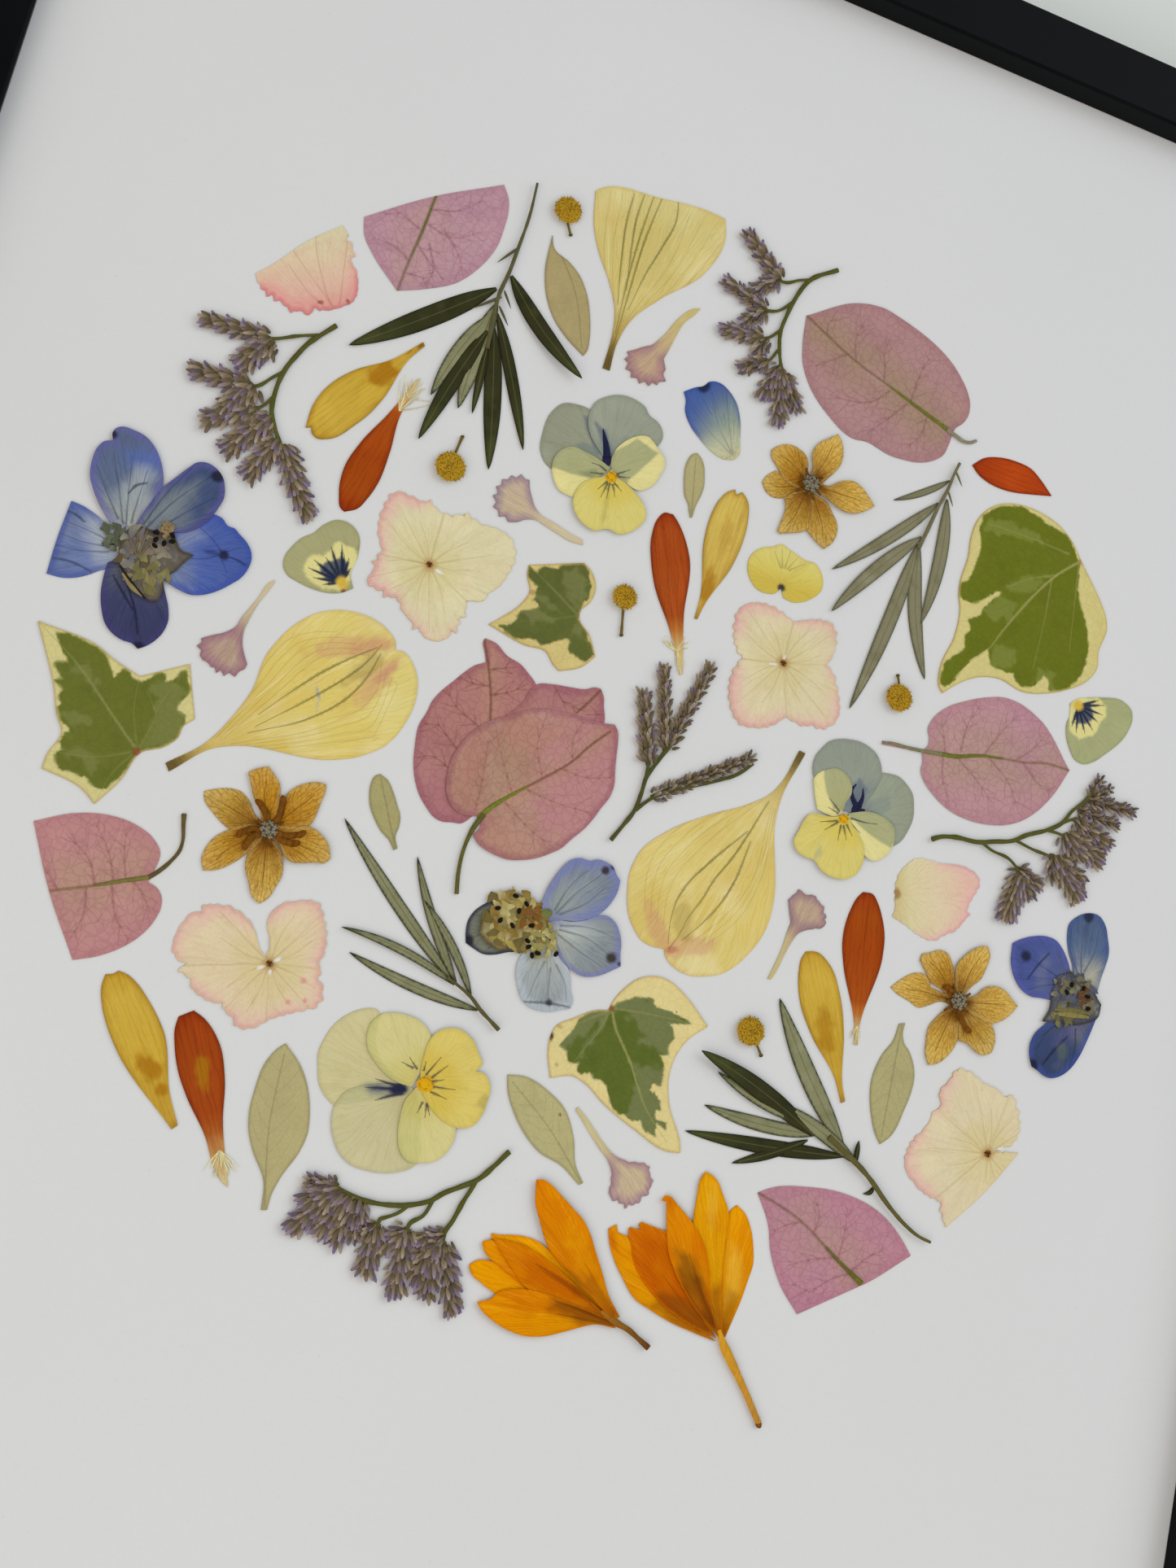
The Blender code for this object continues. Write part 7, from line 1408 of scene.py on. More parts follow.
            -88.3, 15.7, -90, 13.3, -92, 11.8, -94, 11.2, -96, 10.3, -97.5, 8, -100.6, 8, -100.7, 10.3,
            -99.7, 14, -98.7, 17, -97.8, 19, -96.3, 21.3, -94.7, 23.7),
        pts(-101.7, 9.2, -100.3, 10.2, -98, 10.3, -96, 10, -95.2, 11.9, -93.8, 11, -92.8, 9.6,
            -92, 8.6, -89.3, 8.2, -90.7, 6, -92, 3.7, -94, 2.8, -93, 0.7, -93, -2, -94.7, -2.6,
            -96, -2, -98, -1.3, -99.7, 0.3, -101, 2.3, -102.2, 4, -102.4, 6.7)],
    "delphinium_2": [
        pts(-11, -38, -18.7, -37.3, -20.3, -38.7, -21.7, -40.3, -22.6, -42.7, -22.5, -44.7,
            -22, -46.7, -20.3, -47.3, -18.3, -47.8, -16, -47.3, -13.7, -46.2, -11.8, -45.5, -9, -42),
        pts(-8.6, -41, -10.7, -45, -11.5, -47.7, -11.2, -50, -10.3, -52, -9.3, -53.7, -8, -54.7,
            -4.7, -55.1, -2.3, -54.5, -0.7, -53.7, 0.5, -53.3, 0.7, -51.7, 0, -50.3, -0.7, -48,
            -1.7, -46, -3.3, -44.3, -5.3, -43, -6.6, -40.5),
        pts(-7.2, -37.6, -4, -37.5, -0.7, -36.4, 2, -34.6, 3.7, -34.3, 5.3, -35, 6.7, -36.7, 7.5, -38.7,
            7.8, -40.7, 8.4, -42.9, 7, -44, 5.3, -45.3, 3.3, -46.3, 1.3, -46.7, -0.7, -46.2,
            -2.7, -45.3, -4.3, -44, -6, -42, -7.4, -40),
        pts(-9.3, -36.4, -9.2, -32.7, -8.3, -30, -7, -27.3, -5.7, -25.7, -4, -25, -2.3, -25,
            -0.7, -24.3, 0.7, -24.3, 2.5, -24.8, 3.7, -26.3, 4.5, -27, 4.5, -29, 3.7, -31.7, 2.3, -34,
            0.3, -35.7, -2.3, -37, -4.7, -37.5, -7.4, -38.4),
        pts(-18.3, -37, -16.7, -35.7, -15, -35, -13, -35.3, -11.3, -35.2, -10, -36.3, -7.7, -38,
            -7.2, -40, -8, -41.7, -9.7, -43, -10.7, -45.3, -11.7, -46, -14, -45.3, -15.3, -46.3,
            -17.3, -46, -20, -44.3, -20.3, -41.3, -18.3, -39.3)],
    "delphinium_3": [
        pts(105, -4.8, 102.3, -6.3, 100.8, -8.3, 100.8, -11, 101.7, -14, 103, -16.4, 104, -20,
            109.6, -20.5, 110, -17.3, 110.5, -14.7, 110.8, -11.7, 110, -8.7, 109, -6.3, 107.3, -4.8),
        pts(88.8, -15.7, 90.7, -14.3, 93.3, -13, 96, -12.3, 98.3, -12.5, 100, -13.7, 101.3, -15.3,
            102.6, -17.6, 103.5, -21, 101, -24.7, 97.3, -24.9, 95, -25.2, 92.7, -24.5, 90.7, -22.7,
            89.3, -20),
        pts(104, -25, 101, -28, 98.7, -30.3, 97.2, -32.3, 96.5, -34.7, 96.8, -37, 97.7, -39,
            99.3, -39.5, 100.7, -40.1, 102.3, -40.2, 104.3, -39.3, 106.3, -37.3, 107.8, -34.5,
            109.2, -30, 110.2, -26, 107, -24),
        pts(100.3, -19.3, 102.7, -18, 104.3, -18.7, 107.7, -19.3, 109.7, -21.7, 110.8, -22.7,
            110.4, -25.7, 108.7, -27, 106, -28.3, 102.7, -28.7, 100, -29.3, 98.2, -29.5, 99.3, -26.7,
            99.3, -24)],
    "crocus_1": [
        pts(22, -106.4, 14, -101.5, 10, -99, 6.4, -97, 4, -96.1, 1.6, -95.9, -0.8, -96.2, -3.2, -96.7,
            -4.6, -96.8, -4.2, -97.8, -1, -99.5, 6, -103, 14, -106),
        pts(-7.4, -103.2, -6, -102, -3.2, -101.6, 0, -101.4, 4, -102.3, 14, -105.2, 22.3, -107,
            12, -108, 2, -107.6, -1.6, -106.9, -4.4, -105.8, -6.8, -104.4),
        pts(-6, -98.6, -4.6, -98, -2.5, -98.4, 0, -99.5, 6, -101, 14, -103.5, 14, -106.3, 6, -105.4,
            0, -103, -3.2, -101.6, -4, -101.2, -5.6, -99.6),
        pts(-4.2, -97.6, -1.6, -97.4, 1.5, -97.5, 5, -98.4, 9, -100, 14, -102.6, 18, -105, 22.3, -106.8,
            16, -106.8, 8, -105.8, 3, -104.2, 0, -101.6, -2, -99.8),
        pts(-4.5, -109.2, -2, -108, -1.2, -106.8, 2, -105.4, 6, -104.9, 12, -105.3, 18, -106.2,
            22.4, -106.8, 22.4, -108, 18.4, -108.2, 15.6, -109.4, 12.8, -110.8, 9.2, -112.4,
            5.6, -113.1, 2.4, -112.8, -0.8, -111.8, -3.6, -110.2),
        pts(22.8, -105.8, 20, -102.8, 17.6, -98.8, 15.6, -95.6, 13.6, -92.4, 12, -90.6, 9.6, -89,
            6.8, -87.2, 4, -85.6, 2.4, -85.2, 1.3, -85.5, 1.6, -87.2, 2.2, -89.8, 3.6, -92.4,
            5.2, -95.2, 6.2, -96.6, 9.5, -99.2, 14, -102, 18.5, -104.8, 21.6, -106.8)],
    "crocus_2": [
        pts(44.4, -104.8, 45, -102, 46, -97.6, 46.6, -93.6, 47, -90.4, 46.4, -87.6, 45, -84, 43.2, -81.6,
            41.4, -80.6, 40.4, -81.8, 40.1, -84, 40.3, -88, 41, -93, 42, -99, 42.6, -104),
        pts(42.6, -106, 38, -105.4, 33.2, -104.6, 28.4, -103.2, 25.2, -102, 22, -98.9, 19.6, -96,
            18, -93.2, 17.2, -90.8, 18.6, -89.7, 19.2, -91, 21.8, -91.6, 24, -95, 28, -99, 36, -103),
        pts(42.5, -105.4, 36, -99, 32, -94, 29.4, -91, 28.4, -88.7, 26, -88.4, 23.2, -88.1, 22.8, -88.8,
            23.5, -89.6, 21.2, -89.5, 21.1, -90.3, 22.2, -92.6, 23.4, -95.5, 26, -98.5, 30, -101.5,
            36, -104),
        pts(43.6, -104.5, 42.2, -99, 41, -92, 40.4, -86, 40, -82.6, 38, -79.4, 36.4, -77.2, 34.8, -76.3,
            33.6, -76.1, 33, -77.6, 33, -80.8, 33.3, -86, 34.5, -92, 37, -98, 41, -104),
        pts(43, -105.2, 39.5, -98, 38, -93, 36.4, -89.5, 34, -86.7, 31.6, -84.8, 29.2, -83.2,
            27.6, -82.2, 26.6, -82.3, 26.2, -83.4, 27.2, -83.4, 27.8, -86, 28.4, -88.6, 29.5, -92,
            32.5, -96.5, 37, -101)],
}

# Narrow leaves: base x, y, tip x, y, widest, and how far the middle bends to the left of base-to-tip.
BLADES = {
    "sprig_dark": [(-47, 80, -72, 58, 4.2, 0.4), (-44.8, 83.7, -26.3, 67.5, 3.6, -1.0),
                   (-47, 74, -54.3, 54, 3.0, -0.7), (-46.6, 71, -54.5, 44.5, 3.2, -0.4),
                   (-45.6, 72, -39.7, 43.5, 3.6, 0.3), (-45.6, 75, -34, 49.7, 2.6, 0.4),
                   (-46.2, 77, -48.5, 53.3, 3.7, -0.4), (-46, 68, -45.6, 53.2, 1.6, 0)],
    "sprig_grey": [(55.9, 75.3, 44.3, 66.8, 1.5, 0.5), (56, 71, 55.4, 42.7, 3.0, 1.3),
                   (54.2, 69.5, 34, 47.7, 2.6, 0.7), (51.9, 61, 35.7, 39, 3.1, -0.7),
                   (52, 58.9, 58.8, 31.8, 3.2, -1.6), (51.5, 59.3, 43.8, 20.6, 3.2, 0.7)],
    "sprig_small": [(-22.7, -54.3, -49.9, -30.7, 2.5, 0.6), (-22, -54.5, -34.9, -33.7, 2.0, 0.8),
                    (-18.7, -56.1, -31.7, -41.2, 1.8, -0.9), (-22.4, -54.9, -45.6, -50.3, 1.7, -1.3),
                    (-16.8, -58.2, -42.9, -54.3, 2.2, 0.9)],
    "sprig_dark_2": [(61, -66.4, 28, -69.6, 3.0, 0.5), (53, -65.2, 38.6, -73.2, 2.0, 0.4),
                     (53.8, -64, 27.3, -54.3, 3.8, -0.9), (49.6, -62.3, 32, -57.2, 2.0, 0.5),
                     (55, -63.6, 30.8, -63.9, 2.8, 0.9), (60.5, -64.4, 41.5, -40.1, 3.9, 0.9),
                     (64, -67.1, 45, -59.7, 2.9, -0.7), (63.6, -67.3, 63.5, -62.7, 1.1, 0),
                     (68.6, -70.3, 66.6, -72.3, 0.9, 0.6)],
}

# Heads of small flowers along a twig: base x, y, tip x, y and width.
SPIKES = {
    "statice_top": [(10, 104, 0, 112, 3.2), (9.5, 104.2, 4.3, 99.3, 3.0), (8.5, 96.6, -2.7, 99.7, 3.0),
                    (8.5, 96.6, 3.7, 92, 3.0), (9, 90.4, -0.3, 89, 3.2), (10, 91, 8, 85.7, 2.6),
                    (11, 86.2, 5, 82, 3.0), (14, 86, 11, 77.3, 3.2), (14.6, 85, 16, 72.7, 3.4),
                    (14.8, 84.6, 20, 77.3, 3.0)],
    "statice_left": [(-86.5, 53.7, -100.3, 53, 3.7), (-86, 53.8, -91.3, 46, 5.0),
                     (-88, 43.2, -99.7, 42.7, 4.2), (-87.4, 44, -91.3, 36.3, 5.4),
                     (-85, 39.6, -94.7, 33.7, 4.2), (-82.2, 39, -89.7, 29, 4.6),
                     (-80, 35, -84.3, 25.7, 4.4), (-79, 34.5, -74.5, 27.5, 4.4),
                     (-76.6, 30, -70.6, 22, 4.0)],
    "statice_centre": [(5, -3.4, 0.4, 11.6, 4.2), (7.6, 0.4, 3.3, 18.3, 3.7), (8, 1, 13.7, 21.2, 3.9),
                       (7, -9.4, 27.5, 5.8, 3.4)],
    "statice_right": [(86.6, -0.4, 92.8, -3, 3.4), (88.2, -1, 85.6, -12, 5.4), (88.4, -2, 91, -6, 3.6),
                      (94, 4.8, 95, -1, 3.6), (95, 4.6, 102, -3.3, 5.4), (96, 4, 102.7, 0.7, 3.4),
                      (96, 9.8, 100, 5.3, 5.2), (97.6, 9.4, 104.7, 5.7, 4.6), (98, 10, 106, 7.3, 3.2),
                      (97.6, 13.4, 107.3, 10, 3.8), (98.2, 15.4, 108.5, 14.7, 3.0),
                      (99.6, 18.2, 112, 18.7, 3.2), (100.6, 18.6, 102.3, 24.2, 2.8),
                      (101, 19, 105.3, 22.7, 2.2)],
    "statice_bottom": [(-13, -99, -18, -100.8, 3.6), (-13.2, -100.4, -8.3, -112.8, 5.0),
                       (-13.8, -100.4, -17.5, -108.5, 5.2), (-14, -102.5, -14.3, -110.8, 5.0),
                       (-14, -101, -19.5, -104.5, 3.4), (-20.1, -99.6, -20.1, -111.8, 5.6),
                       (-20.2, -99.8, -25, -104.5, 4.6), (-25.8, -100, -26.3, -109.3, 5.6),
                       (-26, -100, -29.6, -103, 3.2), (-30, -96.6, -33.2, -105.8, 5.2),
                       (-31.4, -96.6, -36.5, -104.5, 5.4), (-33, -96, -41.5, -104.8, 5.4),
                       (-34.6, -95.6, -40.6, -95.6, 3.4), (-34, -96, -40.4, -99.5, 5.2),
                       (-29, -97, -30.2, -104.5, 3.4)],
}

# Stems: width at the start and at the end, then the line they follow.
STEMS = {
    "sprig_dark": [(0.9, 1.4, pts(-44.4, 104.4, -44.3, 97.3, -45, 88.7, -45.5, 83.7, -46.3, 79,
                                  -46.2, 72, -46, 67))],
    "sprig_grey": [(1.1, 1.3, pts(57, 79.5, 56.3, 77, 55.5, 73, 54, 68, 52.8, 63, 51.6, 58.4))],
    "sprig_small": [(1.0, 1.2, pts(-24, -54, -21.5, -55, -19, -56.2, -16.3, -58.3, -14, -59.7,
                                   -12.2, -60.8))],
    "sprig_dark_2": [(2.2, 0.9, pts(57, -63.6, 62, -66.2, 65.2, -68, 68, -70, 70.8, -72.4, 73.2, -74.2,
                                    76.4, -76.2, 79.6, -77.6, 82.3, -78.1))],
    "statice_top": [
        (1.3, 0.9, pts(21.7, 111.1, 16.3, 106.7, 13.7, 100.7, 12.8, 96.7, 12.3, 93, 12.8, 89.7,
                       13.7, 86.7, 15, 84)),
        (0.9, 0.8, pts(16.6, 106.8, 14, 105.7, 11, 104, 8.7, 104)),
        (0.9, 0.8, pts(13.4, 100.2, 10.7, 97.3, 7.3, 96.2)),
        (0.9, 0.8, pts(12.4, 93.6, 9.7, 90.7, 7, 89.8)),
        (0.8, 0.8, pts(12.6, 89, 11.3, 86.3, 9, 84.5))],
    "statice_left": [
        (1.3, 1.0, pts(-75.3, 60.8, -77.7, 57.8, -79.3, 55.7, -81, 52.3, -82.3, 49, -82.9, 46,
                       -83, 43.3, -82.7, 40, -81.7, 37.7, -80, 35, -78, 32)),
        (0.9, 0.8, pts(-77.4, 58, -82, 56, -85.3, 54.2, -88, 53.2)),
        (0.9, 0.8, pts(-82.2, 48.6, -84, 46.7, -86.7, 43.7, -90, 43)),
        (0.9, 0.8, pts(-83, 43, -84.3, 40.7, -86.5, 38.4))],
    "statice_centre": [
        (1.1, 1.0, pts(0.9, -19.9, 2.7, -16.3, 4.2, -13, 4.8, -9.3, 5.2, -5.5, 5.7, -4.3, 6.7, -2,
                       8, 0.8, 9.5, 4)),
        (1.0, 0.9, pts(5.1, -6, 4.8, -3, 3.7, 0, 2.3, 3.7)),
        (1.0, 0.8, pts(4.4, -12.8, 6.7, -10, 9.3, -7.7, 14.3, -5, 19.3, -2.3, 23.3, 0.3, 26, 3.3))],
    "statice_right": [
        (1.3, 0.9, pts(66.8, -0.2, 68.3, 0.7, 71.7, 1.7, 77, 2.2, 80.3, 3.3, 84.7, 4.8, 87.3, 6.7,
                       92, 9.3, 95, 11.7, 96.7, 14.7, 99.3, 17.7, 101, 21)),
        (0.9, 0.8, pts(78, 2.3, 80, 1.5, 84.7, 0.7, 86.7, -0.7, 88, -2.5)),
        (0.9, 0.8, pts(85.3, 5, 89.3, 4.3, 93.3, 4, 96, 3.4)),
        (0.9, 0.8, pts(91.6, 9.2, 96, 9, 98, 8)),
        (0.8, 0.8, pts(94.8, 11.6, 98.7, 13.5, 101, 12.6))],
    "statice_bottom": [
        (1.3, 1.0, pts(-4.9, -81.8, -7.2, -85.2, -9.4, -88, -12.8, -90.4, -15.2, -92, -17.2, -93.8,
                       -20, -95.2, -24, -96.3, -28.8, -96.7, -31.6, -96.4, -34, -95.8, -36, -95)),
        (1.2, 1.0, pts(-9.8, -88.2, -10.3, -90, -11.2, -92.4, -12.4, -96.4, -13.4, -99, -13, -101.5)),
        (1.0, 0.9, pts(-16.8, -93.4, -18, -96.8, -20.1, -98.8, -20.2, -101.5)),
        (0.9, 0.8, pts(-21, -95.5, -22.4, -97.2, -25.6, -99.2, -26, -101.5))],
}


# ---------------------------------------------------------------- layered flowers
LAYER_STEP = 0.14                                # each petal above the one before
VEIN_WIDTH = 0.16                                # half the strip of mesh along a raised vein


def layered(name, layers, material, relief, extras, step=LAYER_STEP, overlap_shading=None):
    """A flower of several petals; layers are (base, tip, veins, paint), from the card upwards.

    The last argument is (a factor for the colour, how many of the lowest petals): where a petal lies over one
    of those, its colour is multiplied by the factor, a painted shade in place of the lower petal being seen
    behind it.
    """
    piece = Piece()
    for i, (outline, (base, tip, veins, paint)) in enumerate(zip(LAYERS[name], layers)):
        sheet = Sheet(outline, base, tip, [(VEIN_WIDTH, v) for v in veins], getattr(paint, "fine", ()))
        paint(sheet)
        # Painted shade where a petal lies over a lower one.
        if overlap_shading:
            cover = np.zeros(len(sheet.xy))
            for below in LAYERS[name][:min(i, overlap_shading[1])]:
                line = rounded(below, 0.5)
                gap = distance(sheet.xy, line, True)[0] * np.where(inside(sheet.xy, line), 1, -1)
                cover = np.maximum(cover, step_up(-0.25, 0.25, gap))
            sheet.mix(sheet.colour * np.array(overlap_shading[0]), cover)
        if hasattr(paint, "over"):
            paint.over(sheet)
        sheet.settle(**{"seed": 10 + len(name), **relief})
        sheet.lift(i * step)
        piece.add_sheet(sheet, SHEET_THICKNESS)
    extras(piece, len(layers) * step)
    return piece.make(name, material, name)


# ---- bougainvillea
def rose(midrib, veins, stops, spots, net):
    """The paint of a bract with a brown net of veins; net is how strongly it is drawn."""
    rib = rounded(midrib, 0.4, closed=False)
    small = veinlets(veins)

    def paint(s):
        s.gradient(stops)
        s.mottle(rgb(184, 134, 126), 0.5, 8.0, 131)
        s.mottle(rgb(156, 98, 104), 0.4, 6.0, 132, 0.05)
        for spot in spots:
            s.spot(*spot, ragged=0.4)
        near = distance(s.xy, rib)[0]
        s.mix(rgb(176, 134, 112), 0.45 * (1 - step_up(0.5, 3.5, near)))
        s.margin(1.6, rgb(150, 90, 102), 0.55)
        s.lines(veins, rgb(178, 136, 112), 0.6, 0.25, (1.0, 0.4))
        s.lines(small, rgb(134, 78, 78), 0.2, 0.58 * net, (1.0, 0.5))
        s.lines(veins, rgb(126, 76, 72), 0.26, 0.7 * net, (1.0, 0.5))
        s.mix(rgb(112, 72, 54), 0.8 * (1 - step_up(0.08, 0.34, near)))

    paint.fine = small
    return paint


def rose_layer(base, tip, midrib, veins, stops, spots=(), net=1.0, bare=0):
    """A bract with raised veins; the first points of the midrib are bare of colour."""
    return base, tip, [midrib, *veins], rose(midrib[bare:], veins, stops, spots, net)


ROSE_TAN = rgb(178, 132, 114)
ROSE = rgb(174, 120, 114)
ROSE_MAUVE = rgb(168, 112, 116)


def bougainvillea_extras(piece, top):
    green = rgb(118, 122, 44)
    piece.add_tube(pts(-8, -5, -12, -9.6, -15, -12.3, -20, -16.8), (0.3, 0.5), rgb(120, 94, 52), top - 0.1,
                   seed=3)
    piece.add_tube(pts(-17.5, -14.5, -20, -17, -24, -21.3, -25.3, -23.3), (0.4, 1.3), green, top + 0.02,
                   knots=0.1)
    piece.add_tube(pts(-24.6, -22.4, -26, -26, -26.7, -30, -26.6, -34.7, -26, -38.4), (1.1, 0.8, 0.75, 1.0),
                   rgb(96, 92, 44), 0.5, knots=0.15, seed=5)


layered("bougainvillea", [
    rose_layer((-27, -6), (-34, -20), pts(-32.3, 10.3, -30, 4.7, -28.3, -0.7, -27.5, -4.5),
               [pts(-29.3, -6.3, -35, -3.5, -38, 0), pts(-32.5, -11.7, -37, -8.3, -40, -9),
                pts(-33, -15.8, -37, -14.5, -39.4, -15.5), pts(-29.3, 2, -33, 1.5, -35.3, 1.8),
                pts(-30.2, 5, -27, 6.4, -25, 7.2), pts(-28.6, 0.4, -25, 2.2, -22, 4.8)],
               [(0, ROSE), (0.5, rgb(170, 118, 112)), (1, ROSE_MAUVE)],
               [(-31, 6, 4, rgb(176, 130, 112), 0.5)]),
    rose_layer((-20, -12), (-7, 7), pts(-7.7, 8, -9.5, 5, -11.3, 2.3),
               [pts(-17, 6, -14, 3.4, -10.5, 3), pts(-6.2, 3.5, -9.5, 2.4)],
               [(0, ROSE_TAN), (0.8, ROSE_MAUVE), (1, rgb(164, 106, 112))]),
    rose_layer((-25, -23), (-4, 0.7), pts(-25.3, -23.3, -20, -17, -15, -12.3, -10, -7.3, -7.3, -3.3, -4, 0.7),
               [pts(-20, -17, -24, -10, -26, -6), pts(-15, -12.3, -17.5, -6, -17, 0),
                pts(-18, -15.2, -12, -16, -4, -16), pts(-12, -9.3, -7, -9.6, -1.6, -8),
                pts(-21.5, -18.6, -16, -22, -10, -24.6), pts(-10, -7.3, -10.8, -3, -9.5, 1),
                pts(-26.3, -22, -26.3, -16.7, -27, -8.3)],
               [(0, rgb(178, 134, 116)), (0.3, rgb(180, 140, 124)), (0.75, rgb(182, 138, 128)),
                (1, rgb(176, 122, 124))],
               [(-21, -6, 7, rgb(170, 116, 96), 0.45, 9, 20), (-14, -3, 5, rgb(176, 120, 104), 0.35),
                (-28.5, -12, 3, rgb(178, 118, 108), 0.4, 7, 10),
                (-7, -14, 11, rgb(184, 128, 132), 0.7, 15, 20),
                (-22, -14, 6, rgb(160, 134, 108), 0.4, 9, -20)], 0.55, bare=1),
], MAT_BRACT, dict(curl=0.25, ripple=0.16, rib=0.14), bougainvillea_extras, step=0.1,
        overlap_shading=((0.95, 0.93, 0.92), 1))


# ---- ochre stars
OCHRE_PALE = rgb(232, 188, 88)
OCHRE_DEEP = rgb(196, 134, 8)


def star_petal(paleness):
    """An ochre petal; paleness runs from -1, deep, to 1, pale."""
    def paint(s):
        s.gradient([(0, rgb(112, 68, 16)), (0.2, rgb(150, 104, 32)), (0.55, rgb(188, 148, 60)),
                    (1, rgb(212, 182, 104))])
        s.mottle(rgb(208, 176, 98), 0.45, 3.0, 141)
        s.mottle(rgb(164, 118, 44), 0.4, 2.4, 143, 0.05)
        s.mix(OCHRE_PALE, 0.75 * max(paleness, 0) * step_up(0.1, 0.4, s.along))
        s.mix(OCHRE_DEEP, 0.9 * max(-paleness, 0))
        s.margin(0.9, rgb(200, 168, 98), 0.5)
        s.margin(0.25, rgb(150, 110, 50), 0.35)
        s.tint_veins(rgb(112, 66, 16), 0.7)
    return paint


MAT_STAR = dried("Dried ochre star", net=0.4, net_size=1.2, net_dark=0.55, streak=0.14, streak_width=0.3,
                 streak_length=4, grain=0.2, bump=0.6, fan=(1.2, 0.17, (0.5, 0.4, 0.26), 0.62, 3.0))


def star(name, stamens, paleness):
    """Paleness is given petal by petal, from the lowest upwards."""
    x, y, r = {"star_1": (25.5, 63.5, 1.7), "star_2": (-63, -37, 1.5), "star_3": (78.9, -30.7, 1.6)}[name]
    layers = []
    for outline, pale in zip(LAYERS[name], paleness):
        middle = outline.mean(0)
        far = outline[np.hypot(*(outline - (x, y)).T).argmax()]
        base = np.array([x, y]) + unit(middle - (x, y)) * 1.5
        near = [base, (base + middle) / 2, middle, (middle + far) / 2]
        layers.append((base, far, [near], star_petal(pale)))

    def extras(piece, top):
        brown = rgb(116, 72, 18)
        for i in range(10):
            turn = math.radians(i * 36 + 8)
            far = 2.9 + 0.7 * math.sin(i * 2.4)
            end = (x + far * math.cos(turn), y + far * math.sin(turn))
            piece.add_tube([(x + 1.0 * math.cos(turn), y + 1.0 * math.sin(turn)), end], (0.8, 0.4), brown,
                           top + 0.1)
        for sx, sy in stamens:
            way = unit(np.array([sx - x, sy - y]))
            piece.add_tube([(x + way[0], y + way[1]),
                            ((x + sx) / 2 + way[1] * 0.6, (y + sy) / 2 - way[0] * 0.6), (sx, sy)],
                           (1.0, 1.3, 1.1), brown, top + 0.2, knots=0.2, seed=int(sx))
            piece.add_lump((sx, sy, top + 0.25), (2.1, 1.3, 0.7), rgb(122, 72, 16),
                           math.degrees(math.atan2(way[1], way[0])) + 40, rough=0.15)
        piece.add_lump((x, y, top + 0.55), (2 * r, 2 * r, 1.5), rgb(126, 120, 100), rings=8, sides=14,
                       rough=0.06)
        for i in range(46):
            lean, turn = math.acos(1 - 0.95 * (i + 0.5) / 46), i * GOLDEN_ANGLE
            px, py = x + r * math.sin(lean) * math.cos(turn), y + r * math.sin(lean) * math.sin(turn)
            shade = rgb(150, 142, 118) if i % 3 else rgb(84, 78, 62)
            piece.add_lump((px, py, top + 0.55 + 0.72 * math.cos(lean)), (0.55, 0.5, 0.4), shade, rings=3,
                           sides=5)

    layered(name, layers, MAT_STAR, dict(curl=0.5, ripple=0.14, rib=0.1), extras, step=0.1)


star("star_1", [], (-0.1, -0.3, -0.15, 0, 0.55, 0.55))
star("star_2", [(-57, -36), (-57.7, -38), (-67.7, -39), (-65.7, -32.7), (-66.3, -40.8), (-61.7, -31)],
     (0, -0.35, 0.2, -0.55, -0.6, -0.25))
star("star_3", [(82, -35.6), (76, -28.6)], (0.5, -0.3, 0.4, 0, 0.5, 0.5))


# ---- violas
def viola_back(outer, inner, seed, patches):
    """The petals behind; patches are (outline, colour, amount)."""
    def paint(s):
        s.gradient([(0, inner), (0.45, outer), (1, outer * 0.94)])
        s.mottle(outer * 1.16, 0.5, 5.0, seed)
        s.streaks(outer * 0.72, 0.4, 0.5, seed + 1, 9.0)
        s.margin(1.0, outer * 0.8, 0.55)
        for line, colour, amount in patches:
            s.patch(line, colour, amount, 0.5, 1.4, 0.5)
    return paint


def viola_front(zone, outer, throat, reach, whiskers, seed, more=(), patches=(), overlap_shade_outline=(), rays=()):
    """The petals in front: a zone round the throat, fine dark whiskers and patches.

    Where a petal lies over one behind it, the outline given for that is darkened as painted shade; rays are
    the lines of a dark mark.
    """
    throat = np.array(throat)

    def paint(s):
        near = np.hypot(*(s.xy - throat).T)
        s.mix(outer, 1.0)
        s.mottle(outer * 1.1, 0.55, 5.0, seed)
        s.mottle(outer * np.array([0.9, 0.9, 0.8]), 0.5, 3.0, seed + 3)
        s.mix(zone, 0.85 * (1 - step_up(reach * 0.45, reach, near + 1.2 * noise(s.xy, 2.5, seed + 2))))
        s.streaks(outer * 0.78, 0.35, 0.45, seed + 1, 9.0)
        s.margin(0.7, outer * 0.82, 0.55)
        # Painted shade where this petal lies over a petal behind it.
        if len(overlap_shade_outline):
            s.patch(overlap_shade_outline, s.colour * np.array(OVERLAP_SHADE_FACTOR), 1.0, 0.1, 2.0, 0.25)
        for line, colour, amount in patches:
            s.patch(line, colour, amount, 0.4, 1.4, 0.4)

    def over(s):
        for spot in more:
            s.spot(*spot)
        s.lines(rays, NAVY, 0.5, 0.85, (1.0, 0.8, 0.2))
        s.lines(whiskers, rgb(40, 38, 56), 0.24, 0.9, (1.0, 0.8, 0.3))

    paint.fine = [*whiskers, *rays]
    paint.over = over
    return paint


THROAT_GOLD = rgb(218, 166, 22)


def throat_extras(x, y, r):
    """The golden throat of a viola: a lump with 14 grains on it."""
    def extras(piece, top):
        piece.add_lump((x, y, top + 0.05), (2 * r, 1.7 * r, 0.9), THROAT_GOLD, rings=6, sides=10, rough=0.12)
        for i in range(14):
            turn = i * GOLDEN_ANGLE
            far = r * (0.4 + 0.6 * ((i * 0.618) % 1))
            piece.add_lump((x + far * math.cos(turn), y + far * math.sin(turn), top + 0.35), (0.5, 0.4, 0.35),
                           THROAT_GOLD * (1.12 if i % 2 else 0.75), rings=3, sides=5)
    return extras


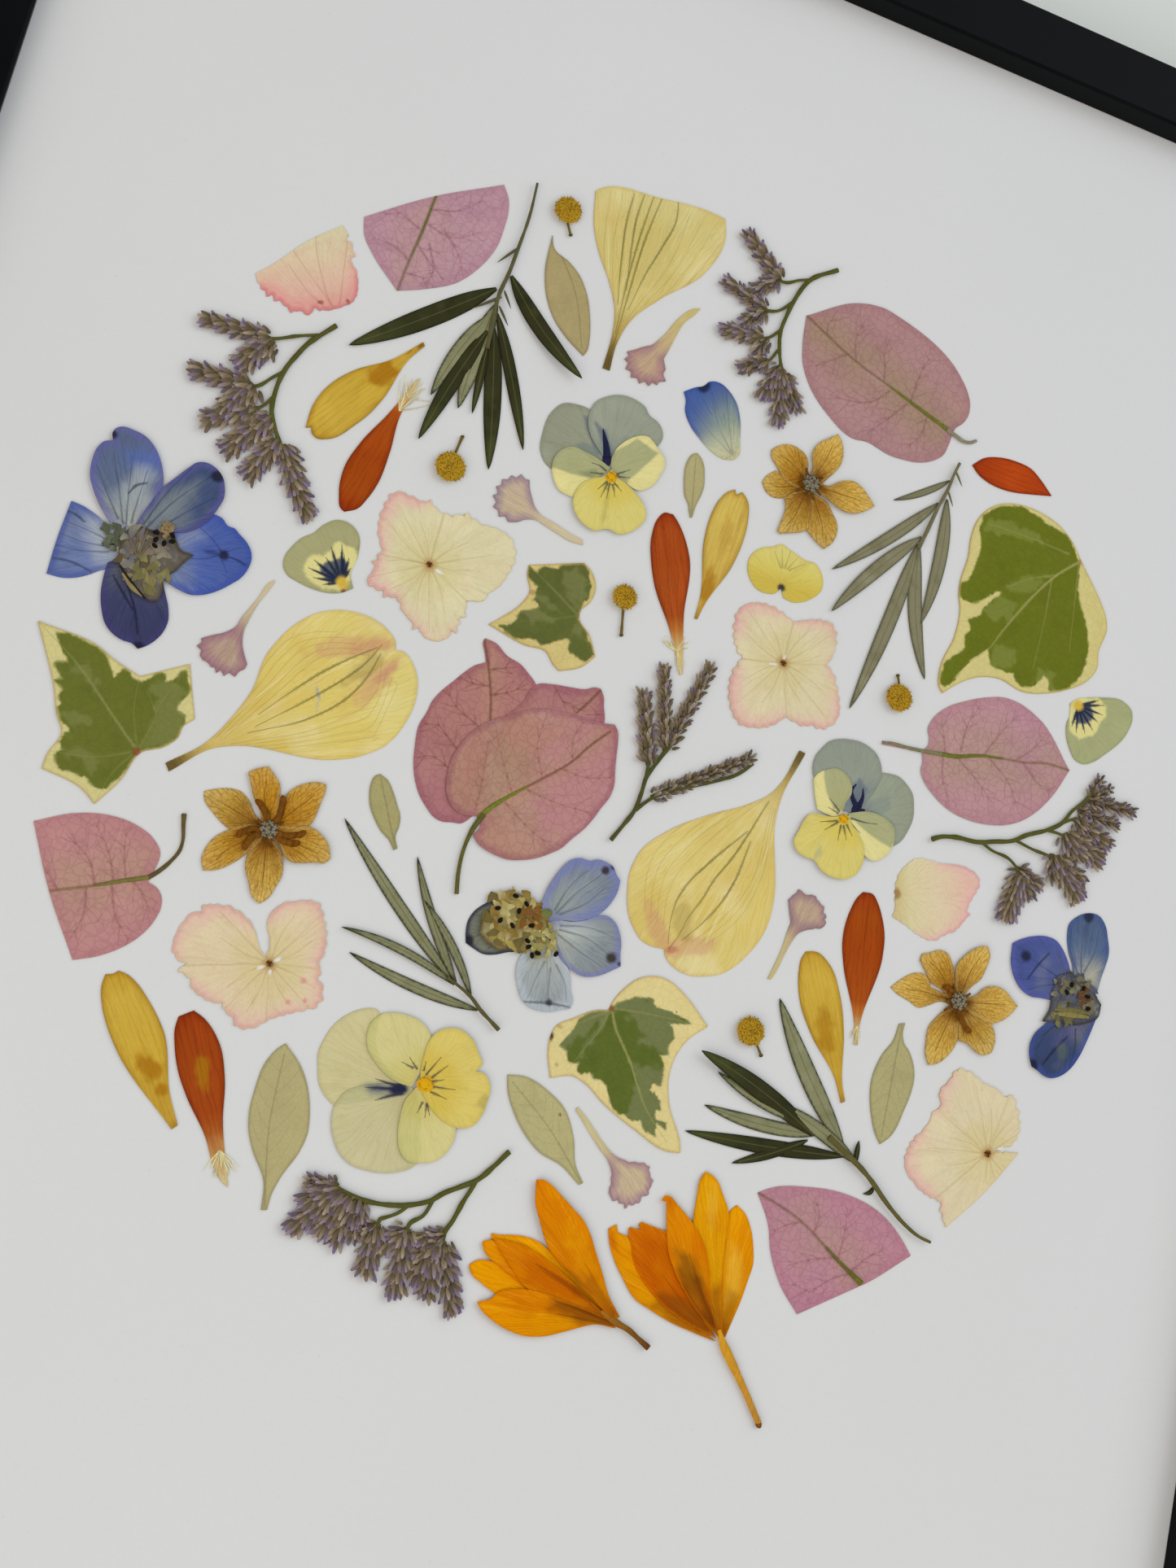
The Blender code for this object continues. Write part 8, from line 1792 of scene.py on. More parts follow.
NAVY = rgb(34, 36, 66)
SEAM_BLUE = rgb(98, 108, 120)
GOLD = rgb(212, 192, 88)
YELLOW_SIDE = rgb(222, 212, 146)
OLIVE_SMEAR = rgb(128, 132, 92)
OVERLAP_SHADE_FACTOR = (0.54, 0.60, 0.70)                      # painted shade: how much a front petal is darkened where a petal lies behind it
VIOLA_RELIEF = dict(curl=0.3, ripple=0.12, rib=0.05)
V1_THROAT = (-15.6, 50.2)


def viola_1_extras(piece, top):
    throat_extras(-15.6, 50.3, 1.15)(piece, top)
    piece.add_lump((-17.2, 53.9, top - 0.35), (3.2, 1.9, 0.35), NAVY, 105, rough=0.1)
    piece.add_tube(pts(-17.2, 54.2, -18, 56.6, -19.3, 59.6), (1.8, 1.3, 0.3), NAVY, top - 0.45)


layered("viola_1", [
    ((-17, 54), (-29, 57), [],
     viola_back(rgb(150, 152, 130), rgb(150, 154, 134), 151,
                [
                    (pts(-17.5, 54, -18.4, 57, -22, 61.4, -24, 61, -22, 57.4, -19.6, 54.6), SEAM_BLUE, 0.75),
                    (pts(-19, 55, -22.4, 56, -24, 54.4, -20.6, 53.2, -18.6, 53.6), rgb(116, 128, 122),
                     0.7)])),
    ((-16.5, 53), (-14, 67.5), [],
     viola_back(rgb(152, 156, 138), rgb(120, 130, 134), 153,
                [
                    (pts(-17.6, 53.6, -19, 57, -21.4, 60.4, -19.4, 60, -17.4, 57, -16, 54), SEAM_BLUE, 0.8),
                    (pts(-16, 54, -15, 60, -12.4, 60, -11, 57, -13.4, 54.6), rgb(132, 142, 134), 0.5)])),
    ((-16.3, 52), (-25.5, 48), [],
     viola_front(YELLOW_SIDE, YELLOW_SIDE, V1_THROAT, 6,
                 [pts(-16.8, 51.4, -18.4, 52, -19.8, 52), pts(-16.8, 50.6, -19.8, 50)], 155,
                 overlap_shade_outline=pts(-30, 47.6, -27.4, 48.3, -23, 48.4, -18.6, 49.2, -14, 52, -16, 56, -24, 56,
                             -30, 53),
                 patches=[(pts(-22, 49.2, -19, 51, -18.2, 50.4, -19.4, 49), OLIVE_SMEAR, 0.7)])),
    ((-15.8, 51.8), (-8, 56), [],
     viola_front(YELLOW_SIDE, YELLOW_SIDE, V1_THROAT, 6,
                 [pts(-14.6, 51.4, -12.2, 53.2), pts(-14.4, 51, -11.8, 51.6)], 157,
                 overlap_shade_outline=pts(-7.2, 58.6, -9.4, 55, -12.2, 51.2, -16, 50, -18, 54, -12, 60),
                 patches=[(pts(-13.8, 50.8, -12, 51.4, -12, 49, -13.6, 48.8), OLIVE_SMEAR, 0.6)])),
    ((-16, 51.5), (-14, 39), [],
     viola_front(GOLD, rgb(214, 200, 116), V1_THROAT, 7,
                 [pts(-16.2, 49.2, -17.0, 48, -17.5, 47.3), pts(-16, 49, -16.7, 45.7),
                  pts(-15, 49, -14.4, 48, -14, 46.7), pts(-14.6, 49.4, -13, 48.4), pts(-15.6, 49, -15.5, 46)],
                 159, patches=[(pts(-15.4, 48, -14.8, 44, -15, 40, -15.6, 40, -15.7, 44), rgb(178, 164, 84),
                                0.6)])),
], MAT_VIOLA, VIOLA_RELIEF, viola_1_extras)

V2_THROAT = (47, -1.9)


def viola_2_extras(piece, top):
    throat_extras(*V2_THROAT, 1.0)(piece, top)
    piece.add_lump((49.5, 1.0, top - 0.35), (3.4, 2.0, 0.35), NAVY, 70, rough=0.1)
    piece.add_tube(pts(49.4, 1.6, 48.2, 3.2, 47.8, 4.4, 48.5, 6), (1.4, 0.9, 0.3), NAVY, top - 0.45)
    piece.add_tube(pts(50, 1.8, 50.4, 4, 50.1, 5.6), (1.3, 0.8, 0.3), NAVY, top - 0.45)
    piece.add_tube(pts(49.8, 0.8, 51.4, 1.4), (1.2, 0.4), NAVY, top - 0.45)


layered("viola_2", [
    ((51, 0), (60, 5), [],
     viola_back(rgb(150, 156, 136), rgb(120, 130, 132), 161,
                [(pts(50.4, 0.6, 53, 4, 56, 6, 57, 3.4, 53.4, 0.4), rgb(128, 138, 132), 0.55)])),
    ((48.5, 2), (45, 14), [],
     viola_back(rgb(146, 152, 138), rgb(120, 130, 136), 163,
                [(pts(48.2, 1.4, 47.4, 5.4, 49, 7.4, 51, 5.6, 50.4, 2), SEAM_BLUE, 0.7)])),
    ((46.6, -0.8), (41.5, 5.5), [],
     viola_front(rgb(222, 210, 140), YELLOW_SIDE, V2_THROAT, 6,
                 [pts(46, -0.6, 44.6, 0.6, 43.4, 1.4), pts(45.8, -1, 43.6, -0.4)], 165,
                 overlap_shade_outline=pts(40.6, 8.4, 41.8, 4, 44.6, -0.4, 49, 0, 49, 8))),
    ((48, -1), (57, -4), [],
     viola_front(rgb(222, 212, 146), YELLOW_SIDE, V2_THROAT, 6,
                 [pts(48.6, -1.2, 52, -1.1, 54.5, -0.7), pts(48.4, -2, 51, -3.4)], 167,
                 overlap_shade_outline=pts(47, 0, 52, 2, 60, 0, 58.4, -4.6, 54, -3.4, 49, -1.2))),
    ((47.2, -1.4), (45, -13), [],
     viola_front(GOLD, rgb(214, 198, 112), V2_THROAT, 7,
                 [pts(45.8, -2.6, 42.4, -3.8), pts(46, -2.8, 43.7, -5), pts(46.8, -3.2, 46.8, -6.1),
                  pts(47.4, -3.2, 48.5, -5.7), pts(48, -2.8, 49.6, -4.6)], 169,
                 patches=[(pts(44, -10, 43, -11.4, 42.6, -10.4, 43.6, -8.4), rgb(176, 174, 130), 0.7)])),
], MAT_VIOLA, VIOLA_RELIEF, viola_2_extras)

V3_THROAT = (-23.4, -74)
V3_WHISKERS = [pts(-23.6, -72.2, -21.6, -68.4), pts(-22.4, -72.4, -20, -69.6),
               pts(-24.2, -71.6, -24.2, -70.2), pts(-25.4, -71.6, -27.2, -70),
               pts(-26.2, -71.6, -28.4, -71.1), pts(-22.2, -73.1, -20.2, -72.3), pts(-22, -74, -17.8, -73.5),
               pts(-22, -75, -18.8, -75.5), pts(-23, -77.2, -23.5, -79.3), pts(-22.2, -77.2, -21.9, -79.6),
               pts(-22, -77.4, -21.2, -79)]
V3_MARK = [(-30.4, -76.6, 4.6, rgb(118, 124, 122), 0.6, 1.9, 12), (-28.0, -76.1, 2.4, NAVY, 0.97, 1.3, 15),
           (-31.2, -76.7, 2.4, rgb(70, 76, 100), 0.7, 0.7, 12)]
V3_RAYS = [pts(-26.6, -75.8, -30, -76.4, -34, -77.2), pts(-27, -75.4, -30, -75.4, -32.4, -75.2),
           pts(-27, -76.6, -29.6, -77.8, -31.6, -79)]
layered("viola_3", [
    ((-28, -75), (-42, -72), [],
     viola_front(rgb(190, 180, 134), rgb(202, 192, 144), V3_THROAT, 12, [], 171, V3_MARK, rays=V3_RAYS)),
    ((-27, -77), (-33, -89), [],
     viola_front(rgb(188, 180, 132), rgb(198, 190, 146), V3_THROAT, 11, [], 173, V3_MARK, rays=V3_RAYS)),
    ((-25, -74), (-32, -64), [],
     viola_front(rgb(202, 190, 112), rgb(208, 198, 136), V3_THROAT, 9, V3_WHISKERS, 175)),
    ((-24.6, -75.6), (-20, -87), [],
     viola_front(rgb(204, 190, 112), rgb(210, 200, 136), V3_THROAT, 9, V3_WHISKERS, 177)),
    ((-24, -73), (-12, -71), [],
     viola_front(rgb(208, 182, 76), rgb(214, 194, 104), V3_THROAT, 9, V3_WHISKERS, 179,
                 patches=[(pts(-13.4, -75.4, -11.4, -75.6, -10.8, -73.4, -12, -72.6), rgb(150, 130, 70),
                           0.4)])),
], MAT_VIOLA, dict(curl=0.35, ripple=0.14, rib=0.05), throat_extras(*V3_THROAT, 1.6),
        overlap_shading=((0.88, 0.91, 0.84), 2))


# ---- blue delphiniums
def sepal(outer, inner, seed, spots=(), edge=rgb(62, 80, 150), edge_width=1.6, edge_amount=0.6, fold_shade_lines=(),
          patches=(), rays=()):
    """A blue sepal, paler at its base; patches are (outline, colour, amount), rays fine dark fan lines; dark
    lines along its folds are painted shade.
    """
    def paint(s):
        s.gradient([(0, inner), (0.2, inner * 0.5 + outer * 0.5), (0.5, outer), (1, outer * 0.86)])
        s.mottle(outer * 1.25, 0.5, 5.0, seed)
        s.mottle(outer * 0.7, 0.45, 4.0, seed + 3, 0.1)
        s.mottle(rgb(142, 142, 130), 0.35, 6.0, seed + 4, 0.15)
        s.streaks(outer * 0.5, 0.5, 0.45, seed + 1, 10.0)
        s.streaks(inner * 1.05, 0.4, 0.4, seed + 2, 9.0, where=1 - step_up(0.2, 0.75, s.along))
        s.margin(edge_width, edge, edge_amount)
        for line, colour, amount in patches:
            s.patch(line, colour, amount * 0.85, 1.2, 3.0, 2.2, seed + 5)
        s.lines(rays, outer * 0.42, 0.22, 0.75, (1.0, 0.4))
        # Painted shade: dark lines along the folds.
        s.lines(fold_shade_lines, outer * 0.3, 0.34, 0.8, (0.6, 1.0, 0.6))
        for spot in spots:
            s.spot(*spot)

    paint.fine = [*rays, *fold_shade_lines]
    return paint


def centre_paint(tone, other, dark, seed):
    """The crumpled middle of a delphinium."""
    def paint(s):
        s.mix(tone, 1.0)
        s.mottle(other, 0.8, 2.6, seed)
        s.mottle(dark, 0.8, 1.7, seed + 1, 0.0)
        s.mottle(rgb(168, 164, 148), 0.5, 1.3, seed + 2, 0.2)
        s.streaks(dark, 0.5, 0.4, seed + 3, 4.0)
        s.margin(0.8, dark, 0.7)
    return paint


def anthers(piece, places, height):
    for i, (x, y) in enumerate(places):
        piece.add_lump((x, y, height), (1.25, 0.85, 0.7), rgb(26, 22, 20), i * 67.0, rough=0.12, seed=i)


def scraps(piece, cx, cy, radius, height, count, tones, seed, size):
    """Thin crumpled scraps, as of dried stamens and inner petals."""
    for i in range(count):
        turn = i * GOLDEN_ANGLE + seed
        far = radius * math.sqrt((i + 0.5) / count)
        x, y = cx + far * math.cos(turn), cy + far * math.sin(turn)
        lean = math.radians(turn * 57.3 + 60 * math.sin(i * 1.7 + seed))
        long = size * (0.5 + 0.5 * ((i * 0.37) % 1))
        way = np.array([math.cos(lean), math.sin(lean)]) * long / 2
        bend = np.array([-way[1], way[0]]) * 0.7 * math.sin(i * 2.9)
        piece.add_tube([(x - way[0], y - way[1]), (x + bend[0], y + bend[1]), (x + way[0], y + way[1])],
                       (0.5, 0.5 + 0.4 * long, 0.35), tones[i % len(tones)], height + 0.1 * math.sin(i * 2.1),
                       flat=0.2, sides=6, knots=0.5, seed=i, end_colour=tones[(i * 3 + 1) % len(tones)])


BLACK_BLUE = rgb(30, 30, 44)
WHITISH = rgb(182, 186, 178)
DELPHINIUM_RELIEF = dict(curl=0.45, ripple=0.22, rib=0.05)


def delphinium_1_extras(piece, top):
    scraps(piece, -98.2, 5.0, 4.8, top + 0.1, 26, [rgb(128, 118, 100), rgb(112, 98, 80), rgb(92, 80, 56),
                                                  rgb(142, 136, 116), rgb(106, 104, 108)], 1, 3.6)
    scraps(piece, -95.6, 2.4, 3.2, top + 0.15, 14, [rgb(134, 130, 84), rgb(114, 108, 68), rgb(140, 126, 74)],
           5, 3.2)
    piece.add_tube(pts(-101.5, 2, -98.6, -0.4, -95.5, -2.5), (0.3, 0.6, 0.3), rgb(38, 32, 28), top + 0.2)
    piece.add_tube(pts(-100.6, 0.8, -98, -1.2, -96, -2.2), (0.6, 1.1, 0.5), rgb(140, 126, 84), top + 0.15,
                   flat=0.4, knots=0.3)
    scraps(piece, -104, 6.8, 2.2, top - 0.2, 16, [rgb(104, 108, 88), rgb(84, 90, 70), rgb(120, 122, 104)], 9,
           2.6)
    for x, y in pts(-101.5, 8, -100.2, 9.4, -98.4, 10, -96.6, 9.6):
        piece.add_tube([(-98.8, 4.4), (x, y)], (0.2, 0.32, 0.15), rgb(116, 102, 80), top + 0.3)
    scraps(piece, -95.3, 11.2, 1.3, top + 0.3, 12, [rgb(150, 130, 92), rgb(128, 106, 72)], 2, 1.2)
    anthers(piece, pts(-96.9, 10, -96.6, 8.7, -93.9, 10.4, -93.7, 9.3, -95, 8.5, -96.5, 7.5), top + 0.5)
    piece.add_lump((-104.4, 5.3, top - 0.4), (2.4, 0.9, 0.5), BLACK_BLUE, 10, rough=0.15)


layered("delphinium_1", [
    ((-101, 4), (-113, 4), [],
     sepal(rgb(112, 126, 170), WHITISH, 181,
           patches=[(pts(-109, 9, -103, 9.4, -102, 4, -106, 2.4, -108.6, 5), rgb(180, 186, 186), 0.75)],
           fold_shade_lines=[pts(-113.2, -0.3, -110, 0.1, -106, -0.5), pts(-113, 9, -111.4, 8.8, -109.5, 8)],
           rays=[pts(-104, 5, -108.4, 4.4, -113, 4.5), pts(-104, 4, -109, 2.6, -113, 2.2),
                 pts(-104, 6, -109, 6.8, -112.6, 7)])),
    ((-98.5, 3), (-97, -11), [],
     sepal(rgb(62, 64, 98), rgb(96, 100, 110), 184, [(-94.2, -11.2, 1.3, BLACK_BLUE, 0.9)],
           edge=rgb(66, 62, 112), fold_shade_lines=[pts(-102, 0, -100, -2, -97, -5), pts(-99, -1, -96.6, -5, -95, -9)])),
    ((-95.5, 6), (-80, 10), [],
     sepal(rgb(78, 98, 166), rgb(150, 158, 166), 187,
           [(-84, 10.3, 1.2, BLACK_BLUE, 0.9), (-86, 10, 2.2, rgb(46, 54, 104), 0.7, 0.6, 8)],
           edge=rgb(60, 80, 164),
           patches=[(pts(-94, 14, -90, 14.4, -88, 12, -92, 10), rgb(160, 168, 178), 0.5)],
           fold_shade_lines=[pts(-83, 10.2, -81, 10, -79.5, 9.5)],
           rays=[pts(-84.4, 10.6, -87, 12.6, -90, 14), pts(-84.6, 10, -88, 8, -91.4, 7.4),
                 pts(-84.4, 10.4, -81.6, 12.4), pts(-84.6, 9.9, -82.6, 7.2)])),
    ((-101, 9), (-106, 26), [],
     sepal(rgb(96, 109, 138), rgb(186, 188, 168), 190, [(-109.3, 25.4, 1.2, BLACK_BLUE, 0.9)],
           edge=rgb(100, 96, 160),
           patches=[
               (pts(-107, 23, -103.6, 24.6, -99.6, 24, -100.6, 21, -105, 20.6), rgb(86, 108, 182), 0.7),
               (pts(-103.6, 21, -100.4, 20.6, -99.6, 14, -102.4, 12.4, -104.4, 15), rgb(178, 184, 180), 0.7)],
           fold_shade_lines=[pts(-101, 18.7, -102.6, 17.6, -103.5, 15.7)],
           rays=[pts(-103, 10, -105.4, 16, -108, 22), pts(-102.4, 10, -103.6, 16, -104.6, 22.6),
                 pts(-104, 10.4, -107.6, 15, -110.4, 19), pts(-101.6, 10.4, -101.6, 15, -101.4, 21)])),
    ((-98, 9), (-90, 25), [],
     sepal(rgb(68, 82, 118), rgb(142, 148, 138), 193, [(-88.8, 24.2, 1.5, BLACK_BLUE, 0.9)],
           edge=rgb(94, 90, 150),
           patches=[
               (pts(-98, 12, -97.6, 15.4, -94, 21, -91.4, 22.4, -92, 19, -95, 13), rgb(140, 148, 144), 0.7)],
           rays=[pts(-99, 10, -95, 17.4, -90, 24), pts(-97.4, 10, -92, 16.4, -88.6, 20),
                 pts(-99.4, 11, -97, 18, -94, 24)])),
    ((-98, 10), (-97, -2), [], centre_paint(rgb(112, 104, 88), rgb(104, 104, 112), rgb(74, 62, 40), 196)),
], MAT_PETAL, DELPHINIUM_RELIEF, delphinium_1_extras, overlap_shading=((0.8, 0.8, 0.86), 5))


def delphinium_2_extras(piece, top):
    olive = [rgb(170, 152, 84), rgb(146, 128, 66), rgb(112, 98, 54), rgb(184, 172, 120), rgb(130, 100, 42)]
    scraps(piece, -13.8, -40, 5.6, top + 0.12, 48, olive, 3, 3.6)
    scraps(piece, -8, -42, 3.0, top + 0.2, 24, [rgb(190, 182, 120), rgb(150, 140, 84), rgb(120, 104, 56)], 6,
           2.4)
    scraps(piece, -10.7, -39, 2.2, top + 0.32, 14, [rgb(140, 98, 46), rgb(120, 82, 38), rgb(156, 128, 70)], 4,
           2.4)
    anthers(piece, pts(-15, -35.7, -16.8, -41, -14.3, -41.3, -10.7, -40.3, -13.7, -38.3, -10.8, -43.3,
                       -10.3, -44.3, -9.3, -45.7, -8.3, -45, -4.8, -44.2, -12.6, -36.6, -17.8, -38.9),
            top + 0.45)
    piece.add_lump((-8.4, -37.3, top + 0.25), (2.4, 1.8, 0.7), rgb(112, 120, 62), 40, rough=0.15)


layered("delphinium_2", [
    ((-11, -41), (-22, -44), [],
     sepal(rgb(122, 124, 108), rgb(146, 138, 96), 201, [(-21.5, -46, 1.2, BLACK_BLUE, 0.9)],
           edge=rgb(42, 44, 66), edge_amount=0.85, edge_width=1.0,
           rays=[pts(-12, -41, -17, -42.6, -21, -45.4), pts(-12, -42, -16, -45, -19, -48),
                 pts(-12, -40, -17, -39.6, -21, -41)])),
    ((-7, -42), (-5, -55), [],
     sepal(rgb(162, 168, 168), rgb(174, 172, 148), 204, [(-3.8, -53.2, 0.8, BLACK_BLUE, 0.8)],
           edge=rgb(184, 194, 202), edge_width=2.2, fold_shade_lines=[pts(-8.7, -54.4, -4, -53.4, 0.4, -53)],
           rays=[pts(-5, -47, -4.6, -50, -4, -53), pts(-6.4, -46, -7.4, -50, -8, -53.4),
                 pts(-4, -46, -1.6, -49, -0.6, -52)])),
    ((-6.5, -39), (8, -41), [],
     sepal(rgb(140, 147, 150), rgb(192, 194, 178), 207,
           [(6.2, -41.8, 1.3, rgb(46, 38, 34), 0.9), (8, -42.5, 0.5, BLACK_BLUE, 0.8)],
           edge=rgb(116, 120, 176),
           patches=[(pts(-5, -37.6, 1, -36.4, 4, -38.4, -1, -40.4, -5, -40), rgb(190, 196, 190), 0.7)],
           rays=[pts(-5, -39.4, 1, -39.6, 6, -41.6), pts(-5, -40.4, 0, -42.4, 5, -44),
                 pts(-5, -38.6, 1, -37.4, 6, -38)])),
    ((-7, -37.5), (2, -25), [],
     sepal(rgb(130, 139, 152), rgb(158, 164, 148), 210,
           [(1.2, -26, 1.0, rgb(50, 38, 36), 0.9), (2.6, -24.9, 0.7, BLACK_BLUE, 0.8)],
           edge=rgb(116, 122, 182), edge_width=2.4,
           patches=[(pts(-7, -36, -6, -32, -2, -28, 0, -29, -2.4, -33, -4.6, -36.4), rgb(150, 158, 156),
                     0.75)],
           rays=[pts(-6.4, -36.6, -2.8, -31, 0.6, -27), pts(-6.8, -36, -5, -31, -2.4, -27),
                 pts(-5.6, -36.6, -1, -33, 2, -29)])),
    ((-9, -39.5), (-18, -41), [], centre_paint(rgb(158, 144, 88), rgb(126, 112, 64), rgb(92, 72, 34), 213)),
], MAT_PETAL, DELPHINIUM_RELIEF, delphinium_2_extras, overlap_shading=((0.84, 0.84, 0.88), 4))


def delphinium_3_extras(piece, top):
    scraps(piece, 104.2, -22.4, 4.6, top + 0.12, 42, [rgb(92, 94, 104), rgb(76, 80, 98), rgb(112, 106, 78),
                                                    rgb(72, 62, 50), rgb(134, 130, 104)], 5, 3.2)
    scraps(piece, 102.6, -26.6, 2.6, top + 0.16, 14, [rgb(128, 122, 76), rgb(104, 100, 66), rgb(84, 84, 86)],
           7, 2.6)
    for shift in (0, 0.9):
        piece.add_tube(pts(100.4, -27.4 + shift, 104, -26.6 + shift, 108.4, -26 + shift), (0.5, 1.3, 0.5),
                       (rgb(140, 128, 72), rgb(116, 108, 66))[shift > 0], top + 0.2, flat=0.4, knots=0.25,
                       seed=3)
    scraps(piece, 106.5, -22, 1.6, top + 0.3, 10, [rgb(112, 74, 40), rgb(90, 60, 36)], 8, 1.6)
    anthers(piece, pts(107.2, -22, 106, -20.6, 102.4, -22.4, 107.8, -24.4, 103.2, -20.6), top + 0.45)


layered("delphinium_3", [
    ((105.5, -19), (105, -5), [],
     sepal(rgb(86, 104, 136), rgb(160, 158, 140), 221, [(104.7, -5.6, 1.5, BLACK_BLUE, 0.8)],
           edge=rgb(66, 84, 136),
           patches=[(pts(105, -19.4, 106, -15, 109, -15.4, 109.6, -19), rgb(190, 186, 164), 0.7)],
           rays=[pts(105.4, -18, 104.4, -12, 104.6, -6.6), pts(106, -17, 107.6, -12, 107.6, -7.6),
                 pts(104.6, -18, 101.8, -13, 101.4, -8.6)])),
    ((102, -20), (90, -16), [],
     sepal(rgb(76, 88, 146), rgb(94, 100, 128), 224, [(92.2, -17.5, 1.4, BLACK_BLUE, 0.85)],
           edge=rgb(86, 90, 160), fold_shade_lines=[pts(97.3, -15.5, 95.6, -18, 93.5, -22)],
           rays=[pts(101, -20, 96.6, -18.6, 92.8, -17.6), pts(101, -21, 97, -22.4, 94, -24)])),
    ((105, -26), (101, -40), [],
     sepal(rgb(58, 70, 104), rgb(86, 92, 102), 227,
           [(97.8, -38.7, 1.4, BLACK_BLUE, 0.9), (104, -34.4, 1.6, rgb(94, 104, 84), 0.5, 2.4, 10)],
           patches=[(pts(107.8, -28.2, 104.6, -31.4, 101.8, -34.6, 101.6, -33.4, 104, -30, 107, -27.8),
                     rgb(92, 84, 142), 0.7)], fold_shade_lines=[pts(104.5, -31, 102, -34.6, 100, -38)],
           rays=[pts(106, -29, 106.6, -33, 106, -37), pts(103, -28, 99.6, -31.6, 98.2, -35)])),
    ((104.5, -21), (103, -29), [], centre_paint(rgb(88, 90, 96), rgb(112, 104, 72), rgb(60, 56, 56), 230)),
], MAT_PETAL, DELPHINIUM_RELIEF, delphinium_3_extras, overlap_shading=((0.8, 0.8, 0.86), 3))


# ---- crocuses
MAT_CROCUS = dried("Dried orange crocus", streak=0.36, streak_width=0.22, streak_length=14, grain=0.12,
                   rough=(0.3, 0.5), gloss=0.02, bump=0.5, fan=(1.0, 0.14, (0.74, 0.6, 0.4), 0.4, 8.0))
ORANGE = rgb(226, 149, 0)
ORANGE_DARK = rgb(210, 122, 0)
ORANGE_LIGHT = rgb(238, 172, 0)
ORANGE_RED = rgb(194, 92, 0)
CROCUS_BROWN = rgb(120, 66, 10)
CROCUS_GREEN = rgb(148, 92, 10)


def crocus_petal(tone, seed, patches=(), lines=(), base_reach=0.3):
    """An orange petal, brown at its base; lines are (line, colour, width)."""
    def paint(s):
        s.gradient([(0, CROCUS_BROWN), (base_reach * 0.35, CROCUS_BROWN * 0.6 + tone * 0.4),
                    (base_reach, tone * 0.9), (0.6, tone), (1, tone * 1.04)])
        s.mottle(ORANGE_LIGHT, 0.5, 6.0, seed)
        s.mottle(ORANGE_DARK, 0.5, 5.0, seed + 1, 0.05)
        s.streaks(ORANGE_RED, 0.45, 0.5, seed + 2, 18.0)
        s.streaks(rgb(240, 186, 40), 0.35, 0.3, seed + 3, 22.0)
        for line, colour, amount in patches:
            s.patch(line, colour, amount, 1.0, 2.6, 1.1, seed + 4)
        s.margin(0.5, ORANGE_DARK, 0.6)
        for line, colour, width in lines:
            s.lines([line], colour, width, 0.55, (0.3, 1.0, 0.7, 0.2))

    paint.fine = [line for line, colour, width in lines]
    return paint


def crocus_1_extras(piece, _):
    piece.add_tube(pts(19, -105.6, 22.5, -107, 25, -107.7, 27.4, -108.9, 29.6, -110),
                   (0.7, 1.3, 1.1, 0.9, 1.3), rgb(164, 110, 36), 0.75, knots=0.12, end_colour=rgb(96, 62, 28))


layered("crocus_1", [
    ((22, -106.6), (-4, -96.8), [], crocus_petal(rgb(236, 160, 0), 241)),
    ((22, -107), (-6, -103), [], crocus_petal(ORANGE, 245)),
    ((22, -106.8), (-6, -99), [], crocus_petal(rgb(220, 140, 0), 249, [
        (pts(-3, -98, 3, -98.4, 9, -100.6, 12, -103, 4, -103.4, -1, -100.6), ORANGE_RED, 0.5)])),
    ((22.3, -106.8), (-3, -98), [], crocus_petal(rgb(214, 132, 0), 253, [
        (pts(2, -98.6, 10, -101, 16, -104, 12, -104.6, 4, -103.4), rgb(196, 98, 0), 0.55),
        (pts(22, -106.8, 17, -105.8, 12, -102.4, 16, -103, 20, -105), rgb(140, 74, 6), 0.6)],
        [(pts(18, -104.6, 12, -102.4, 4.8, -100.2), CROCUS_BROWN, 0.75),
         (pts(17, -104.8, 10, -102.2, 5.6, -100.9), rgb(150, 72, 0), 0.5)])),
    ((22.4, -107.3), (-3, -109), [], crocus_petal(rgb(222, 142, 0), 257, [
        (pts(22.6, -107.6, 16, -108.4, 9, -107.6, 9.6, -105, 17, -105), rgb(138, 78, 8), 0.8),
        (pts(0, -108.4, 8, -106.6, 11, -107.6, 4, -109.6), rgb(204, 112, 0), 0.4)],
        [(pts(22, -107.2, 16, -106.4, 10, -105.8), rgb(92, 50, 10), 0.45),
         (pts(22, -107.6, 16, -107.8, 11, -107.9), rgb(104, 58, 10), 0.4)])),
    ((22.4, -106.6), (3, -86), [], crocus_petal(rgb(214, 124, 0), 261, [
        (pts(3.4, -88, 7, -90, 10, -95.4, 8, -95.6, 4, -91), ORANGE_DARK, 0.45),
        (pts(15, -101, 18, -104.4, 20.8, -106.2, 19.4, -104), rgb(196, 108, 0), 0.6),
        (pts(22.4, -106.8, 18, -104.6, 13.6, -99.4, 17.4, -101, 21.4, -105), rgb(150, 84, 6), 0.5)],
        [(pts(16.4, -102.8, 12, -100.6, 9, -99.4, 6, -97.4), CROCUS_GREEN, 0.8),
         (pts(21, -105.6, 17.4, -101.6, 14, -98), rgb(176, 94, 0), 0.5)])),
], MAT_CROCUS, dict(curl=0.5, ripple=0.3, rib=0.1, streak=0.12), crocus_1_extras,
    overlap_shading=((0.93, 0.8, 0.8), 5))


def crocus_2_extras(piece, _):
    piece.add_tube(pts(42.6, -103.8, 44, -106, 46.8, -109.4, 50, -113.2, 54.2, -118.6),
                   (1.0, 1.9, 1.5, 1.3, 1.2), rgb(214, 156, 40), 0.6, knots=0.1, end_colour=rgb(186, 134, 52))
    piece.add_lump((54.2, -118.7, 0.6), (1.7, 1.3, 0.9), rgb(120, 78, 26), -50, rough=0.15)


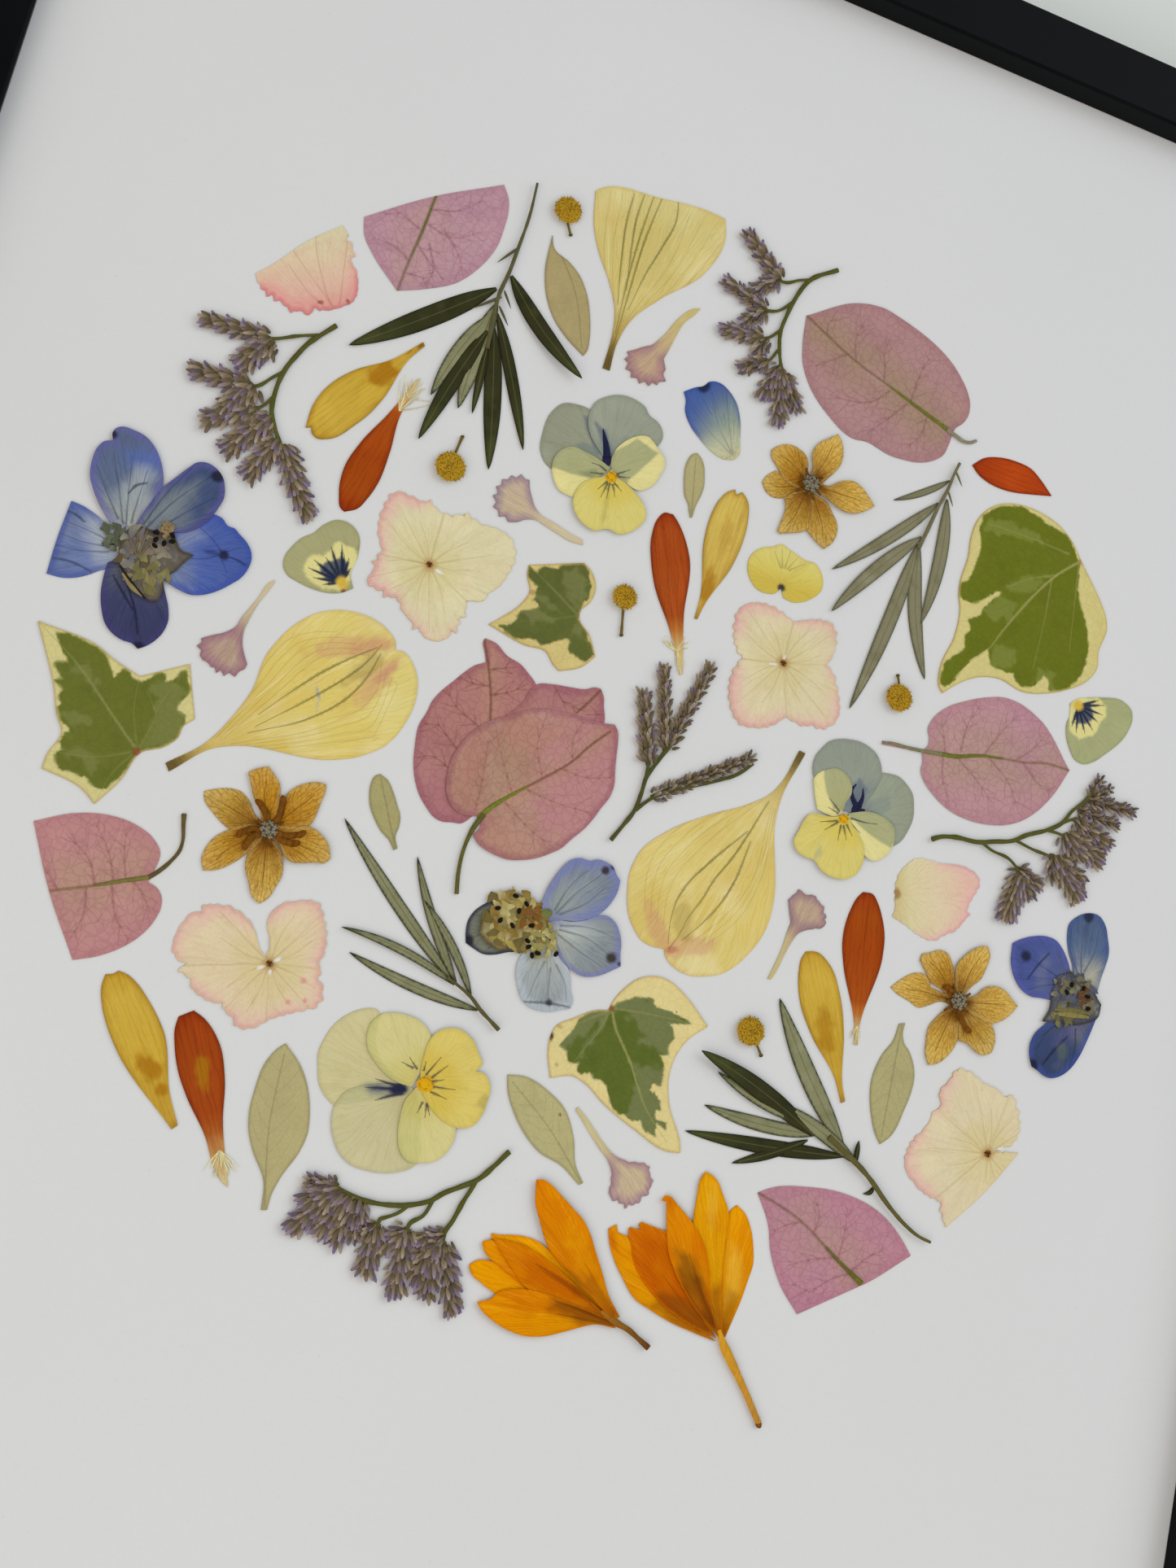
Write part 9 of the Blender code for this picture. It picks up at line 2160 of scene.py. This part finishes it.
CROCUS_RELIEF = dict(curl=0.32, ripple=0.18, rib=0.1, streak=0.1)
CROCUS_SHADE = pts(30.5, -99.3, 37.8, -100.3, 42.7, -105.6, 35.4, -105.4, 27.9, -102.7)
layered("crocus_2", [
    ((43.5, -105), (43.5, -81), [],
     crocus_petal(ORANGE, 271, [
         # The pale yellow patch is a painted highlight.
         (pts(42, -88, 44, -90, 44, -99, 43, -100, 42.4, -95), rgb(236, 190, 60), 0.5),
         (pts(43, -96, 45.6, -97, 45, -105, 42.6, -105), rgb(160, 92, 8), 0.55)], base_reach=0.42)),
    ((43, -105), (18, -91), [],
     crocus_petal(rgb(220, 142, 0), 275,
                  [
                      (pts(17, -91, 18.6, -91, 20, -94.6, 18, -93.4), ORANGE_RED, 0.8),
                      (CROCUS_SHADE, rgb(160, 92, 8), 0.6)],
                  [(pts(42, -105.2, 34, -102.6, 27, -99), rgb(150, 84, 6), 0.35)], base_reach=0.5)),
    ((43, -105), (23, -89.5), [],
     crocus_petal(rgb(198, 102, 0), 279,
                  [
                      (pts(24, -91, 31, -90, 36, -97, 38, -102, 32, -102, 26, -97), rgb(188, 86, 0), 0.6),
                      (CROCUS_SHADE, rgb(140, 74, 6), 0.7)],
                  [(pts(42.4, -105, 36, -101.6, 29.6, -96.6), rgb(134, 70, 6), 0.4),
                   (pts(42, -105, 34, -102.4, 28, -98.6), rgb(146, 80, 6), 0.35)], base_reach=0.5)),
    ((43.4, -104.8), (34.5, -77), [],
     crocus_petal(rgb(220, 154, 2), 283,
                  [
                      (pts(35.6, -78.4, 37.4, -82, 37.4, -86, 36, -83), rgb(230, 182, 60), 0.45),
                      (pts(39, -97, 41.6, -95, 44, -105, 41, -105), rgb(150, 84, 8), 0.65)])),
    ((43.2, -105), (28, -83), [],
     crocus_petal(rgb(216, 130, 0), 287,
                  [
                      (pts(26, -82.6, 28, -82.6, 29.4, -86, 27.4, -84), ORANGE_RED, 0.75),
                      (pts(31, -91.6, 34, -92, 37.4, -96, 39, -100.4, 36.6, -99.4, 33, -96), CROCUS_GREEN,
                       0.75),
                      (pts(34, -103.6, 37, -101, 42, -102, 44, -105.6, 40, -106, 36, -105), CROCUS_BROWN,
                       0.75),
                      (pts(32.4, -95, 35, -95.4, 39.5, -98.1, 42.8, -105.4, 38, -104), rgb(134, 72, 6), 0.6),
                      (pts(42, -103.4, 37, -98, 33, -92.4, 36, -96, 40, -101), rgb(112, 66, 8), 0.6),
                      (pts(42, -104.4, 39, -103.4, 35.4, -102.6, 39, -102.6), rgb(112, 62, 8), 0.6)],
                  [(pts(42.6, -104.4, 38, -98.4, 33.8, -91.8), rgb(112, 60, 6), 0.4),
                   (pts(42.4, -104.6, 36.8, -100.4, 31.6, -95), rgb(134, 72, 4), 0.35)], base_reach=0.4)),
], MAT_CROCUS, CROCUS_RELIEF, crocus_2_extras, overlap_shading=((0.94, 0.82, 0.8), 4))


# ---------------------------------------------------------------- sprigs of narrow leaves
BLADE_PROFILE = [(0, 0.16), (0.06, 0.42), (0.16, 0.74), (0.3, 0.95), (0.46, 1.0), (0.62, 0.93), (0.78, 0.7),
                 (0.9, 0.42), (0.97, 0.18)]


def blade_outline(x0, y0, x1, y1, widest, bend):
    """The outline of a narrow leaf from its base to its tip, and its middle line."""
    base, tip = np.array([x0, y0], float), np.array([x1, y1], float)
    axis = tip - base
    side = np.array([-axis[1], axis[0]]) / np.hypot(*axis)
    left, right, middle = [], [], []
    for t, w in BLADE_PROFILE:
        centre = base + axis * t + side * bend * 4 * t * (1 - t)
        left.append(centre + side * w * widest / 2)
        right.append(centre - side * w * widest / 2)
        middle.append(centre)
    return np.array(right + [tip] + left[::-1]), middle[:-1]


def paint_dark(s):
    s.gradient([(0, rgb(50, 50, 26)), (0.6, rgb(52, 52, 28)), (1, rgb(74, 78, 40))])
    s.mottle(rgb(76, 76, 42), 0.45, 3.0, 301)
    s.mottle(rgb(34, 34, 20), 0.5, 2.2, 302, 0.0)
    s.margin(0.35, rgb(28, 28, 16), 0.8)
    s.tint_veins(rgb(92, 92, 56), 0.7)


def paint_grey(s):
    s.mix(rgb(132, 132, 98), 1.0)
    s.mottle(rgb(152, 150, 118), 0.5, 3.0, 303)
    s.mottle(rgb(100, 100, 66), 0.4, 2.2, 304, 0.0)
    s.mix(rgb(40, 42, 22), 0.95 * (1 - step_up(0.14, 0.42, s.edge)))
    s.tint_veins(rgb(88, 88, 54), 0.7)


def paint_grey_soft(s):
    s.mix(rgb(130, 126, 98), 1.0)
    s.mottle(rgb(152, 148, 122), 0.5, 3.0, 305)
    s.mottle(rgb(98, 96, 66), 0.5, 2.2, 306, 0.0)
    s.mix(rgb(72, 70, 46), 0.85 * (1 - step_up(0.08, 0.45, s.edge)))
    s.tint_veins(rgb(98, 94, 64), 0.7)


BLADE_SPACING, BLADE_THICKNESS, STEM_HEIGHT = 0.42, 0.16, 0.95


def sprig(name, paints, material, stem_colour, lifts=None, buds=()):
    """Narrow leaves on a stem; lifts are the heights of the tips of some, buds are (x, y, x, y, width)."""
    piece = Piece()
    for i, blade in enumerate(BLADES[name]):
        outline, middle = blade_outline(*blade)
        sheet = Sheet(outline, blade[:2], blade[2:4], [(VEIN_WIDTH, middle)],
                      spacing=min(SPACING, BLADE_SPACING))
        sheet.straight()
        paints[i](sheet)
        sheet.settle(curl=0.15, ripple=0.2, rib=-0.08, seed=i + 3, streak=0.03)
        sheet.height = sheet.height + 0.16 * step_up(0, 0.9, sheet.edge) + 0.12 * (i % 4)
        if lifts and i in lifts:
            sheet.height = sheet.height + lifts[i] * np.clip(sheet.along, 0, 1) ** 2
        piece.add_sheet(sheet, BLADE_THICKNESS, follow=True)
    for first, last, line in STEMS[name]:
        piece.add_tube(line, (first * 0.55, (first + last) * 0.32, last * 0.68), stem_colour, STEM_HEIGHT,
                       knots=0.2, seed=4)
    for x0, y0, x1, y1, size in buds:
        piece.add_lump(((x0 + x1) / 2, (y0 + y1) / 2, 0.9), (math.hypot(x1 - x0, y1 - y0), size, 0.5),
                       stem_colour * 0.9, math.degrees(math.atan2(y1 - y0, x1 - x0)), rings=6, pointed=0.8)
    piece.make(name, material, name)


D, G = paint_dark, paint_grey
sprig("sprig_dark", [D, D, G, D, D, D, G, D], MAT_DARK_LEAF, rgb(92, 88, 58), {0: 0.3, 1: 1.6},
      [(-44.6, 90, -48.3, 85, 0.8), (-45.6, 78.5, -50.7, 74, 0.9), (-45.6, 80, -43.3, 76.7, 0.7),
       (-45.8, 76.5, -43, 73, 0.8)])
sprig("sprig_grey", [paint_grey_soft] * 6, MAT_GREY_LEAF, rgb(112, 106, 74), None,
      [(56.4, 77.6, 58.6, 74.6, 0.7), (55.4, 73, 57.4, 69.6, 0.7)])
sprig("sprig_small", [G] * 5, MAT_GREY_LEAF, rgb(90, 84, 50))
sprig("sprig_dark_2", [D, D, D, G, G, G, G, D, D], MAT_DARK_LEAF, rgb(96, 90, 50), {2: 1.4})


# ---------------------------------------------------------------- statice twigs
MAT_STATICE = dried("Dried statice", streak=0.0, grain=0.5, grain_size=0.25, rough=(0.65, 0.85), bump=0.7)
FEET = [rgb(104, 92, 62), rgb(90, 78, 52), rgb(118, 104, 76), rgb(82, 72, 50)]
HUSKS = [rgb(150, 132, 116), rgb(132, 114, 98), rgb(166, 150, 134), rgb(114, 98, 86)]
VIOLETS = [rgb(136, 120, 142), rgb(120, 104, 130), rgb(150, 134, 152), rgb(104, 90, 110)]


def statice(name, violet, stem_colour=rgb(84, 84, 38), full=1.0):
    """A twig with spikelets packed in rows along its heads, brown at the foot and violet at the tip."""
    piece = Piece()
    for first, last, line in STEMS[name]:
        piece.add_tube(line, (first * 0.75, (first + last) * 0.4, last * 0.85), stem_colour, 0.7, knots=0.25,
                       seed=7)
    count = 0
    for x0, y0, x1, y1, width in SPIKES[name]:
        start, way = np.array([x0, y0]), unit(np.array([x1 - x0, y1 - y0]))
        side = np.array([-way[1], way[0]])
        length = math.hypot(x1 - x0, y1 - y0)
        heading = math.degrees(math.atan2(way[1], way[0]))
        width = width * full
        # A dark tube along each head: its stalk, made wide and dark so the gaps between the spikelets read as
        # painted shade.
        piece.add_tube([start, start + way * length * 0.85], (width * 0.3, width * 0.42, width * 0.25),
                       rgb(92, 80, 58), 0.4, flat=0.5, knots=0.2)
        rows = max(3, round(width / 0.95))
        stations = max(4, int(length / 1.0))
        for i in range(stations):
            for k in range(rows):
                count += 1
                wave = math.sin(count * 12.9898)
                share = min(1.0, (i + 0.3 + 0.4 * (k % 2)) / stations)
                row = (2 * k / (rows - 1) - 1) * (1 - 0.35 * share)
                lean = heading + row * 40 + wave * 18
                aim = np.array([math.cos(math.radians(lean)), math.sin(math.radians(lean))])
                long = min(2.7, 0.55 * width) * (0.9 + 0.16 * wave)
                foot = start + way * (length * share * 0.9) + side * row * max(0.1, width * 0.5 - long * 0.5)
                middle = foot + aim * long * 0.42
                tip = HUSKS[(count * 3) % 4]
                if math.sin(count * 7.13) < violet * 2 - 1:
                    tip = VIOLETS[count % 4]
                piece.add_lump((*middle, 1.0 - 0.3 * abs(row) + 0.14 * wave),
                               (long, max(0.8, long * 0.4), 0.65), FEET[(count * 5) % 4], lean, rings=4,
                               sides=5, rough=0.25, seed=count, pointed=0.3, end_colour=tip)
    piece.make(name, MAT_STATICE, name)


statice("statice_top", 0.55, full=1.4)
statice("statice_left", 0.5, full=1.2)
statice("statice_centre", 0.08, rgb(78, 78, 40), full=0.95)
statice("statice_right", 0.5, full=1.15)
statice("statice_bottom", 0.7)


# ---------------------------------------------------------------- mimosa balls
MAT_MIMOSA = dried("Dried mimosa", streak=0.0, grain=0.6, grain_size=0.22, rough=(0.75, 0.95), bump=0.9)
MIMOSA_TONES = [rgb(186, 148, 36), rgb(208, 170, 60), rgb(164, 126, 26), rgb(132, 98, 24), rgb(198, 160, 44)]


MIMOSA_HAIRS = 520
MIMOSA_HEIGHT = 1.0                              # of a ball's middle above the card


def mimosa(name, x, y, r, stem):
    """A flattened ball of fine short hairs."""
    piece = Piece()
    piece.add_lump((x, y, MIMOSA_HEIGHT), (1.9 * r, 1.86 * r, 1.6), rgb(166, 130, 34), rings=10, sides=22,
                   rough=0.06)
    for i in range(MIMOSA_HAIRS):
        share = (i + 0.5) / MIMOSA_HAIRS
        lean, turn = math.acos(1 - share), i * GOLDEN_ANGLE + x + 0.9 * math.sin(i * 12.9898)
        far = r * (0.9 + 0.06 * math.sin(i * 5.7)) * math.sin(lean)
        heading = math.degrees(turn) + (0 if share > 0.86 else 160 * math.sin(i * 78.233))
        piece.add_lump((x + far * math.cos(turn), y + far * math.sin(turn),
                        MIMOSA_HEIGHT + 0.84 * math.cos(lean)), (0.42 + 0.5 * (share > 0.86), 0.2, 0.2),
                       MIMOSA_TONES[int(99 * abs(math.sin(i * 3.7))) % 5], heading, rings=3, sides=4)
    piece.add_tube(stem, (0.55, 0.5, 0.6), rgb(108, 92, 44), 0.5, knots=0.25, seed=3)
    end = np.asarray(stem, float)[-1]
    piece.add_lump((*end, 0.5), (0.9, 0.7, 0.5), rgb(88, 74, 38), 30)
    piece.make(name, MAT_MIMOSA)


mimosa("mimosa_1", -37, 101.3, 2.85, pts(-36.4, 98.8, -35.9, 97.9, -35.2, 96.6))
mimosa("mimosa_2", -47.2, 41.2, 3.05, pts(-46.9, 44, -46.6, 46, -46.3, 48))
mimosa("mimosa_3", -7.4, 27.5, 2.5, pts(-7, 25.2, -6.7, 23.2, -6.2, 20))
mimosa("mimosa_4", 53.7, 26, 2.9, pts(53.4, 28.6, 53.1, 29.6, 52.7, 30.6))
mimosa("mimosa_5", 36.7, -48, 2.85, pts(38.4, -49.8, 39.2, -50.8, 40, -51.9))


# ---------------------------------------------------------------- the frame and its back
def dress(node, material):
    """Gives a CAD node that stays its material."""
    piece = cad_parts[node]
    piece.data.materials.clear()
    piece.data.materials.append(material)


def black_paint():
    n = Nodes("Black satin paint")
    place = object_space(n)
    fine = n.noise(2600, 3.0, place)
    broad = n.noise(60, 3.0, place)
    n.link(n.mix(n.remap(broad, 0.35, 0.65), rgb(4, 6, 7), rgb(8, 10, 11)), n.shader.inputs["Base Color"])
    n.link(n.remap(broad, 0.3, 0.7, 0.40, 0.5), n.shader.inputs["Roughness"])
    n.link(n.bump(fine, 0.18, 0.05), n.shader.inputs["Normal"])
    n.shader.inputs["Specular IOR Level"].default_value = 0.06
    return n.material


def card_paper():
    n = Nodes("White card")
    place = object_space(n)
    tooth = n.noise(1500, 6.0, place, 0.7)
    broad = n.noise(14, 3.0, place)
    specks = n.node("ShaderNodeTexVoronoi", {"Vector": place, "Scale": 240.0}).outputs["Distance"]
    white = n.mix(n.remap(broad, 0.3, 0.7), rgb(212, 212, 211), rgb(210, 210, 209))
    white = n.mix(n.remap(tooth, 0.35, 0.7, 0.0, 0.3), white, rgb(204, 204, 203))
    white = n.mix(n.remap(specks, 0.035, 0.02, 0.0, 0.35), white, rgb(160, 156, 150))
    n.link(white, n.shader.inputs["Base Color"])
    n.link(n.bump(tooth, 0.12, 0.04), n.shader.inputs["Normal"])
    n.shader.inputs["Roughness"].default_value = 0.82
    n.shader.inputs["Specular IOR Level"].default_value = 0.12
    return n.material


def hardboard():
    n = Nodes("Brown hardboard")
    place = object_space(n)
    fibre = n.noise(420, 8.0, place, 0.7, 1.4)
    broad = n.noise(24, 3.0, place)
    brown = n.mix(n.remap(fibre, 0.35, 0.7), rgb(128, 96, 62), rgb(160, 124, 82))
    brown = n.mix(n.remap(broad, 0.4, 0.7, 0.0, 0.35), brown, rgb(110, 82, 52))
    n.link(brown, n.shader.inputs["Base Color"])
    n.link(n.bump(fibre, 0.4, 0.15), n.shader.inputs["Normal"])
    n.shader.inputs["Roughness"].default_value = 0.78
    return n.material


def zinc():
    n = Nodes("Zinc-plated steel")
    place = object_space(n)
    scratches = n.noise(700, 6.0, n.node("ShaderNodeVectorMath", {0: place, 1: (0.15, 1.0, 1.0)},
                                         operation="MULTIPLY").outputs["Vector"])
    broad = n.noise(150, 3.0, place)
    n.link(n.mix(n.remap(broad, 0.35, 0.65), rgb(168, 170, 172), rgb(190, 192, 194)),
           n.shader.inputs["Base Color"])
    n.link(n.remap(scratches, 0.3, 0.7, 0.28, 0.45), n.shader.inputs["Roughness"])
    n.link(n.bump(scratches, 0.15, 0.05), n.shader.inputs["Normal"])
    n.shader.inputs["Metallic"].default_value = 1.0
    return n.material


MAT_ZINC = zinc()
MAT_BLACK = black_paint()
for side in ("top", "bottom", "left", "right"):
    dress(f"rail_{side}", MAT_BLACK)
dress("mount_card", card_paper())
dress("backing_board", hardboard())
dress("hanger_plate", MAT_ZINC)


def solid(name, points, faces):
    """A small zinc fastener on the root."""
    mesh = bpy.data.meshes.new(name)
    mesh.from_pydata([tuple(np.array(p) * MM) for p in points], [], faces)
    mesh.materials.append(MAT_ZINC)
    piece = bpy.data.objects.new(name, mesh)
    bpy.context.scene.collection.objects.link(piece)
    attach(piece, "root")


POINT_LENGTH, POINT_WIDTH, POINT_THICKNESS = 14.0, 9.0, 0.6
POINT_SHOULDER, POINT_TIP = 0.42, 0.16           # its half-widths further in, as shares of its width
POINT_GAP = 0.2                                  # below the board
REBATE_X, REBATE_Y = 150.5, 200.5                # the inner faces of the rails behind the lip


def holding_point(name, x, y, inward):
    """A flat metal point pushed into a rail; it holds the backing board."""
    inward = np.array(inward, float)
    side = np.array([-inward[1], inward[0]])
    wall = np.array([x, y])
    low, high = BOARD_BOTTOM - POINT_GAP - POINT_THICKNESS, BOARD_BOTTOM - POINT_GAP
    ring = [wall - side * POINT_WIDTH / 2, wall + side * POINT_WIDTH / 2,
            wall + side * POINT_WIDTH * POINT_SHOULDER + inward * POINT_LENGTH * 0.7,
            wall + side * POINT_WIDTH * POINT_TIP + inward * POINT_LENGTH,
            wall - side * POINT_WIDTH * POINT_TIP + inward * POINT_LENGTH,
            wall - side * POINT_WIDTH * POINT_SHOULDER + inward * POINT_LENGTH * 0.7]
    points = [(*p, z) for z in (low, high) for p in ring]
    n = len(ring)
    clockwise = np.cross(np.append(inward, 0), np.append(side, 0))[2] < 0
    faces = [tuple(range(n)), tuple(range(2 * n - 1, n - 1, -1))]
    faces += [(i, i + n, (i + 1) % n + n, (i + 1) % n) for i in range(n)]
    if clockwise:
        faces = [f[::-1] for f in faces]
    solid(name, points, faces)


ALONG_SIDE = (-140, -45, 45, 140)
spots = [(x, -REBATE_Y, (0, 1)) for x in (-90, 0, 90)] + [(x, REBATE_Y, (0, -1)) for x in (-90, 90)]
spots += [(-REBATE_X, y, (1, 0)) for y in ALONG_SIDE] + [(REBATE_X, y, (-1, 0)) for y in ALONG_SIDE]
for number, (x, y, inward) in enumerate(spots, 1):
    holding_point(f"holding_point_{number}", x, y, inward)


PIN_RADIUS, PIN_HEIGHT, PIN_SIDES = 1.7, 0.6, 20
PIN_RINGS = ((1.0, 0.0), (1.0, 0.35), (0.75, 0.8), (0.35, 1.0))    # shares of the radius and of the height


def pin(name, x, y, z):
    """The low domed head of a pin that holds the hanger, facing down."""
    turns = np.arange(PIN_SIDES) * 2 * math.pi / PIN_SIDES
    points = [(x + PIN_RADIUS * r * math.cos(a), y + PIN_RADIUS * r * math.sin(a), z - PIN_HEIGHT * drop)
              for r, drop in PIN_RINGS for a in turns]
    faces = [tuple(range(PIN_SIDES)), tuple(range(len(points) - 1, len(points) - PIN_SIDES - 1, -1))]
    for k in range(len(PIN_RINGS) - 1):
        for i in range(PIN_SIDES):
            a, b = k * PIN_SIDES + i, k * PIN_SIDES + (i + 1) % PIN_SIDES
            faces.append((a, a + PIN_SIDES, b + PIN_SIDES, b))
    solid(name, points, faces)


HANGER_Y, HANGER_BOTTOM, PIN_X = 177.7, 9.8, 19.0
pin("hanger_pin_1", -PIN_X, HANGER_Y, HANGER_BOTTOM)
pin("hanger_pin_2", PIN_X, HANGER_Y, HANGER_BOTTOM)


# ---------------------------------------------------------------- floor, light and camera
def pale_floor():
    n = Nodes("Pale floor")
    place = object_space(n)
    broad = n.noise(5, 3.0, place)
    fine = n.noise(500, 4.0, place)
    n.link(n.mix(n.remap(broad, 0.3, 0.7), rgb(210, 212, 206), rgb(216, 218, 213)),
           n.shader.inputs["Base Color"])
    n.link(n.bump(fine, 0.1, 0.1), n.shader.inputs["Normal"])
    n.shader.inputs["Roughness"].default_value = 0.8
    return n.material


FLOOR_REACH, FLOOR_Z = 4, -0.0003                # metres
FLOOR_CORNERS = [(FLOOR_REACH * x, FLOOR_REACH * y, FLOOR_Z) for x, y in ((-1, -1), (1, -1), (1, 1), (-1, 1))]
mesh = bpy.data.meshes.new("floor")
mesh.from_pydata(FLOOR_CORNERS, [], [(0, 1, 2, 3)])
mesh.materials.append(pale_floor())
floor = bpy.data.objects.new("floor", mesh)
bpy.context.scene.collection.objects.link(floor)


def look_at_origin(obj, place):
    direction = -np.array(place, float)
    direction /= np.linalg.norm(direction)
    right = np.cross(direction, (0, 0, 1))
    right /= np.linalg.norm(right)
    up = np.cross(right, direction)
    obj.matrix_world = Matrix([[right[i], up[i], -direction[i], place[i]] for i in range(3)] + [[0, 0, 0, 1]])


LIGHT_SIZE = 1.8                                 # metres, of the square lights


def area_light(name, place, watts, colour):
    """A square light that faces the frame."""
    light = bpy.data.lights.new(name, "AREA")
    light.shape = "RECTANGLE"
    light.size = light.size_y = LIGHT_SIZE
    light.energy = watts
    light.color = colour
    obj = bpy.data.objects.new(name, light)
    bpy.context.scene.collection.objects.link(obj)
    look_at_origin(obj, place)


COOL, WARM = (0.88, 1.0, 1.07), (1.07, 1.0, 0.93)
SKY_COLOUR, SKY_STRENGTH = (0.985, 0.99, 1.0, 1.0), 0.465
area_light("window", (1.25, 0.75, 1.25), 15.6, COOL)
area_light("fill", (-0.7, -0.95, 1.25), 17.4, WARM)
world = bpy.data.worlds.new("studio")
world.use_nodes = True
sky = world.node_tree.nodes["Background"].inputs
sky["Color"].default_value = SKY_COLOUR
sky["Strength"].default_value = SKY_STRENGTH
bpy.context.scene.world = world
bpy.context.scene.view_settings.view_transform = "Standard"

SENSOR_WIDTH, LENS = 36.0, 53.21                 # mm
camera_data = bpy.data.cameras.new("camera")
camera_data.sensor_width = SENSOR_WIDTH
camera_data.lens = LENS
camera_data.clip_start = 0.01
camera = bpy.data.objects.new("camera", camera_data)
bpy.context.scene.collection.objects.link(camera)
# The rows are the camera's right, its down and its view direction, fitted to the photo.
CAMERA_PLACE = (-129.47, -101.58, 425.28)
CAMERA_AXES = ((0.91607, 0.21726, 0.33707), (0.28786, -0.94145, -0.17553), (0.2792, 0.25783, -0.92497))
camera.matrix_world = Matrix([[CAMERA_AXES[0][i], -CAMERA_AXES[1][i], -CAMERA_AXES[2][i],
                               CAMERA_PLACE[i] * MM]
                              for i in range(3)] + [[0, 0, 0, 1]])
bpy.context.scene.camera = camera
